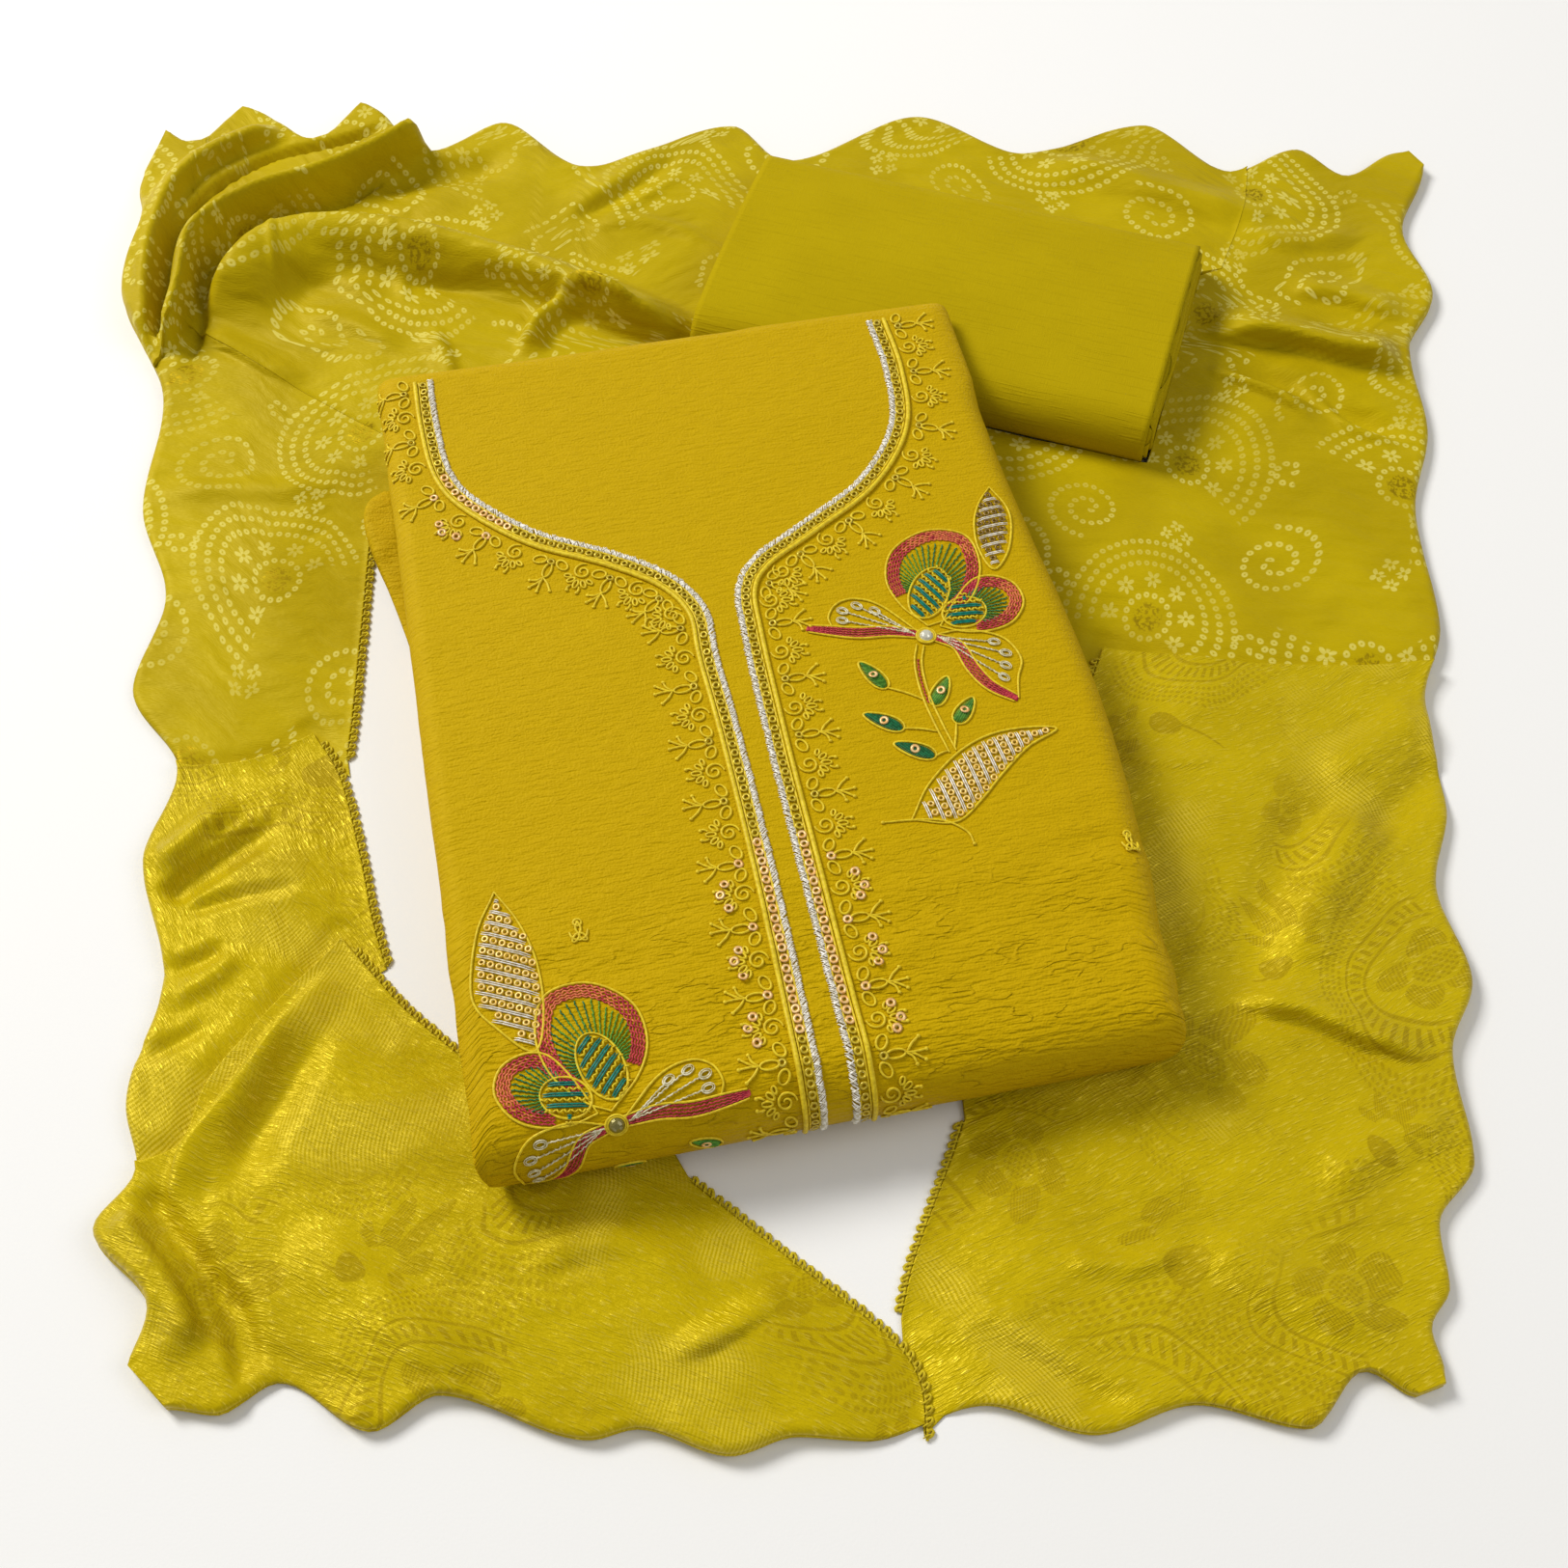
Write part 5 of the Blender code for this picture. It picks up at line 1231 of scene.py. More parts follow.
# %% Sizes of the kameez and the salwar cloth
WALL = 0.0016
NEAR_HEIGHT, FAR_LEFT_HEIGHT, FAR_RIGHT_HEIGHT, KAMEEZ_CROWN = 0.043, 0.051, 0.048, 0.003
NEAR_ROUND, LEFT_ROUND, RIGHT_ROUND, FAR_ROUND = 0.02, 0.009, 0.012, 0.009
ROUND_TURNS = [0, 11, 22, 33, 45, 56, 67, 78, 90]
LIP_SHARES = [0.25, 0.5, 0.75, 1.0]
FOLD_TURNS = [103, 116, 128, 140]       # the same rows where the panel goes on round the front fold
FOLD_CLEAR, LIP_SHARE, LIP_TUCK = 0.0015, 0.42, 0.0008
CORNER_CLEAR, LAYERS_BACK = 0.0027, 0.0094
SALWAR_HEIGHT, SALWAR_CROWN, SALWAR_WALL = 0.036, 0.003, 0.002
SALWAR_MARGIN, SALWAR_RAMP = 0.004, 0.028
PANEL_STEP, HIDDEN_STEP = 0.0026, 0.014


def kameez_height(points):
    """Height of the kameez's upper surface at points across and along it, before its sides round over."""
    s, t = points[:, 0], points[:, 1]
    far = (t + KAMEEZ_LENGTH / 2) / KAMEEZ_LENGTH
    right = (s + KAMEEZ_WIDTH / 2) / KAMEEZ_WIDTH
    far_height = mix(FAR_LEFT_HEIGHT, FAR_RIGHT_HEIGHT, right)
    crown = (1 - (2 * s / KAMEEZ_WIDTH) ** 2) * (1 - (2 * t / KAMEEZ_LENGTH) ** 2)
    return mix(NEAR_HEIGHT, far_height, far) + KAMEEZ_CROWN * np.clip(crown, 0, 1)


def under_kameez(points):
    """Height of what lies under the kameez: the surface, or the salwar cloth under its far right corner."""
    rel = np.array(points) - np.array(SALWAR_AT)
    c, s = math.cos(SALWAR_TURN), math.sin(SALWAR_TURN)
    beyond = np.abs(-s * rel[:, 0] + c * rel[:, 1]) - SALWAR_WIDTH / 2 - SALWAR_MARGIN
    return (SALWAR_HEIGHT + 2 * GAP) * np.clip(1 - beyond / SALWAR_RAMP, 0, 1)


print("kameez height", kameez_height(np.zeros((1, 2))).round(4).tolist())

# %% The kameez's outline and creases
def kameez_rim():
    """The kameez at its widest: local points, outward normals, rounding radius and share of front fold."""
    w, t, cut = KAMEEZ_WIDTH / 2, KAMEEZ_LENGTH / 2, 0.003
    nip = 0.3 * cut
    rim = np.array([
        *((s, -t, NEAR_ROUND, 1.0) for s in np.linspace(-w + cut, w - cut, 13)),
        (w + bulge(-t) - nip, -t + nip, (NEAR_ROUND + RIGHT_ROUND) / 2, 0.5),
        *((w + bulge(a), a, RIGHT_ROUND, 0.0) for a in np.linspace(-t + cut, t - cut, 21)),
        (w + bulge(t) - nip, t - nip, FAR_ROUND, 0.0),
        *((s, t, FAR_ROUND, 0.0) for s in np.linspace(w - cut, -w + cut, 17)),
        (-w + nip, t - nip, LEFT_ROUND, 0.0),
        *((-w, a, LEFT_ROUND, 0.0) for a in np.linspace(t - cut, -t + cut, 13)),
        (-w + nip, -t + nip, (NEAR_ROUND + LEFT_ROUND) / 2, 0.5)])
    rim[:, 2:] = smoothed(rim[:, 2:], 2, middle=2)
    closed = np.vstack([rim, rim[:1]])
    at = travelled(closed[:, :2])
    fine = np.linspace(0, at[-1], round(at[-1] / PANEL_STEP), endpoint=False)
    rim = np.column_stack([np.interp(fine, at, column) for column in closed.T])
    on_right = (rim[:, 0] > w - cut) & (np.abs(rim[:, 1]) < t - cut)
    rim[on_right, 0] = w + bulge(rim[on_right, 1])
    plan = smoothed(rim[:, :2], 2, middle=2)
    return plan, -left_normals(plan, closed=True), rim[:, 2], rim[:, 3]


def flat_part(rim):
    """Where the sides begin to round over, for points on the kameez's widest outline."""
    s, t = rim.T
    half_w = KAMEEZ_WIDTH / 2 + np.where(s > 0, bulge(t), 0)
    across = s * (1 - np.where(s > 0, RIGHT_ROUND, LEFT_ROUND) / half_w)
    return np.stack([across, t * (1 - np.where(t > 0, FAR_ROUND, NEAR_ROUND) / (KAMEEZ_LENGTH / 2))], axis=1)


def wrinkles(cloth):
    """The larger creases of the silk, at flat positions on it: most of them above the front fold."""
    s, t = cloth[:, 0], cloth[:, 1]
    front = ease((-0.06 - t) / 0.06) * ease((t + 0.215) / 0.02)
    right = 0.45 + 0.55 * ease((s + 0.02) / 0.1)
    along = np.column_stack([s + 0.25 * t, t - 0.1 * s])
    height = 0.0011 * front * right * ripple(along, (0.05, 0.011), 21)
    height += 0.00045 * front * ripple(along, (0.022, 0.008), 22)
    height += 0.00035 * ripple(cloth, (0.06, 0.022), 23)
    return height + 0.0001 * ripple(cloth, (0.016, 0.005), 24)


print("kameez rim", len(kameez_rim()[0]))

# %% Rings down the kameez's sides
def kameez_rows(inset, at_corners=0.0):
    """Rings down the side, inset from its outer face: (plan points, heights, flat cloth positions)."""
    rim, out, radius, fold = kameez_rim()
    inset = inset + at_corners * 2 * np.sqrt(fold * (1 - fold))
    start = flat_part(rim)
    top = kameez_height(start)
    below = np.maximum(under_kameez(kameez_plan(rim)), under_kameez(kameez_plan(start)))
    lip = below + LIP_SHARE * (top - below)
    drop = mix(np.minimum(radius, (1 - LIP_SHARE) * (top - below) * 0.8), (top - FOLD_CLEAR) / 2, fold)
    away, wide = unit(rim - start), fold[:, None]
    rows = []
    for degrees in ROUND_TURNS + FOLD_TURNS:
        turn = math.radians(degrees)
        plan = start + (rim - start - out * inset[:, None]) * math.sin(turn)
        height = top - drop + (drop - inset * drop / radius) * math.cos(turn)
        rows.append([plan, height, start + away * (radius * turn)[:, None]])
    widest = rows[len(ROUND_TURNS) - 1]
    for row, share in zip(rows[len(ROUND_TURNS):], LIP_SHARES):
        flat = widest[2] + away * ((widest[1] - lip) * share)[:, None]
        row[0] = mix(widest[0] - out * LIP_TUCK * share, row[0], wide)
        row[1] = mix(mix(widest[1], lip, share), row[1], fold)
        row[2] = mix(flat, row[2], wide)
    return rows, below, fold, out


print("rings", len(kameez_rows(0.0)[0]))

# %% The kameez's front panel
def add_kameez_front(name, material):
    """One wall over the top, down the sides to its lip and right round the front fold."""
    verts, cloth, faces, lips = [], [], [], []
    for depth, step in ((0.0, PANEL_STEP), (WALL, HIDDEN_STEP)):
        rows, _, _, out = kameez_rows(depth)
        base, count = sum(len(v) for v in verts), len(out)
        flat, part = fill(kameez_rows(0.0)[0][0][0], step)
        height = kameez_height(flat) - depth
        height[:count] = rows[0][1]
        verts.append(np.column_stack([kameez_plan(flat), height + wrinkles(flat) * (depth == 0)]))
        cloth.append(flat)
        for (plan, z, uv), degrees in zip(rows[1:], (ROUND_TURNS + FOLD_TURNS)[1:]):
            turn = math.radians(degrees)
            lift = wrinkles(uv) * (depth == 0)
            plan = plan + out * (lift * min(1, math.sin(turn) + 0.05))[:, None]
            verts.append(np.column_stack([kameez_plan(plan), z + lift * math.cos(turn)]))
            cloth.append(uv)
        rings = [0] + [len(flat) + k * count for k in range(len(rows) - 1)]
        for above, under in zip(rings, rings[1:]):
            part += ring_faces(above, under, count)
        faces += [tuple(base + i for i in face) for face in part] if depth == 0 else flipped(part, base)
        lips.append(base + rings[-1])
    faces += ring_faces(*lips, count)
    return add_piece(name, np.vstack(verts), faces, material, np.vstack(cloth))


kameez_front = add_kameez_front("kameez_front_cloth", silk)
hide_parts("kameez_front")
print("front panel", len(kameez_front.data.polygons))

# %% The kameez's folded layers
LAYER_EDGES = 5
LAYER_GROOVE = 0.0026
LAYER_PROFILE = [(0.0, 0.9), (0.1, 0.12), (0.32, 0.0), (0.62, 0.0), (0.86, 0.15), (0.97, 1.0)]


def add_kameez_layers(name, material):
    """Everything folded inside the front panel, its layered edges showing below the panel's lip."""
    depth = WALL + GAP
    rows, below, fold, out = kameez_rows(depth, CORNER_CLEAR)
    panel_lip, panel_height, _ = kameez_rows(0.0)[0][-1]
    count = len(out)
    lip_plan, _, lip_cloth = rows[-1]
    ledge = panel_height - 2 * GAP
    tucked = np.clip(fold * 6, 0, 1)[:, None]
    run = np.linspace(0, 2 * math.pi, count, endpoint=False)
    from_middle = (np.arange(count) + count // 2) % count
    back = LAYERS_BACK - KAMEEZ_LENGTH / 2
    for k in range(LAYER_EDGES):
        wave = 0.0006 * np.sin(run * (3 + k) + 2.1 * k) + 0.0005 * np.sin(run * (11 + 3 * k) + k)
        reach = 0.0006 + 0.0008 * ((k * 2) % 3) / 2 + np.abs(wave)
        for share, groove in LAYER_PROFILE:
            down = (k + share) / LAYER_EDGES
            inset = rounded_by(panel_lip, -out, reach + LAYER_GROOVE * groove)
            fold_plan = lip_plan - out * ((0.001 + 0.003 * down) * fold ** 2)[:, None]
            plan = mix(panel_lip - out * inset[:, None], fold_plan, tucked)
            front = from_middle[plan[from_middle, 1] < back]
            plan[front, 1] = back
            plan[front, 0] = np.maximum.accumulate(plan[front, 0]) + 1e-6 * np.arange(len(front))
            rows.append([plan, mix(ledge, below + CLEAR_OF_FLOOR, down), lip_cloth + out * 0.02 * down])
    flat, faces = fill(rows[0][0], HIDDEN_STEP)
    height = kameez_height(flat) - depth
    height[:count] = rows[0][1]
    rows[0] = [flat, height, flat]
    base_plan, base_faces = fill(rows[-1][0], HIDDEN_STEP)
    extra = base_plan[count:]
    *rings, within = ((np.column_stack([kameez_plan(plan), z]), uv) for plan, z, uv in (
        *rows, (extra, under_kameez(kameez_plan(extra)) + CLEAR_OF_FLOOR, extra)))
    return closed_piece(name, material, rings, count, faces, base_faces, within)


kameez_layers = add_kameez_layers("kameez_folded_cloth", silk)
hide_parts("kameez_folded_layers")
print("folded layers", len(kameez_layers.data.polygons))

# %% The lower layer that comes out at the far left
LOWER_LAYER = metres([(1520, 55), (1485, 120), (1420, 160), (1320, 165), (1180, 140), (1040, 105), (900, 75),
                      (760, 48), (700, 38)])
LOWER_BASE, LOWER_TOP = 0.0046, (0.008, 0.019)
LOWER_EDGE = [(0.45, 0.94), (0.1, 0.8), (0.0, 0.62), (0.5, 0.52), (0.0, 0.42), (0.1, 0.16), (0.6, 0.0)]
LOWER_STEP, LOWER_ROUND = 0.0022, 0.0016


def add_lower_layer(name, material):
    half = KAMEEZ_WIDTH / 2 - LIP_TUCK
    outer = smooth_path(LOWER_LAYER, LOWER_STEP)
    near, far = LOWER_LAYER[-1][0], LOWER_LAYER[0][0]
    inner = np.linspace(near + 0.001, far - 0.001, len(outer) - 3)
    local = joined([(-half - out, along) for along, out in outer], [(-half, along) for along in inner])
    inward = left_normals(local, closed=True)

    def top(points):
        rise = LOWER_TOP[0] + (LOWER_TOP[1] - LOWER_TOP[0]) * ease((points[:, 1] - near) / (far - near))
        swell = np.clip((-half - points[:, 0]) / 0.008, 0, 1)
        return rise + 0.0008 * swell * ripple(points, (0.02, 0.008), 31)

    radius = rounded_by(local, inward, np.full(len(local), LOWER_ROUND))
    plan, faces = fill(local + inward * radius[:, None], LOWER_STEP)
    rings = [(np.column_stack([kameez_plan(plan), top(plan)]), plan)]
    height = top(local)
    for share, rise in LOWER_EDGE:
        ring = local + inward * (radius * share)[:, None]
        rings.append((np.column_stack([kameez_plan(ring), LOWER_BASE + (height - LOWER_BASE) * rise]),
                      ring - inward * (1 - rise) * 0.01))
    return closed_piece(name, material, rings, len(local), faces, fill(ring)[1])


lower_layer = add_lower_layer("kameez_lower_cloth", silk)
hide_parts("kameez_lower_layer")
print("lower layer", len(lower_layer.data.polygons))

# %% [markdown]
# ## The rolled salwar cloth
# The plain cotton is folded into a flat roll. One outer turn covers it like a sleeve, and the turns inside it
# show as uneven edges at the right end. A spiral sheet could make both, but its layers would touch, so the
# wrap is a tube of rings along the roll, and the end is a stack of rings that shrink inwards.

# %% The roll's section
ROLL_STEP = 0.0028
LAYERS_SHOW = 0.0055            # length of the roll's right end that the wrap leaves open


def roll_section(inset):
    """One closed section across the rolled cloth: (across, height), flat below, counter-clockwise."""
    radius = (SALWAR_HEIGHT - SALWAR_CROWN) / 2
    flat, left = SALWAR_WIDTH / 2 - radius, radius - inset

    def side(middle, start):
        turns = [math.radians(degrees) for degrees in np.linspace(start, start + 180, 16)[1:-1]]
        return [(middle + left * math.cos(turn), radius + left * math.sin(turn)) for turn in turns]

    return np.array([
        *((v, inset) for v in np.linspace(-flat, flat, 24)), *side(flat, -90),
        *((v, 2 * radius - inset + SALWAR_CROWN * (1 - (v / flat) ** 2) * (1 - inset / radius))
          for v in np.linspace(flat, -flat, 40)), *side(-flat, 90)])


def roll_ring(along, section, lift=0.0):
    plan = salwar_plan(np.column_stack([along * np.ones(len(section)), section[:, 0]]))
    return np.column_stack([plan, section[:, 1] + lift])


print("section", len(roll_section(0)), "points")

# %% The roll's outer turn
def add_roll_wrap(name, material):
    """The outer turn of the roll: a tube, open at both ends."""
    half = SALWAR_LENGTH / 2
    at = np.linspace(-half, half - LAYERS_SHOW, round(SALWAR_LENGTH / ROLL_STEP))
    verts, cloth, faces = [], [], []
    rings, count = len(at), len(roll_section(0))
    for inset in (0.0, SALWAR_WALL):
        section = roll_section(inset)
        run = travelled(section)
        upper = np.clip(section[:, 1] / SALWAR_HEIGHT, 0, 1)
        for u in at:
            flat = np.column_stack([np.full(count, u), run])
            lift = 0.00045 * ripple(flat, (0.045, 0.03), 41) + 0.00016 * ripple(flat, (0.016, 0.02), 42)
            verts.append(roll_ring(u, section, lift * upper * (inset == 0)))
            cloth.append(flat)
    for k in range(rings - 1):
        faces += flipped(ring_faces(k * count, (k + 1) * count, count))
        faces += ring_faces((rings + k) * count, (rings + k + 1) * count, count)
    faces += ring_faces(0, rings * count, count)
    faces += flipped(ring_faces((rings - 1) * count, (2 * rings - 1) * count, count))
    return add_piece(name, np.vstack(verts), faces, material, np.vstack(cloth))


roll_wrap = add_roll_wrap("salwar_wrap_cloth", cotton)
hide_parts("salwar_wrap")
print("wrap", len(roll_wrap.data.polygons))

# %% The layers inside the roll
END_LAYERS = 0.0042             # thickness of one folded layer at the end
END_REACH = 0.0044
TURN_STEP = 0.0006              # from one modelled ring of the end to the next, inwards


def add_roll_layers(name, material):
    """The layers folded inside the wrap: nested turns, their edges uneven at the right end."""
    half, first = SALWAR_LENGTH / 2, SALWAR_WALL + GAP
    section = roll_section(first)
    count, run = len(section), travelled(section)
    _, start = fill(section)
    ends_at = [-half, 0.0, half - 0.02, half - LAYERS_SHOW]
    verts = [roll_ring(u, section) for u in ends_at]
    cloth = [np.column_stack([np.full(count, u), run]) for u in ends_at]
    for inset in np.arange(first, (SALWAR_HEIGHT - SALWAR_CROWN) / 2 - TURN_STEP, TURN_STEP):
        section = roll_section(inset)
        wobble = 0.0016 * ripple(section * [1, 1.5], (0.03, 0.012), 51)
        layer, phase = np.divmod((inset - first + wobble) / END_LAYERS, 1)
        edge_shape = np.clip(1 - (2 * phase - 1) ** 4, 0, 1)
        own = 0.45 + 0.55 * np.mod(layer * 0.618 + 0.15, 1)
        own = own * (0.8 + 0.2 * ripple(section, (0.02, 0.02), 52))
        reach = np.clip(END_REACH * own, 0.0008, END_REACH) * edge_shape - 0.004 * (1 - edge_shape)
        verts.append(roll_ring(half - LAYERS_SHOW + reach, section))
        cloth.append(np.column_stack([half + reach, run + inset]))
    faces = []
    for k in range(len(verts) - 1):
        faces += flipped(ring_faces(k * count, (k + 1) * count, count))
    last = (len(verts) - 1) * count
    faces += [tuple(last + i for i in face) for face in fill(section)[1]] + flipped(start)
    return add_piece(name, np.vstack(verts), faces, material, np.vstack(cloth))


roll_layers = add_roll_layers("salwar_folded_cloth", cotton)
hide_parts("salwar_folded_layers")
print("layers", len(roll_layers.data.polygons))

# %% [markdown]
# ## Thread, cord and sequins
# Everything sewn on starts as a path or a point on the cloth. One small Geometry Nodes tree turns paths into
# threads that thin out at their ends, a second lays ring sequins on points, and a third lays round knots.
# The result is realized as a plain mesh, and each kind of thread is one piece.

# %% Places on the kameez's panel
def on_panel(cloth, lift):
    """Points lifted off the kameez's panel at flat positions on it, and the outward directions there."""
    cloth = np.atleast_2d(np.array(cloth, float))
    half_l = KAMEEZ_LENGTH / 2
    t = np.clip(cloth[:, 1], NEAR_ROUND - half_l, half_l - FAR_ROUND)
    s = np.clip(cloth[:, 0], LEFT_ROUND - KAMEEZ_WIDTH / 2, KAMEEZ_WIDTH / 2 + bulge(t) - RIGHT_ROUND)
    flat = np.column_stack([s, t])
    over_s, over_t = (cloth - flat).T
    round_s = np.where(over_s > 0, RIGHT_ROUND, LEFT_ROUND)
    round_t = np.where(over_t > 0, FAR_ROUND, NEAR_ROUND)
    turn_s, turn_t = over_s / round_s, over_t / round_t
    top = kameez_height(flat)
    drop_t = np.where(over_t < 0, (top - FOLD_CLEAR) / 2, round_t)
    height = top - drop_t * (1 - np.cos(turn_t)) - round_s * (1 - np.cos(turn_s))
    out = unit(np.column_stack([np.sin(turn_s), np.sin(turn_t), np.cos(turn_s) * np.cos(turn_t)]))
    away = lift + wrinkles(cloth)
    local = np.column_stack([s + round_s * np.sin(turn_s), t + round_t * np.sin(turn_t)])
    plan = kameez_plan(local + out[:, :2] * away[:, None])
    outward = np.column_stack([turned((0, 0), KAMEEZ_TURN, out), out[:, 2]])
    return np.column_stack([plan, height + out[:, 2] * away]), outward


print("panel point", on_panel([(0.0, 0.0)], 0.0)[0].round(4).tolist())

# %% Small tools for Geometry Nodes trees
def node_group(name, **inputs):
    """An empty Geometry Nodes tree with its sockets; inputs are the kinds of its named inputs."""
    tree = bpy.data.node_groups.new(name, "GeometryNodeTree")
    for label, kind in {"Geometry": "Geometry", **inputs, "Material": "Material"}.items():
        tree.interface.new_socket(label, in_out="INPUT", socket_type=f"NodeSocket{kind}")
    tree.interface.new_socket("Geometry", in_out="OUTPUT", socket_type="NodeSocketGeometry")
    start = tree.nodes.new("NodeGroupInput")
    return tree, {socket.name: Socket(socket) for socket in start.outputs if socket.name}


def end_group(geometry, material):
    """Smooth, realize and paint what a tree makes, and send it out."""
    tree = geometry.tree
    smooth = add_node(tree, "GeometryNodeSetShadeSmooth", {}, [geometry])
    whole = add_node(tree, "GeometryNodeRealizeInstances", {}, [smooth])
    painted = add_node(tree, "GeometryNodeSetMaterial", {}, {"Geometry": whole, "Material": material})
    end = tree.nodes.new("NodeGroupOutput")
    tree.links.new(painted.output, end.inputs[0])
    return tree


def circle(tree, sides, radius):
    return add_node(tree, "GeometryNodeCurvePrimitiveCircle", {"mode": "RADIUS"},
                    {"Resolution": sides, "Radius": radius})


print("tree tools ready")

# %% Geometry Nodes trees for threads, sequins and knots
def thread_tree():
    """Edges become round threads; Taper thins both ends."""
    tree, at = node_group("threads", Radius="Float", Sides="Int", Taper="Float")
    curve = add_node(tree, "GeometryNodeMeshToCurve", {}, [at["Geometry"]])
    from_middle = absolute(add_node(tree, "GeometryNodeSplineParameter") * 2.0 - 1.0)
    scale = at["Radius"] * (1 - at["Taper"] * from_middle.math("POWER", 3.0))
    tube = add_node(tree, "GeometryNodeCurveToMesh", {}, {
        "Curve": curve, "Profile Curve": circle(tree, at["Sides"], 1.0), "Scale": scale, "Fill Caps": True})
    return end_group(tube, at["Material"])


def laid_on_points(tree, at, instance):
    """Instances on the points, turned to their stored outward direction and tipped a little at random."""
    up = add_node(tree, "GeometryNodeInputNamedAttribute", {"data_type": "FLOAT_VECTOR"}, ["up"])
    facing = add_node(tree, "FunctionNodeAlignRotationToVector", {"axis": "Z"}, {"Vector": up})
    low = add_node(tree, "ShaderNodeCombineXYZ", {}, [0 - at["Tip"], 0 - at["Tip"], 0.0])
    high = add_node(tree, "ShaderNodeCombineXYZ", {}, [at["Tip"], at["Tip"], 6.28])
    tip = add_node(tree, "FunctionNodeRandomValue", {"data_type": "FLOAT_VECTOR"},
                   {0: low, 1: high, 8: at["Seed"]})
    tip = add_node(tree, "FunctionNodeEulerToRotation", {}, [tip])
    facing = add_node(tree, "FunctionNodeRotateRotation", {"rotation_space": "LOCAL"},
                      {"Rotation": facing, "Rotate By": tip})
    laid = add_node(tree, "GeometryNodeInstanceOnPoints", {},
                    {"Points": at["Geometry"], "Instance": instance, "Rotation": facing})
    return end_group(laid, at["Material"])


def sequin_tree():
    """Ring sequins: a flat washer with a hole."""
    tree, at = node_group("sequins", Radius="Float", Hole="Float", Thickness="Float", Tip="Float", Seed="Int")
    ring = circle(tree, 14, (at["Radius"] + at["Hole"]) * 0.5)
    section = circle(tree, 4, (at["Radius"] - at["Hole"]) * 0.5)
    washer = add_node(tree, "GeometryNodeCurveToMesh", {}, {"Curve": ring, "Profile Curve": section})
    share = at["Thickness"] / (at["Radius"] - at["Hole"])
    flat = add_node(tree, "ShaderNodeCombineXYZ", {}, [1.0, 1.0, share])
    washer = add_node(tree, "GeometryNodeTransform", {}, {"Geometry": washer, "Scale": flat})
    return laid_on_points(tree, at, washer)


def knot_tree():
    """Round knots, a little flattened."""
    tree, at = node_group("knots", Radius="Float", Tip="Float", Seed="Int")
    ball = add_node(tree, "GeometryNodeMeshUVSphere", {}, {"Segments": 8, "Rings": 5, "Radius": at["Radius"]})
    ball = add_node(tree, "GeometryNodeTransform", {}, {"Geometry": ball, "Scale": (1.0, 1.0, 0.7)})
    return laid_on_points(tree, at, ball)


TREES = {"threads": thread_tree(), "sequins": sequin_tree(), "knots": knot_tree()}


print("trees", list(TREES))

# %% Pieces grown from a tree
def grown(name, lines, edges, tree_name, values, up=None):
    """Run a tree on points and edges given in the layout frame, and keep what it makes as a plain piece."""
    mesh = bpy.data.meshes.new(name + "_paths")
    verts = np.array(lines, float)
    verts[:, :2] -= LAYOUT_MIDDLE
    mesh.from_pydata(verts.tolist(), edges, [])
    if up is not None:
        layer = mesh.attributes.new("up", "FLOAT_VECTOR", "POINT")
        layer.data.foreach_set("vector", np.asarray(up, dtype=np.float32).ravel())
    seed = put(name + "_paths", mesh)
    modifier = seed.modifiers.new("made", "NODES")
    modifier.node_group = TREES[tree_name]
    for item in TREES[tree_name].interface.items_tree:
        if item.in_out == "INPUT" and item.name in values:
            modifier[item.identifier] = values[item.name]
    made = seed.evaluated_get(bpy.context.evaluated_depsgraph_get())
    plain = bpy.data.meshes.new_from_object(made)
    plain.name = name
    bpy.data.objects.remove(seed)
    piece = put(name, plain)
    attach(piece, "root")
    return piece


def add_threads(name, lines, radius, sides, taper, material):
    """Threads along polylines in the layout frame."""
    starts = np.cumsum([0] + [len(line) for line in lines])
    edges = [(i, i + 1) for a, b in zip(starts, starts[1:]) for i in range(a, b - 1)]
    return grown(name, np.vstack(lines), edges, "threads",
                 {"Radius": radius, "Sides": sides, "Taper": taper, "Material": material})


print("inputs of the thread tree", [item.name for item in TREES["threads"].interface.items_tree])

# %% Thread and sequin finishes
def thread_material(name, colour, deep, roughness, metallic=0.0, specular=0.3):
    """A thread's finish: two tones of one dye, mixed at the size of a stitch."""
    made = new_material(name, colour, roughness, Metallic=metallic, Specular_IOR_Level=specular)
    place = add_node(made.node_tree, "ShaderNodeTexCoord", out=3)
    tone = add_node(place.tree, "ShaderNodeTexNoise", {}, {"Vector": place, "Scale": 700.0, "Detail": 1.0})
    tones = mix_colours(tone.ramp(0.35, 0.65), colour, deep)
    drive(made, Base_Color=tones, Roughness=roughness + 0.15 * tone)
    return made


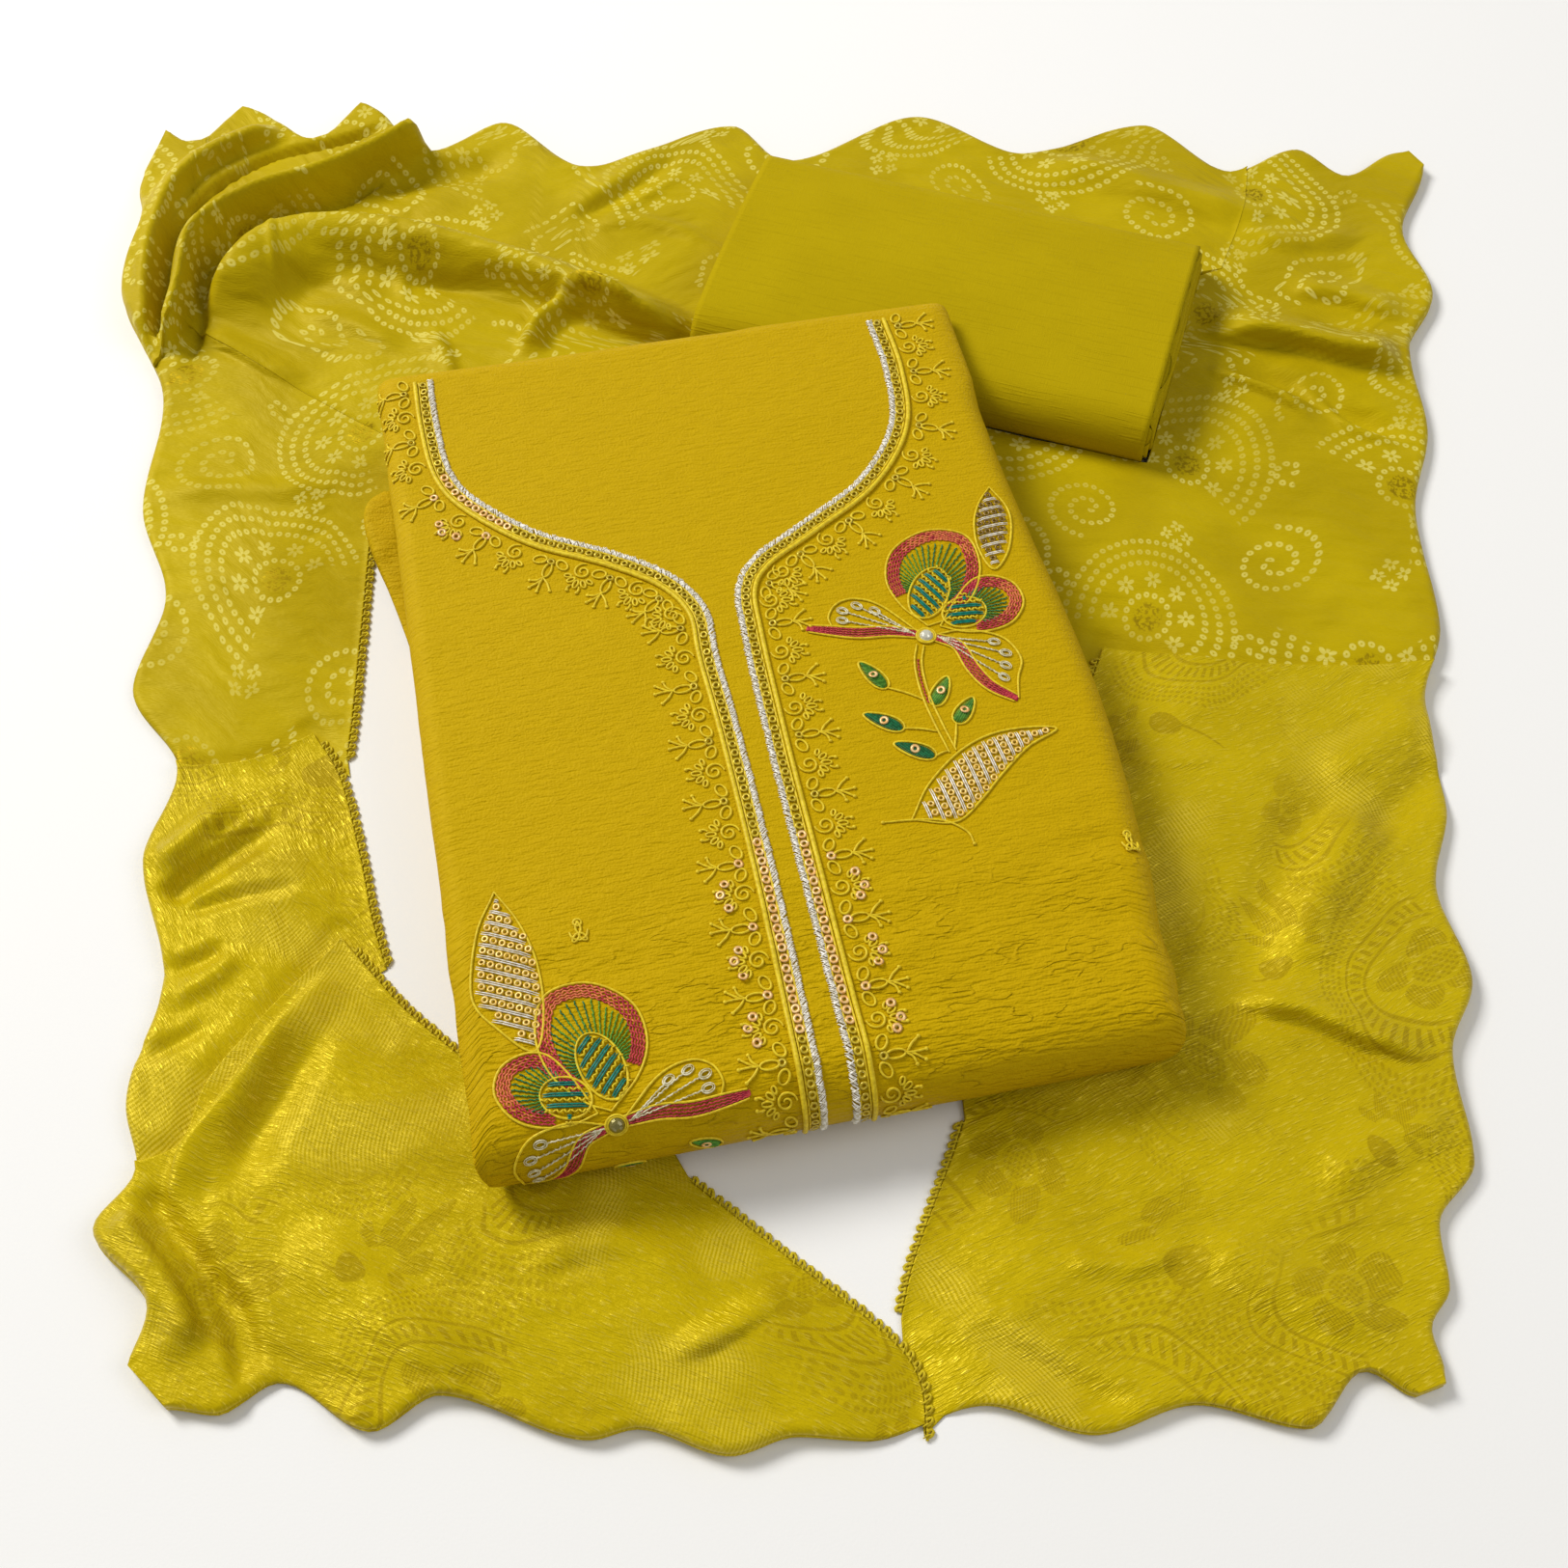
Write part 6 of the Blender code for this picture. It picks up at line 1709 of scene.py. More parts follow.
FINISH = {name: thread_material(name, *row) for name, row in {
    "gold_thread": ((0.8, 0.61, 0.018), (0.64, 0.46, 0.008), 0.42),
    "silver_zari": ((0.98, 0.96, 0.9), (0.66, 0.61, 0.47), 0.3, 0.05),
    "coral_thread": ((0.82, 0.25, 0.085), (0.66, 0.11, 0.08), 0.45),
    "pink_thread": ((0.62, 0.06, 0.075), (0.4, 0.018, 0.045), 0.45),
    "green_thread": ((0.12, 0.36, 0.04), (0.05, 0.22, 0.022), 0.42),
    "deep_green_thread": ((0.018, 0.23, 0.085), (0.01, 0.13, 0.04), 0.42),
    "teal_thread": ((0.003, 0.25, 0.185), (0.002, 0.15, 0.115), 0.35),
    "white_thread": ((0.83, 0.79, 0.58), (0.5, 0.44, 0.22), 0.4),
    "edging_thread": ((0.66, 0.52, 0.006), (0.46, 0.34, 0.004), 0.6),
    "peach_sequin": ((0.93, 0.5, 0.15), (0.96, 0.68, 0.33), 0.25, 0.25, 0.6),
    "dark_sequin": ((0.72, 0.54, 0.03), (0.52, 0.39, 0.02), 0.25, 0.25, 0.6),
    "gold_sequin": ((0.9, 0.56, 0.09), (0.95, 0.7, 0.24), 0.28, 0.25, 0.6),
    # the sequins of the right sequin leaf are gold foil; their dark bronze tone is painted shade on them
    "gold_sequin_painted_shade": ((0.36, 0.23, 0.06), (0.2, 0.12, 0.03), 0.25, 0.45, 0.6),
}.items()}
PALE_GEM, DARK_GEM = (new_material(name, colour, 0.12, Metallic=0.35, Coat_Weight=0.8) for name, colour in (
    ("pale_gem", (0.74, 0.73, 0.6)), ("dark_gem", (0.2, 0.17, 0.035))))
print("finishes", len(FINISH))

# %% A work basket: what is sewn, by kind
SEWN = {        # kind: (radius, sides, taper, finish)
    "zari": (0.00032, 4, 0.5, "silver_zari"), "gold_cord": (0.00054, 6, 0.3, "gold_thread"),
    "gold_stitch": (0.00042, 5, 0.6, "gold_thread"), "pink_stitch": (0.00038, 5, 0.7, "pink_thread"),
    "coral_stitch": (0.00038, 5, 0.7, "coral_thread"), "green_stitch": (0.0003, 5, 0.7, "green_thread"),
    "deep_green_stitch": (0.00032, 5, 0.7, "deep_green_thread"),
    "teal_stitch": (0.00045, 5, 0.4, "teal_thread"), "white_stitch": (0.00032, 5, 0.5, "white_thread"),
}
LAID = {        # kind: (tree, radius, hole, thickness, tip, finish)
    "peach_sequins": ("sequins", 0.00205, 0.0007, 0.00028, 0.2, "peach_sequin"),
    "dark_sequins": ("sequins", 0.0019, 0.00065, 0.00028, 0.2, "dark_sequin"),
    "gold_sequins": ("sequins", 0.00158, 0.00058, 0.0003, 0.2, "gold_sequin"),
    # gold foil sequins of the right sequin leaf, darkened with painted shade
    "gold_sequins_painted_shade": ("sequins", 0.00158, 0.00058, 0.0003, 0.2, "gold_sequin_painted_shade"),
    "gold_knots": ("knots", 0.00085, None, None, 0.1, "gold_thread"),
}
sewn = {kind: [] for kind in SEWN}
laid = {kind: ([], []) for kind in LAID}
chance = np.random.default_rng(7)
SEW_STEP = 0.001                # from point to point of a path that is sewn on
DIVE = [-0.1, 1.0, 1.0, -0.1]   # how high a short stitch lies from end to end, as a share of its lift
DIVE_AT = [0.0, 0.2, 0.8, 1.0]


def sew(kind, paths, lift=0.0004):
    """Sew threads of one kind along flat paths on the panel; a stitch of few points dives in at its ends."""
    for path in paths:
        path = np.asarray(path, float)
        if len(path) < 2:
            continue
        if len(path) < 5:
            path = np.array([path[0] + (path[-1] - path[0]) * u for u in DIVE_AT])
            lifts = np.array(DIVE) * lift
        else:
            lifts = np.full(len(path), lift)
        sewn[kind].append(on_panel(path, lifts)[0])


def lay(kind, spots, lift=0.0005):
    """Lay sequins or knots at flat spots on the panel."""
    if len(spots):
        points, up = on_panel(spots, lift)
        laid[kind][0].extend(points)
        laid[kind][1].extend(up)


def oval(middle, half, turn=0.0, step=0.0009):
    """A closed oval path; half is its half length and half width, turn its angle."""
    around = 2 * math.pi * math.hypot(*half) / math.sqrt(2)
    a = np.linspace(0, 2 * math.pi, max(10, math.ceil(around / step)))
    return turned(middle, turn, np.column_stack([half[0] * np.cos(a), half[1] * np.sin(a)]))


def closed_path(points):
    """A smooth closed path through the points, with a corner at the first of them."""
    return smooth_path([*points, points[0]], SEW_STEP)


print("work basket ready")

# %% [markdown]
# ## The neckline
# The neckline is a band of silver thread in short slanted stitches, a row of sequins between two cords, a
# thick cord, and sprigs of thinner cord outside it. Each is drawn flat on the panel and then lifted on to it,
# so that it follows the creases of the silk and goes on round the front fold.

# %% The neckline's shapes
NECK_LEFT = metres([
    (-1085, 1830), (-1085, 1570), (-1055, 1280), (-950, 1090), (-720, 870), (-410, 690), (-190, 520),
    (-80, 320), (-75, 70), (-55, -330), (-40, -880), (-35, -1390), (-35, -1780), (-35, -2140)])
NECK_RIGHT = metres([
    (940, 1830), (950, 1510), (900, 1190), (700, 910), (400, 710), (160, 560), (50, 400), (30, 150),
    (30, -390), (40, -930), (50, -1400), (60, -1760), (60, -2140)])
ZARI_FROM, ZARI_TO = 0.0002, 0.0031         # out from the inner edge
SPRIG_SCALE = 1.12
SEQUINS_AT, CORD_AT, CORD_RADIUS = 0.005, 0.0086, 0.00105
ZARI_PITCH, SEQUIN_PITCH, SPRIG_STEP = 0.00085, 0.0043, 0.01425
# Sprigs, in tenths of a millimetre out from the cord and along it. A loop is an oval: its middle, its half
# length and half width, and its turn in radians. A frond is a path that ends in a knot.
FLOWER_SPRIG = {
    "loops": [(82, 0, 33, 15, 0.0), (40, 46, 27, 18, 1.15), (42, -46, 26, 18, -1.05)],
    "fronds": [[(112, 0), (145, 4), (186, 2)], [(118, 3), (138, 20), (146, 46)],
               [(132, 4), (152, 16), (178, 36)], [(122, -2), (140, -24), (168, -44)]],
    "spiral": False, "sequins": [(40, 0)],
}
SPIRAL_SPRIG = {
    "loops": [(98, 30, 17, 9, 0.8), (112, 6, 19, 9, 0.1), (104, -22, 17, 9, -0.6), (88, -42, 14, 8, -1.2),
              (82, 48, 14, 8, 1.4)],
    "fronds": [[(120, 22), (134, 32), (146, 30)], [(120, -10), (136, -14), (148, -10)]],
    "spiral": True, "sequins": [(105, 50), (128, 12), (108, -46)],
}
SPIRAL_MIDDLE, SPIRAL_OUTER, SPIRAL_INNER, SPIRAL_TURNS = 0.0048, 0.0038, 0.0008, 1.45


print("neckline from", len(NECK_LEFT), "and", len(NECK_RIGHT), "points")

# %% Sprigs
def spiral_path():
    a = np.linspace(0, 2 * math.pi * SPIRAL_TURNS, 30)
    reach = SPIRAL_OUTER + (SPIRAL_INNER - SPIRAL_OUTER) * (a / a[-1]) ** 0.85
    return np.column_stack([SPIRAL_MIDDLE - reach * np.cos(a), reach * np.sin(a)])


def has_peach(side, t):
    """Where the sequins of the neckline are peach and not dark gold."""
    return -0.168 < t < -0.083 or (side < 0 and 0.09 < t < 0.125)


def cord(path, lift=0.0004):
    sew("gold_cord", [path], lift)


def sew_sprig(design, base, out, along, side, peach):
    """Sew one sprig: base is on the cord, out and along are its two directions on the cloth."""
    def placed(path):
        path = np.atleast_2d(path) * SPRIG_SCALE
        return base + path[:, :1] * out + side * path[:, 1:] * along

    for u, v, long, wide, turn in design["loops"]:
        cord(placed(oval(metres((u, v)), metres((long, wide)), turn, 0.0008)))
    fronds = metres(design["fronds"])
    for frond in fronds:
        cord(placed(smooth_path(frond, 0.0009)))
    lay("gold_knots", placed([frond[-1] for frond in fronds]), 0.0004)
    if design["spiral"]:
        cord(placed(spiral_path()))
    if peach or not design["spiral"]:
        lay("peach_sequins" if peach else "dark_sequins", placed(metres(design["sequins"])),
            0.0009 if design["spiral"] else 0.0008)


print("a spiral of", len(spiral_path()), "points")

# %% Sewing the neckline
def sew_neckline(inner_edge, side):
    """One half of the neckline; side is -1 or 1, the way its outside faces."""
    line = smooth_path(inner_edge, ZARI_PITCH)
    out = left_normals(line) * side
    if (out[:, 0] * side).mean() < 0:
        out = -out
    along = unit(np.gradient(line, axis=0))
    slant = along * 0.0012
    low, high = line + out * ZARI_FROM, line + out * ZARI_TO
    jitter = chance.normal(0, 0.00016, (len(line), 2))
    for every, lean, lift in ((1, -1, 0.0009), (4, 0.6, 0.0012)):
        shift = lean * slant
        sew("zari", list(np.stack([low + shift + jitter, high - shift + jitter], axis=1)[::every]), lift)
    for p in (line + out * SEQUINS_AT)[2::round(SEQUIN_PITCH / ZARI_PITCH)]:
        lay("peach_sequins" if has_peach(side, p[1]) else "dark_sequins", [p], 0.0007)
    for edge_at in (SEQUINS_AT - 0.0019, SEQUINS_AT + 0.0019):
        cord(line[::2] + out[::2] * edge_at, 0.0003)
    run = np.arange(SPRIG_STEP * 0.4, ZARI_PITCH * (len(line) - 1) - 0.004, SPRIG_STEP)
    for k, distance in enumerate(run):
        i = min(len(line) - 1, round(distance / ZARI_PITCH))
        base, peach = line[i] + out[i] * (CORD_AT + CORD_RADIUS), has_peach(side, line[i][1])
        sew_sprig(SPIRAL_SPRIG if k % 2 else FLOWER_SPRIG, base, out[i], along[i], side, peach)
    return on_panel(line[::2] + out[::2] * CORD_AT, 0.0007)[0]


NECK_CORDS = {"left": sew_neckline(NECK_LEFT, -1), "right": sew_neckline(NECK_RIGHT, 1)}
for label, path in NECK_CORDS.items():
    piece = add_threads(f"neck_cord_{label}", [path], CORD_RADIUS, 8, 0.0, FINISH["gold_thread"])
    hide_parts(f"neck_braid_{label}")
print("neckline", {kind: len(paths) for kind, paths in sewn.items() if paths})

# %% [markdown]
# ## Flowers on the kameez
# The flowers are worked in short dense stitches inside corded outlines. A bump texture could stand for them,
# but real stitches catch the light one by one, so each is a thread here: slanted rows along a petal's rim,
# rays round its middle, and stripes that fill what is left.

# %% Filling shapes with stitches
def inset_path(path, distance):
    """A closed path moved inwards."""
    side = 1 if area(path) > 0 else -1
    return path + left_normals(path) * side * distance


def chain(path, pitch=0.00115, reach=0.0019, slant=0.45):
    """Short overlapping stitches along a path, slanted to either side by turns."""
    line = spaced(np.array(path), pitch)
    found = []
    for k, (p, way) in enumerate(zip(line, unit(np.gradient(line, axis=0)))):
        half = turned((0, 0), slant * (1 if k % 2 else -1) + chance.normal(0, 0.12), way)[0] * reach / 2
        found.append([p - half, p + half])
    return found


def crossings_with(path, start, way):
    """How far along a straight line it crosses a closed path, in order."""
    a, b = path, np.roll(path, -1, axis=0)
    across = np.array([-way[1], way[0]])
    da, db = (a - start) @ across, (b - start) @ across
    hit = (da > 0) != (db > 0)
    share = da[hit] / (da[hit] - db[hit])
    return np.sort((a[hit] + (b[hit] - a[hit]) * share[:, None] - start) @ way)


def stripes(path, turn, pitch, margin=0.0005):
    """Straight runs across a closed shape, side by side."""
    way = np.array([math.cos(turn), math.sin(turn)])
    across = np.array([-way[1], way[0]])
    reach = path @ across
    runs = []
    for level in np.arange(reach.min() + 0.5 * pitch, reach.max(), pitch):
        start = across * level
        cuts = crossings_with(path, start, way)
        for low, high in zip(cuts[::2], cuts[1::2]):
            if high - low > 2 * margin + 0.001:
                runs.append((start + way * (low + margin), start + way * (high - margin)))
    return runs


RAY_RIM = 0.007         # how far short of the rim the rays stay


def rays(path, inner, middle, count, reach):
    """Lines that fan out from an inner shape to a path's rim: reach is two shares of the way there."""
    found = []
    for turn in np.linspace(0, 2 * math.pi, count, endpoint=False):
        way = np.array([math.cos(turn), math.sin(turn)])
        near, far = crossings_with(inner, middle, way), crossings_with(path, middle, way)
        near, far = near[near > 0], far[far > 0]
        if len(near) and len(far) and far[-1] - RAY_RIM - near[-1] > 0.001:
            gap = far[-1] - RAY_RIM - near[-1]
            jitter = chance.uniform(-0.06, 0.06)
            low, high = near[-1] + gap * reach[0], near[-1] + gap * (reach[1] + jitter)
            found.append([middle + way * low, middle + way * high])
    return found


def along_run(start, end, pitch):
    """Evenly spaced spots on a straight line, half a step in from its ends."""
    count = max(1, int(np.linalg.norm(end - start) / pitch))
    return [start + (end - start) * (k + 0.5) / count for k in range(count)]


print("fillings ready")

# %% The flowers' shapes
# Shapes in millimetres from the flower's centre, across the panel and along it; the flower leans right.
MM = 0.001
PETALS = [      # (outline, share of it that each tip takes, the oval in it, its turn, turn of its stripes)
    ([(2, 5), (-7, 18), (-10, 32.5), (-3.5, 47.5), (13.5, 55.5), (29.5, 50), (32, 34), (25, 18), (12, 8)],
     0.14, ((6.5, 22.0), (14.2, 8.2)), 1.05, -1.05),
    ([(7, 4), (18, 18), (27, 26), (36, 26.5), (44, 21), (45.5, 11), (39, 2), (29, -1.5), (17, -0.5)], 0.22,
     ((19.0, 9.6), (9.8, 7.6)), 0.25, -0.05),
]
WINGS = [       # (outline, band along it, beads)
    ([(-3, 3), (-15.5, 19), (-26, 24.5), (-34, 23), (-38.5, 17), (-38, 11.5)],
     [(-3, 1.5), (-15, 5), (-28, 6.5), (-40, 10), (-48, 12.5)],
     [(-33.2, 14.0), (-32.0, 19.0), (-25.5, 20.5), (-18.5, 16.5)]),
    ([(4, 0), (16, 0.5), (28, -3.5), (34, -9), (36.6, -18.5), (33, -27), (30.5, -37)],
     [(4, -1.5), (12, -7), (15.5, -19), (20.6, -29), (29.5, -37)],
     [(27.6, -7.7), (31.0, -14.2), (29.4, -20.3), (27.2, -26.0)]),
]
STEM = [(-3.5, -4), (-6.5, -13), (-7.2, -25.5), (-5.8, -40), (-2.6, -57.5)]
STEM_HALF = 1.5
LEAVES = [      # (middle, turn in degrees, length, where its stalk meets the stem, thread)
    ((-26.3, -15.3), 122, 17, (-8.2, -31), "green_stitch"),
    ((-27.0, -38.4), 147, 18, (-6.8, -47), "deep_green_stitch"),
    ((-17.5, -54.0), 151, 18, (-4.6, -57), "deep_green_stitch"),
    ((-0.5, -28.0), 56, 16, (-5.2, -36), "green_stitch"), ((7.0, -39.0), 49, 15, (-1.5, -56), "green_stitch"),
]
LEAF_HALF_WIDTH = 4.5
CRESCENT = [(-26.4, -85.8), (-15, -70), (2.7, -56.6), (21, -51.5), (42, -54), (28, -61), (14, -72), (3, -82),
            (-9.5, -90)]
CURL = [(-38, -85), (-26, -86), (-14, -88.5), (-6, -95), (-4.5, -101)]
SEQUIN_LEAF = [(46.7, 75), (51.5, 63), (50.8, 52), (45.5, 38), (37.2, 30), (33.5, 42), (35, 56), (40, 67)]
LEFT_SEQUIN_LEAF = [(-113.6, -84.9), (-122.5, -102), (-127.3, -128), (-119, -143), (-106.7, -154.1),
                    (-101.4, -138), (-101.4, -118), (-106, -100)]
RIM_ROWS = (0.0013, 0.0024, 0.0035, 0.0046, 0.0056)     # rows of stitches inside a petal's rim
RAY_CHAIN = (0.0014, 0.0017, 0.25)                      # pitch, reach and slant of the stitches of a ray
BAND_ROWS = (-1.0, -0.33, 0.33, 1.0)
RIGHT_FLOWER = ((0.0795, 0.0006), 1, 0.0)
LEFT_FLOWER = ((-0.0815, -0.1876), -1, -0.204)


print("petals", len(PETALS), "wings", len(WINGS), "leaves", len(LEAVES))

# %% Leaves and striped fillings
def sew_leaf(middle, turn, size, kind):
    """A leaf, rounded at its base and pointed at its tip, filled with slanted stitches."""
    a = np.linspace(0, 2 * math.pi, 26)
    wide = LEAF_HALF_WIDTH * MM * np.sin(a) * (1 - 0.45 * (0.5 - 0.5 * np.cos(a)))
    path = turned(middle, turn, np.column_stack([-np.cos(a) * size / 2, wide]))
    cord(path, 0.0003)
    sew(kind, stripes(inset_path(path, 0.0005), turn + 0.75, 0.00062, 0.0001), 0.0006)
    lay("peach_sequins", [middle], 0.0011)


def sew_striped(path, turn, pitch, thread, beads, half=0.00042):
    """A shape filled with pairs of threads, and sequins or short stitches between them."""
    way = np.array([-math.sin(turn), math.cos(turn)])
    for low, high in stripes(path, turn, pitch):
        for shift in (-half * way, half * way):
            sew(thread, [[low + shift, high + shift]], 0.0008)
        low, high = low + way * pitch / 2, high + way * pitch / 2
        if beads:
            lay(beads, [p for p in along_run(low, high, 0.0033) if inside(p[None], path)[0]], 0.0008)
        else:
            sew("gold_stitch", chain([low, high], 0.0014, 0.0018, 0.7), 0.0009)


def sew_sequin_leaf(points, turn, beads):
    path = closed_path(points)
    cord(path)
    sew_striped(inset_path(path, 0.001), turn, 0.0048, "zari", beads)


print("leaf fillings ready")

# %% One flower
def sew_flower(gem, mirror, turn, whole):
    """One flower; mirror is -1 where it leans left, and whole adds its stem, leaves and the leaf below."""
    def placed(points):
        return turned(gem, turn, np.atleast_2d(np.array(points, float)) * MM * np.array([mirror, 1]))

    def angle(value):
        return turn + (value if mirror > 0 else math.pi - value)

    for number, (petal, tip, (middle, half), lean, stripe) in enumerate(PETALS):
        path = closed_path(placed(petal))
        cord(path)
        count = len(path)
        for distance in RIM_ROWS:
            rim = inset_path(path, distance)[round(tip * count):round((1.0 - tip * 0.75) * count)]
            stitches = chain(rim, 0.0013, 0.0019, 0.45)
            share = np.linspace(0, 1, len(stitches)) + chance.normal(0, 0.1, len(stitches))
            coral = (share > 0.3) & (share < 0.68)
            for kind, chosen in (("coral_stitch", coral), ("pink_stitch", ~coral)):
                sew(kind, [stitch for stitch, use in zip(stitches, chosen) if use])
        at, = placed([middle])
        core = oval(at, (half[0] * MM, half[1] * MM), angle(lean))
        for ray in rays(path, core, at, 56, (0.04, 0.9)):
            deep = (ray[1][0] - at[0]) * mirror > 0 or number
            sew("deep_green_stitch" if deep else "green_stitch", chain(ray, *RAY_CHAIN), 0.0005)
        for ray in rays(path, core, at, 28, (0.06, 0.65)):
            sew("green_stitch", chain(ray, *RAY_CHAIN), 0.0006)
        cord(core)
        sew_striped(inset_path(core, 0.0006), angle(stripe), 0.0041, "teal_stitch", None, 0.00045)

    for wing, band, beads in WINGS:
        cord(smooth_path(placed(wing), SEW_STEP))
        middle = smooth_path(placed(band), SEW_STEP)
        across = left_normals(middle)
        share = np.linspace(0, 1, len(middle))
        width = 0.0019 * np.sin(math.pi * np.clip(0.12 + 0.8 * share, 0, 1)) ** 0.6
        for row in BAND_ROWS:
            sew("pink_stitch", chain(middle + across * (row * width)[:, None], 0.0011, 0.0019, 0.3))
        for side in (-1, 1):
            cord(middle + across * (side * (width + 0.0009))[:, None])
        start, = placed([(np.sign(beads[0][0]) * 5, 2.0 if beads[0][1] > 0 else -1.5)])
        for bead in placed(beads):
            lean = math.atan2(bead[1] - start[1], bead[0] - start[0])
            for half in ((0.0025, 0.0017), (0.0018, 0.001)):
                sew("white_stitch", [oval(bead, half, lean, 0.0007)], 0.0006)
            end = bead + (start - bead) * 0.0025 / np.linalg.norm(bead - start)
            sew("white_stitch", chain([start, end], 0.0012, 0.0016, 0.25), 0.0006)

    if whole:
        stem = smooth_path(placed(STEM), SEW_STEP)
        for side in (-1, 1):
            cord(stem + left_normals(stem) * side * STEM_HALF * MM)
        sew("pink_stitch", chain(stem[8:30], 0.0016, 0.0013, 0.3), 0.0003)
        for middle, degrees, size, foot, thread in LEAVES:
            lean = math.radians(degrees)
            sew_leaf(placed([middle])[0], angle(lean), size * MM, thread)
            base = np.array(middle) - np.array([math.cos(lean), math.sin(lean)]) * size / 2
            cord(smooth_path(placed([base, (base + np.array(foot)) / 2 + (0.3, 0.4), foot]), SEW_STEP))
        sew_sequin_leaf(placed(CRESCENT), angle(-1.42), "gold_sequins")
        cord(smooth_path(placed(CURL), SEW_STEP))
        lay("gold_knots", placed([CURL[0], CURL[-1]]), 0.0004)
    for half in ((0.0041, 0.0037), (0.0033, 0.003)):
        cord(oval(gem, half), 0.0006)


print("flower ready")

# %% Sewing the flowers
def sew_butti(at):
    """A small sprig of one knot and three petals."""
    at = np.array(at)
    for turn, side in ((0.9, -1), (1.57, 1), (2.24, -1)):
        way = np.array([math.cos(turn), -math.sin(turn)])
        cord(oval(at - way * 0.0022 * side, (0.0021, 0.001), -turn, 0.0008))
    for side in (-1, 1):
        foot, bend, tip = at + (0, -0.003), at + (side * 0.0026, -0.0018), at + (side * 0.0036, 0.001)
        cord(smooth_path([foot, bend, tip], 0.0008))
    cord(oval(at + (0, 0.0046), (0.0016, 0.0015), 0.0, 0.0007))
    lay("gold_knots", [at + (0, 0.0046)], 0.0004)


sew_flower(*RIGHT_FLOWER, whole=True)
sew_flower(*LEFT_FLOWER, whole=False)
sew_sequin_leaf([((x + 79.5) * MM, (y + 0.6) * MM) for x, y in SEQUIN_LEAF], 0.1, "gold_sequins_painted_shade")
sew_sequin_leaf(np.array(LEFT_SEQUIN_LEAF) * MM, -0.45, "gold_sequins")
for at, turn, size in (((-0.05, -0.2035), 2.7, 0.013), ((-0.079, -0.212), 2.9, 0.012)):
    sew_leaf(at, turn, size, "green_stitch")
for at in ((-0.0838, -0.1093), (0.1365, -0.1109)):
    sew_butti(at)


print("flowers", {kind: len(paths) for kind, paths in sewn.items() if paths})

# %% Cut stones
GEM_RADIUS, GEM_FACETS = 0.0029, 12
GEM_LEVELS = [(1.0, 0.0), (1.0, 0.0006), (0.72, 0.0016), (0.38, 0.0021)]      # (share of the radius, height)


def add_gem(name, at, material):
    """A round cut stone: a low dome of flat facets."""
    (place,), (up,) = on_panel([at], 0.0004)
    up = Vector(up)
    side = up.orthogonal().normalized()
    other = up.cross(side)
    turns = np.linspace(0, 2 * math.pi, GEM_FACETS, endpoint=False)
    verts = [Vector(place) + (side * math.cos(a) + other * math.sin(a)) * GEM_RADIUS * share + up * rise
             for share, rise in GEM_LEVELS for a in turns]
    rings = range(0, len(verts), GEM_FACETS)
    faces = [tuple(reversed(range(GEM_FACETS))), tuple(range(rings[-1], len(verts)))]
    for below, above in zip(rings, rings[1:]):
        faces += flipped(ring_faces(below, above, GEM_FACETS))
    add_piece(name, [tuple(v) for v in verts], faces, material).data.shade_flat()


add_gem("gem_right", RIGHT_FLOWER[0], PALE_GEM)
add_gem("gem_left", LEFT_FLOWER[0], DARK_GEM)
print("stones with", GEM_FACETS, "facets round")

# %% [markdown]
# ## The dupatta's edging
# A loose end of a dupatta is often finished with a thick stitched edging: slanted loops of thread over the
# raw edge, drawn together on the cloth's side. A cord along the edge and one loop after another beside it
# give both the holes along the cloth and the scalloped outside.

# %% The edging on each trimmed edge
LOOP_PITCH, LOOP_WIDTH, LOOP_SLANT = 0.004, 0.0021, 0.0012
LOOP_FROM, LOOP_TO, LOOP_RADIUS = 0.0004, 0.003, 0.0007
HEM_AT, HEM_RADIUS, STITCH_RADIUS = 0.0006, 0.00062, 0.00042
TRIM_STEP = 0.0005
HEM_HEIGHT = HEM_RADIUS + CLEAR_OF_FLOOR


def add_edging(name):
    """Loops of thread along a trimmed edge, on its right-hand side, over a thin cord."""
    _, skip_start, skip_end = TRIMS[name]
    line = spaced(trim_edge(name), TRIM_STEP)
    out, way = -left_normals(line), unit(np.gradient(line, axis=0))
    first, last = round(skip_start / TRIM_STEP), len(line) - round(skip_end / TRIM_STEP)

    def at(k, *rows):
        i = int(np.clip(k, first, last - 1))
        return np.array([(*(line[i] + out[i] * off + way[i] * along), height) for off, along, height in rows])

    hem = np.vstack([at(k, (HEM_AT, 0, HEM_HEIGHT)) for k in range(first, last, 2)])
    loops, stitches = [], []
    half, low, high = LOOP_WIDTH / 2, LOOP_RADIUS + CLEAR_OF_FLOOR, LOOP_RADIUS + 0.0005
    for k in range(first + 4, last - 4, round(LOOP_PITCH / TRIM_STEP)):
        slant = LOOP_SLANT * chance.uniform(0.6, 1.3)
        reach = LOOP_TO * chance.uniform(0.88, 1.0)
        middle, turn = (LOOP_FROM + reach) / 2, reach - 0.0004
        loops.append(at(
            k, (LOOP_FROM, -half, high), (middle, -half + slant * 0.5, high),
            (turn, -half * 0.8 + slant, low), (reach, slant, low), (turn, half * 0.8 + slant, low),
            (middle, half + slant * 0.5, high), (LOOP_FROM, half, high)))
        stitches.append(at(k, (-0.001, -half * 1.3, LIP - 0.0001), (LOOP_FROM, -half * 0.6, LIP + 0.0003),
                           (0.0016, 0.0, LIP + 0.0001)))
    thread = FINISH["edging_thread"]
    piece = add_threads(f"edging_{name}", [hem, *loops], LOOP_RADIUS, 6, 0.12, thread)
    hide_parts(f"trim_{name}")
    stitch = add_threads(f"edging_stitches_{name}", stitches, STITCH_RADIUS, 5, 0.5, thread)
    return len(loops)


print("edging loops", {name: add_edging(name) for name in TRIMS})

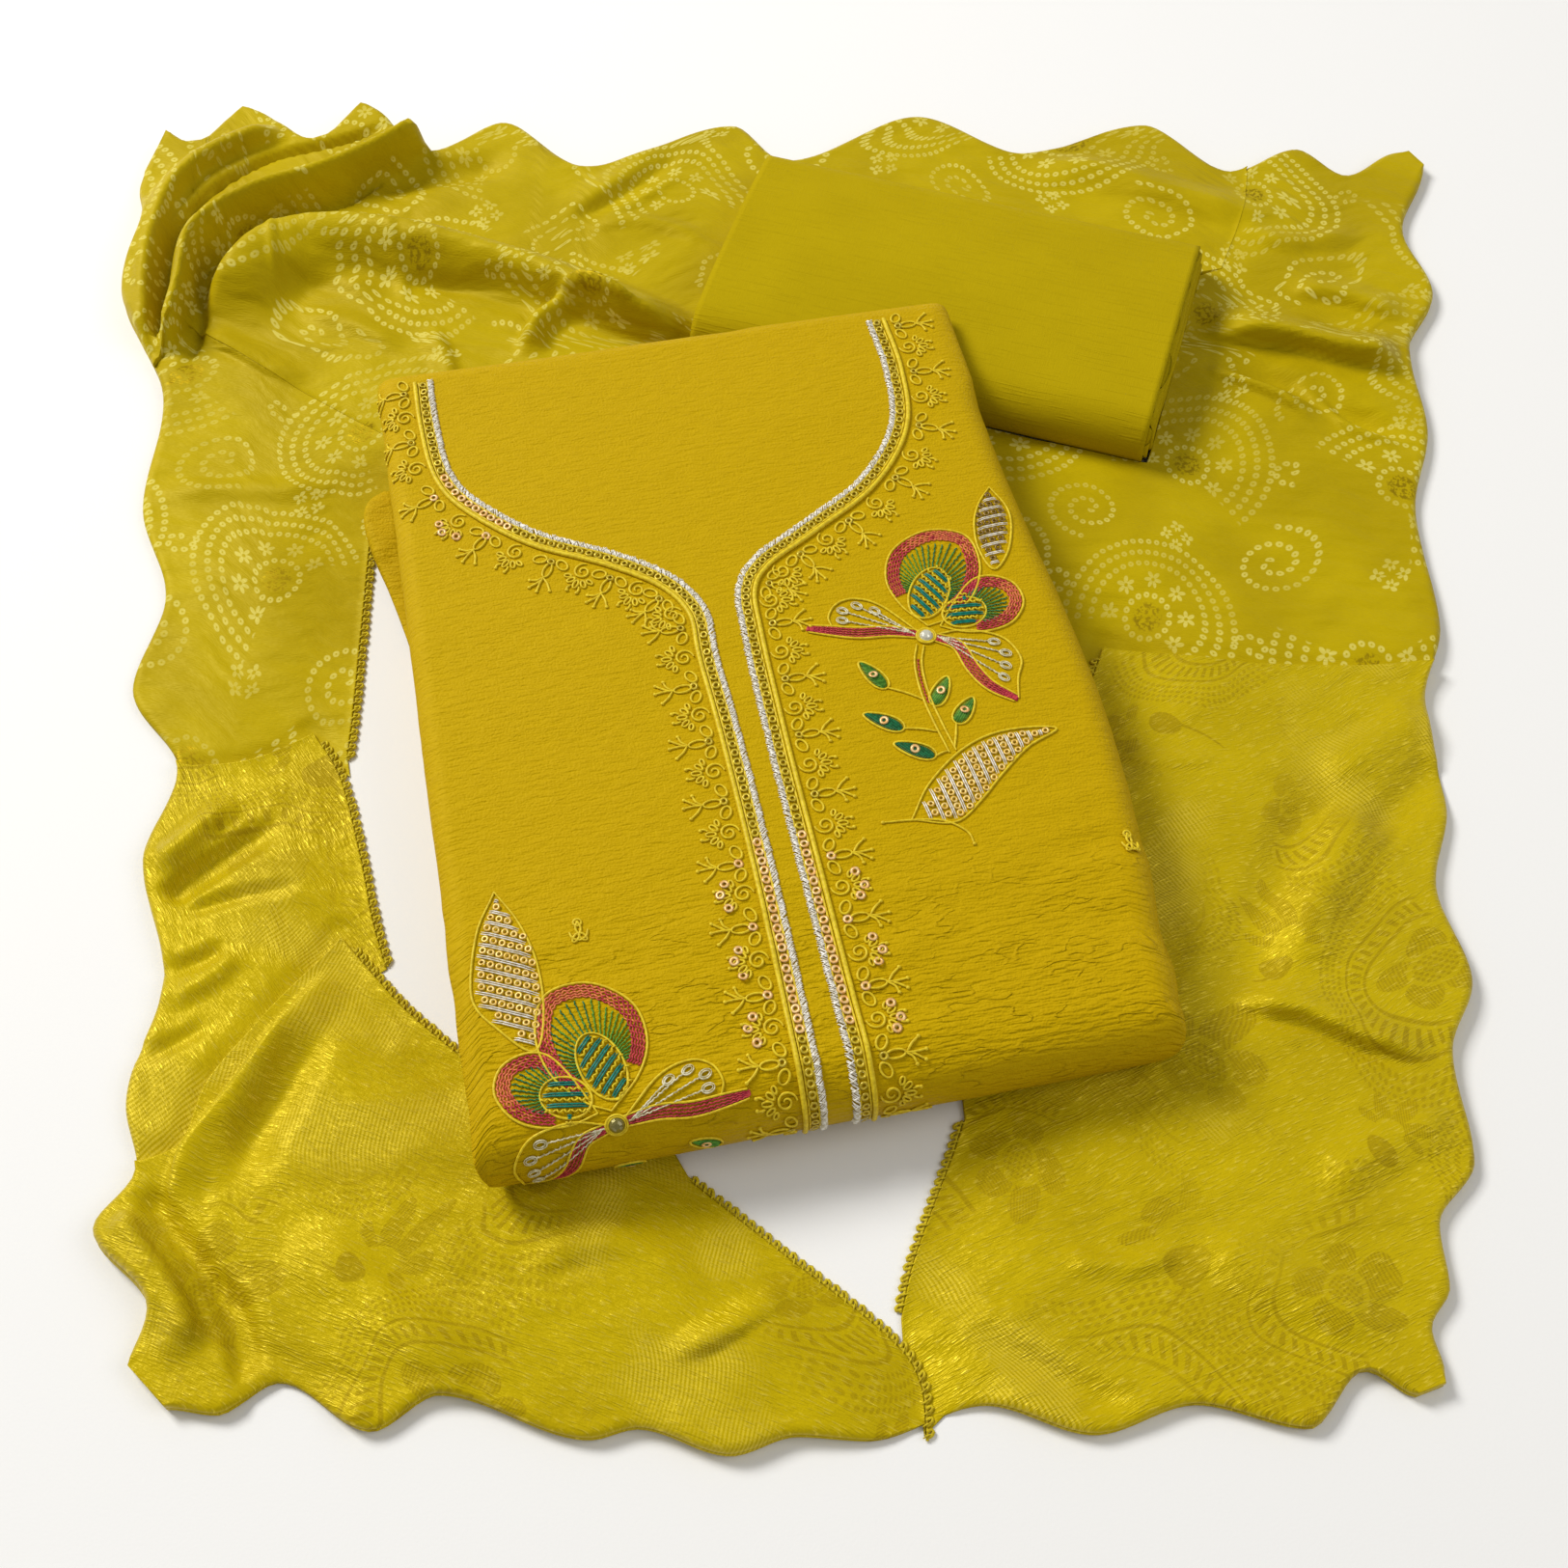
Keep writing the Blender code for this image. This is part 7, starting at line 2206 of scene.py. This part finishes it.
# %% Add what was sewn
for kind, (radius, sides, taper, finish) in SEWN.items():
    if sewn[kind]:
        add_threads(f"sewn_{kind}", sewn[kind], radius, sides, taper, FINISH[finish])
for seed, (kind, (tree_name, radius, hole, thickness, tip, finish)) in enumerate(LAID.items(), 3):
    points, up = laid[kind]
    if points:
        grown(f"laid_{kind}", points, [], tree_name, {
            "Radius": radius, "Hole": hole, "Thickness": thickness, "Tip": tip, "Seed": seed,
            "Material": FINISH[finish]}, up)
print("sewn pieces", sum(bool(v) for v in sewn.values()), "laid", {k: len(v[0]) for k, v in laid.items()})

# %% [markdown]
# ## How large each cloth is
# Each sheet's flat size is worked out here. A stretch of the dupatta is one part of a single sheet, so its flat
# size is that part of it: the surface of its closed mesh, halved because it has two sides, and the smallest
# rectangle round its flat positions.

# %% Flat sizes
def half_surface(piece):
    """Half the area of a closed mesh: the area of the sheet that it shows."""
    return sum(face.area for face in piece.data.polygons) / 2


def smallest_box(points):
    """Width and length of the smallest rectangle round flat positions."""
    found = []
    for turn in np.radians(np.arange(0, 90, 3)):
        c, s = math.cos(turn), math.sin(turn)
        sides = np.ptp(points @ np.array([[c, -s], [s, c]]), axis=0)
        found.append((sides[0] * sides[1], *sorted(sides)))
    return min(found)[1:]


def flat_positions(piece):
    flat = np.empty(2 * len(piece.data.loops), dtype=np.float32)
    piece.data.uv_layers["cloth"].data.foreach_get("uv", flat)
    return flat.reshape(-1, 2)


def declare_sheet(piece, held):
    width, length = (float(side) for side in smallest_box(flat_positions(piece)))
    cloth_area = min(half_surface(piece), width * length)
    return round(width, 3), round(length, 3), round(cloth_area, 4)


sizes = {}
for name, piece in stretches.items():
    "dupatta_jacquard" if "pallu" in name else "dupatta_print"
    sizes[name] = declare_sheet(piece, "gathered" if name == "far_gathers" else "laid")
sizes["kameez_front"] = declare_sheet(kameez_front, "folded")
sizes["kameez_lower"] = declare_sheet(lower_layer, "folded")
wrap_length = SALWAR_LENGTH - LAYERS_SHOW
wrap_round = half_surface(roll_wrap) / wrap_length
sizes["salwar_wrap"] = (round(wrap_length, 3), round(wrap_round, 3))
print("sheets", sizes)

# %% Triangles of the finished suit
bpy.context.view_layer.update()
triangles = {piece.name: sum(len(face.vertices) - 2 for face in piece.data.polygons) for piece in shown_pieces()}
print("triangles", sum(triangles.values()), sorted(triangles.items(), key=lambda row: -row[1])[:8])
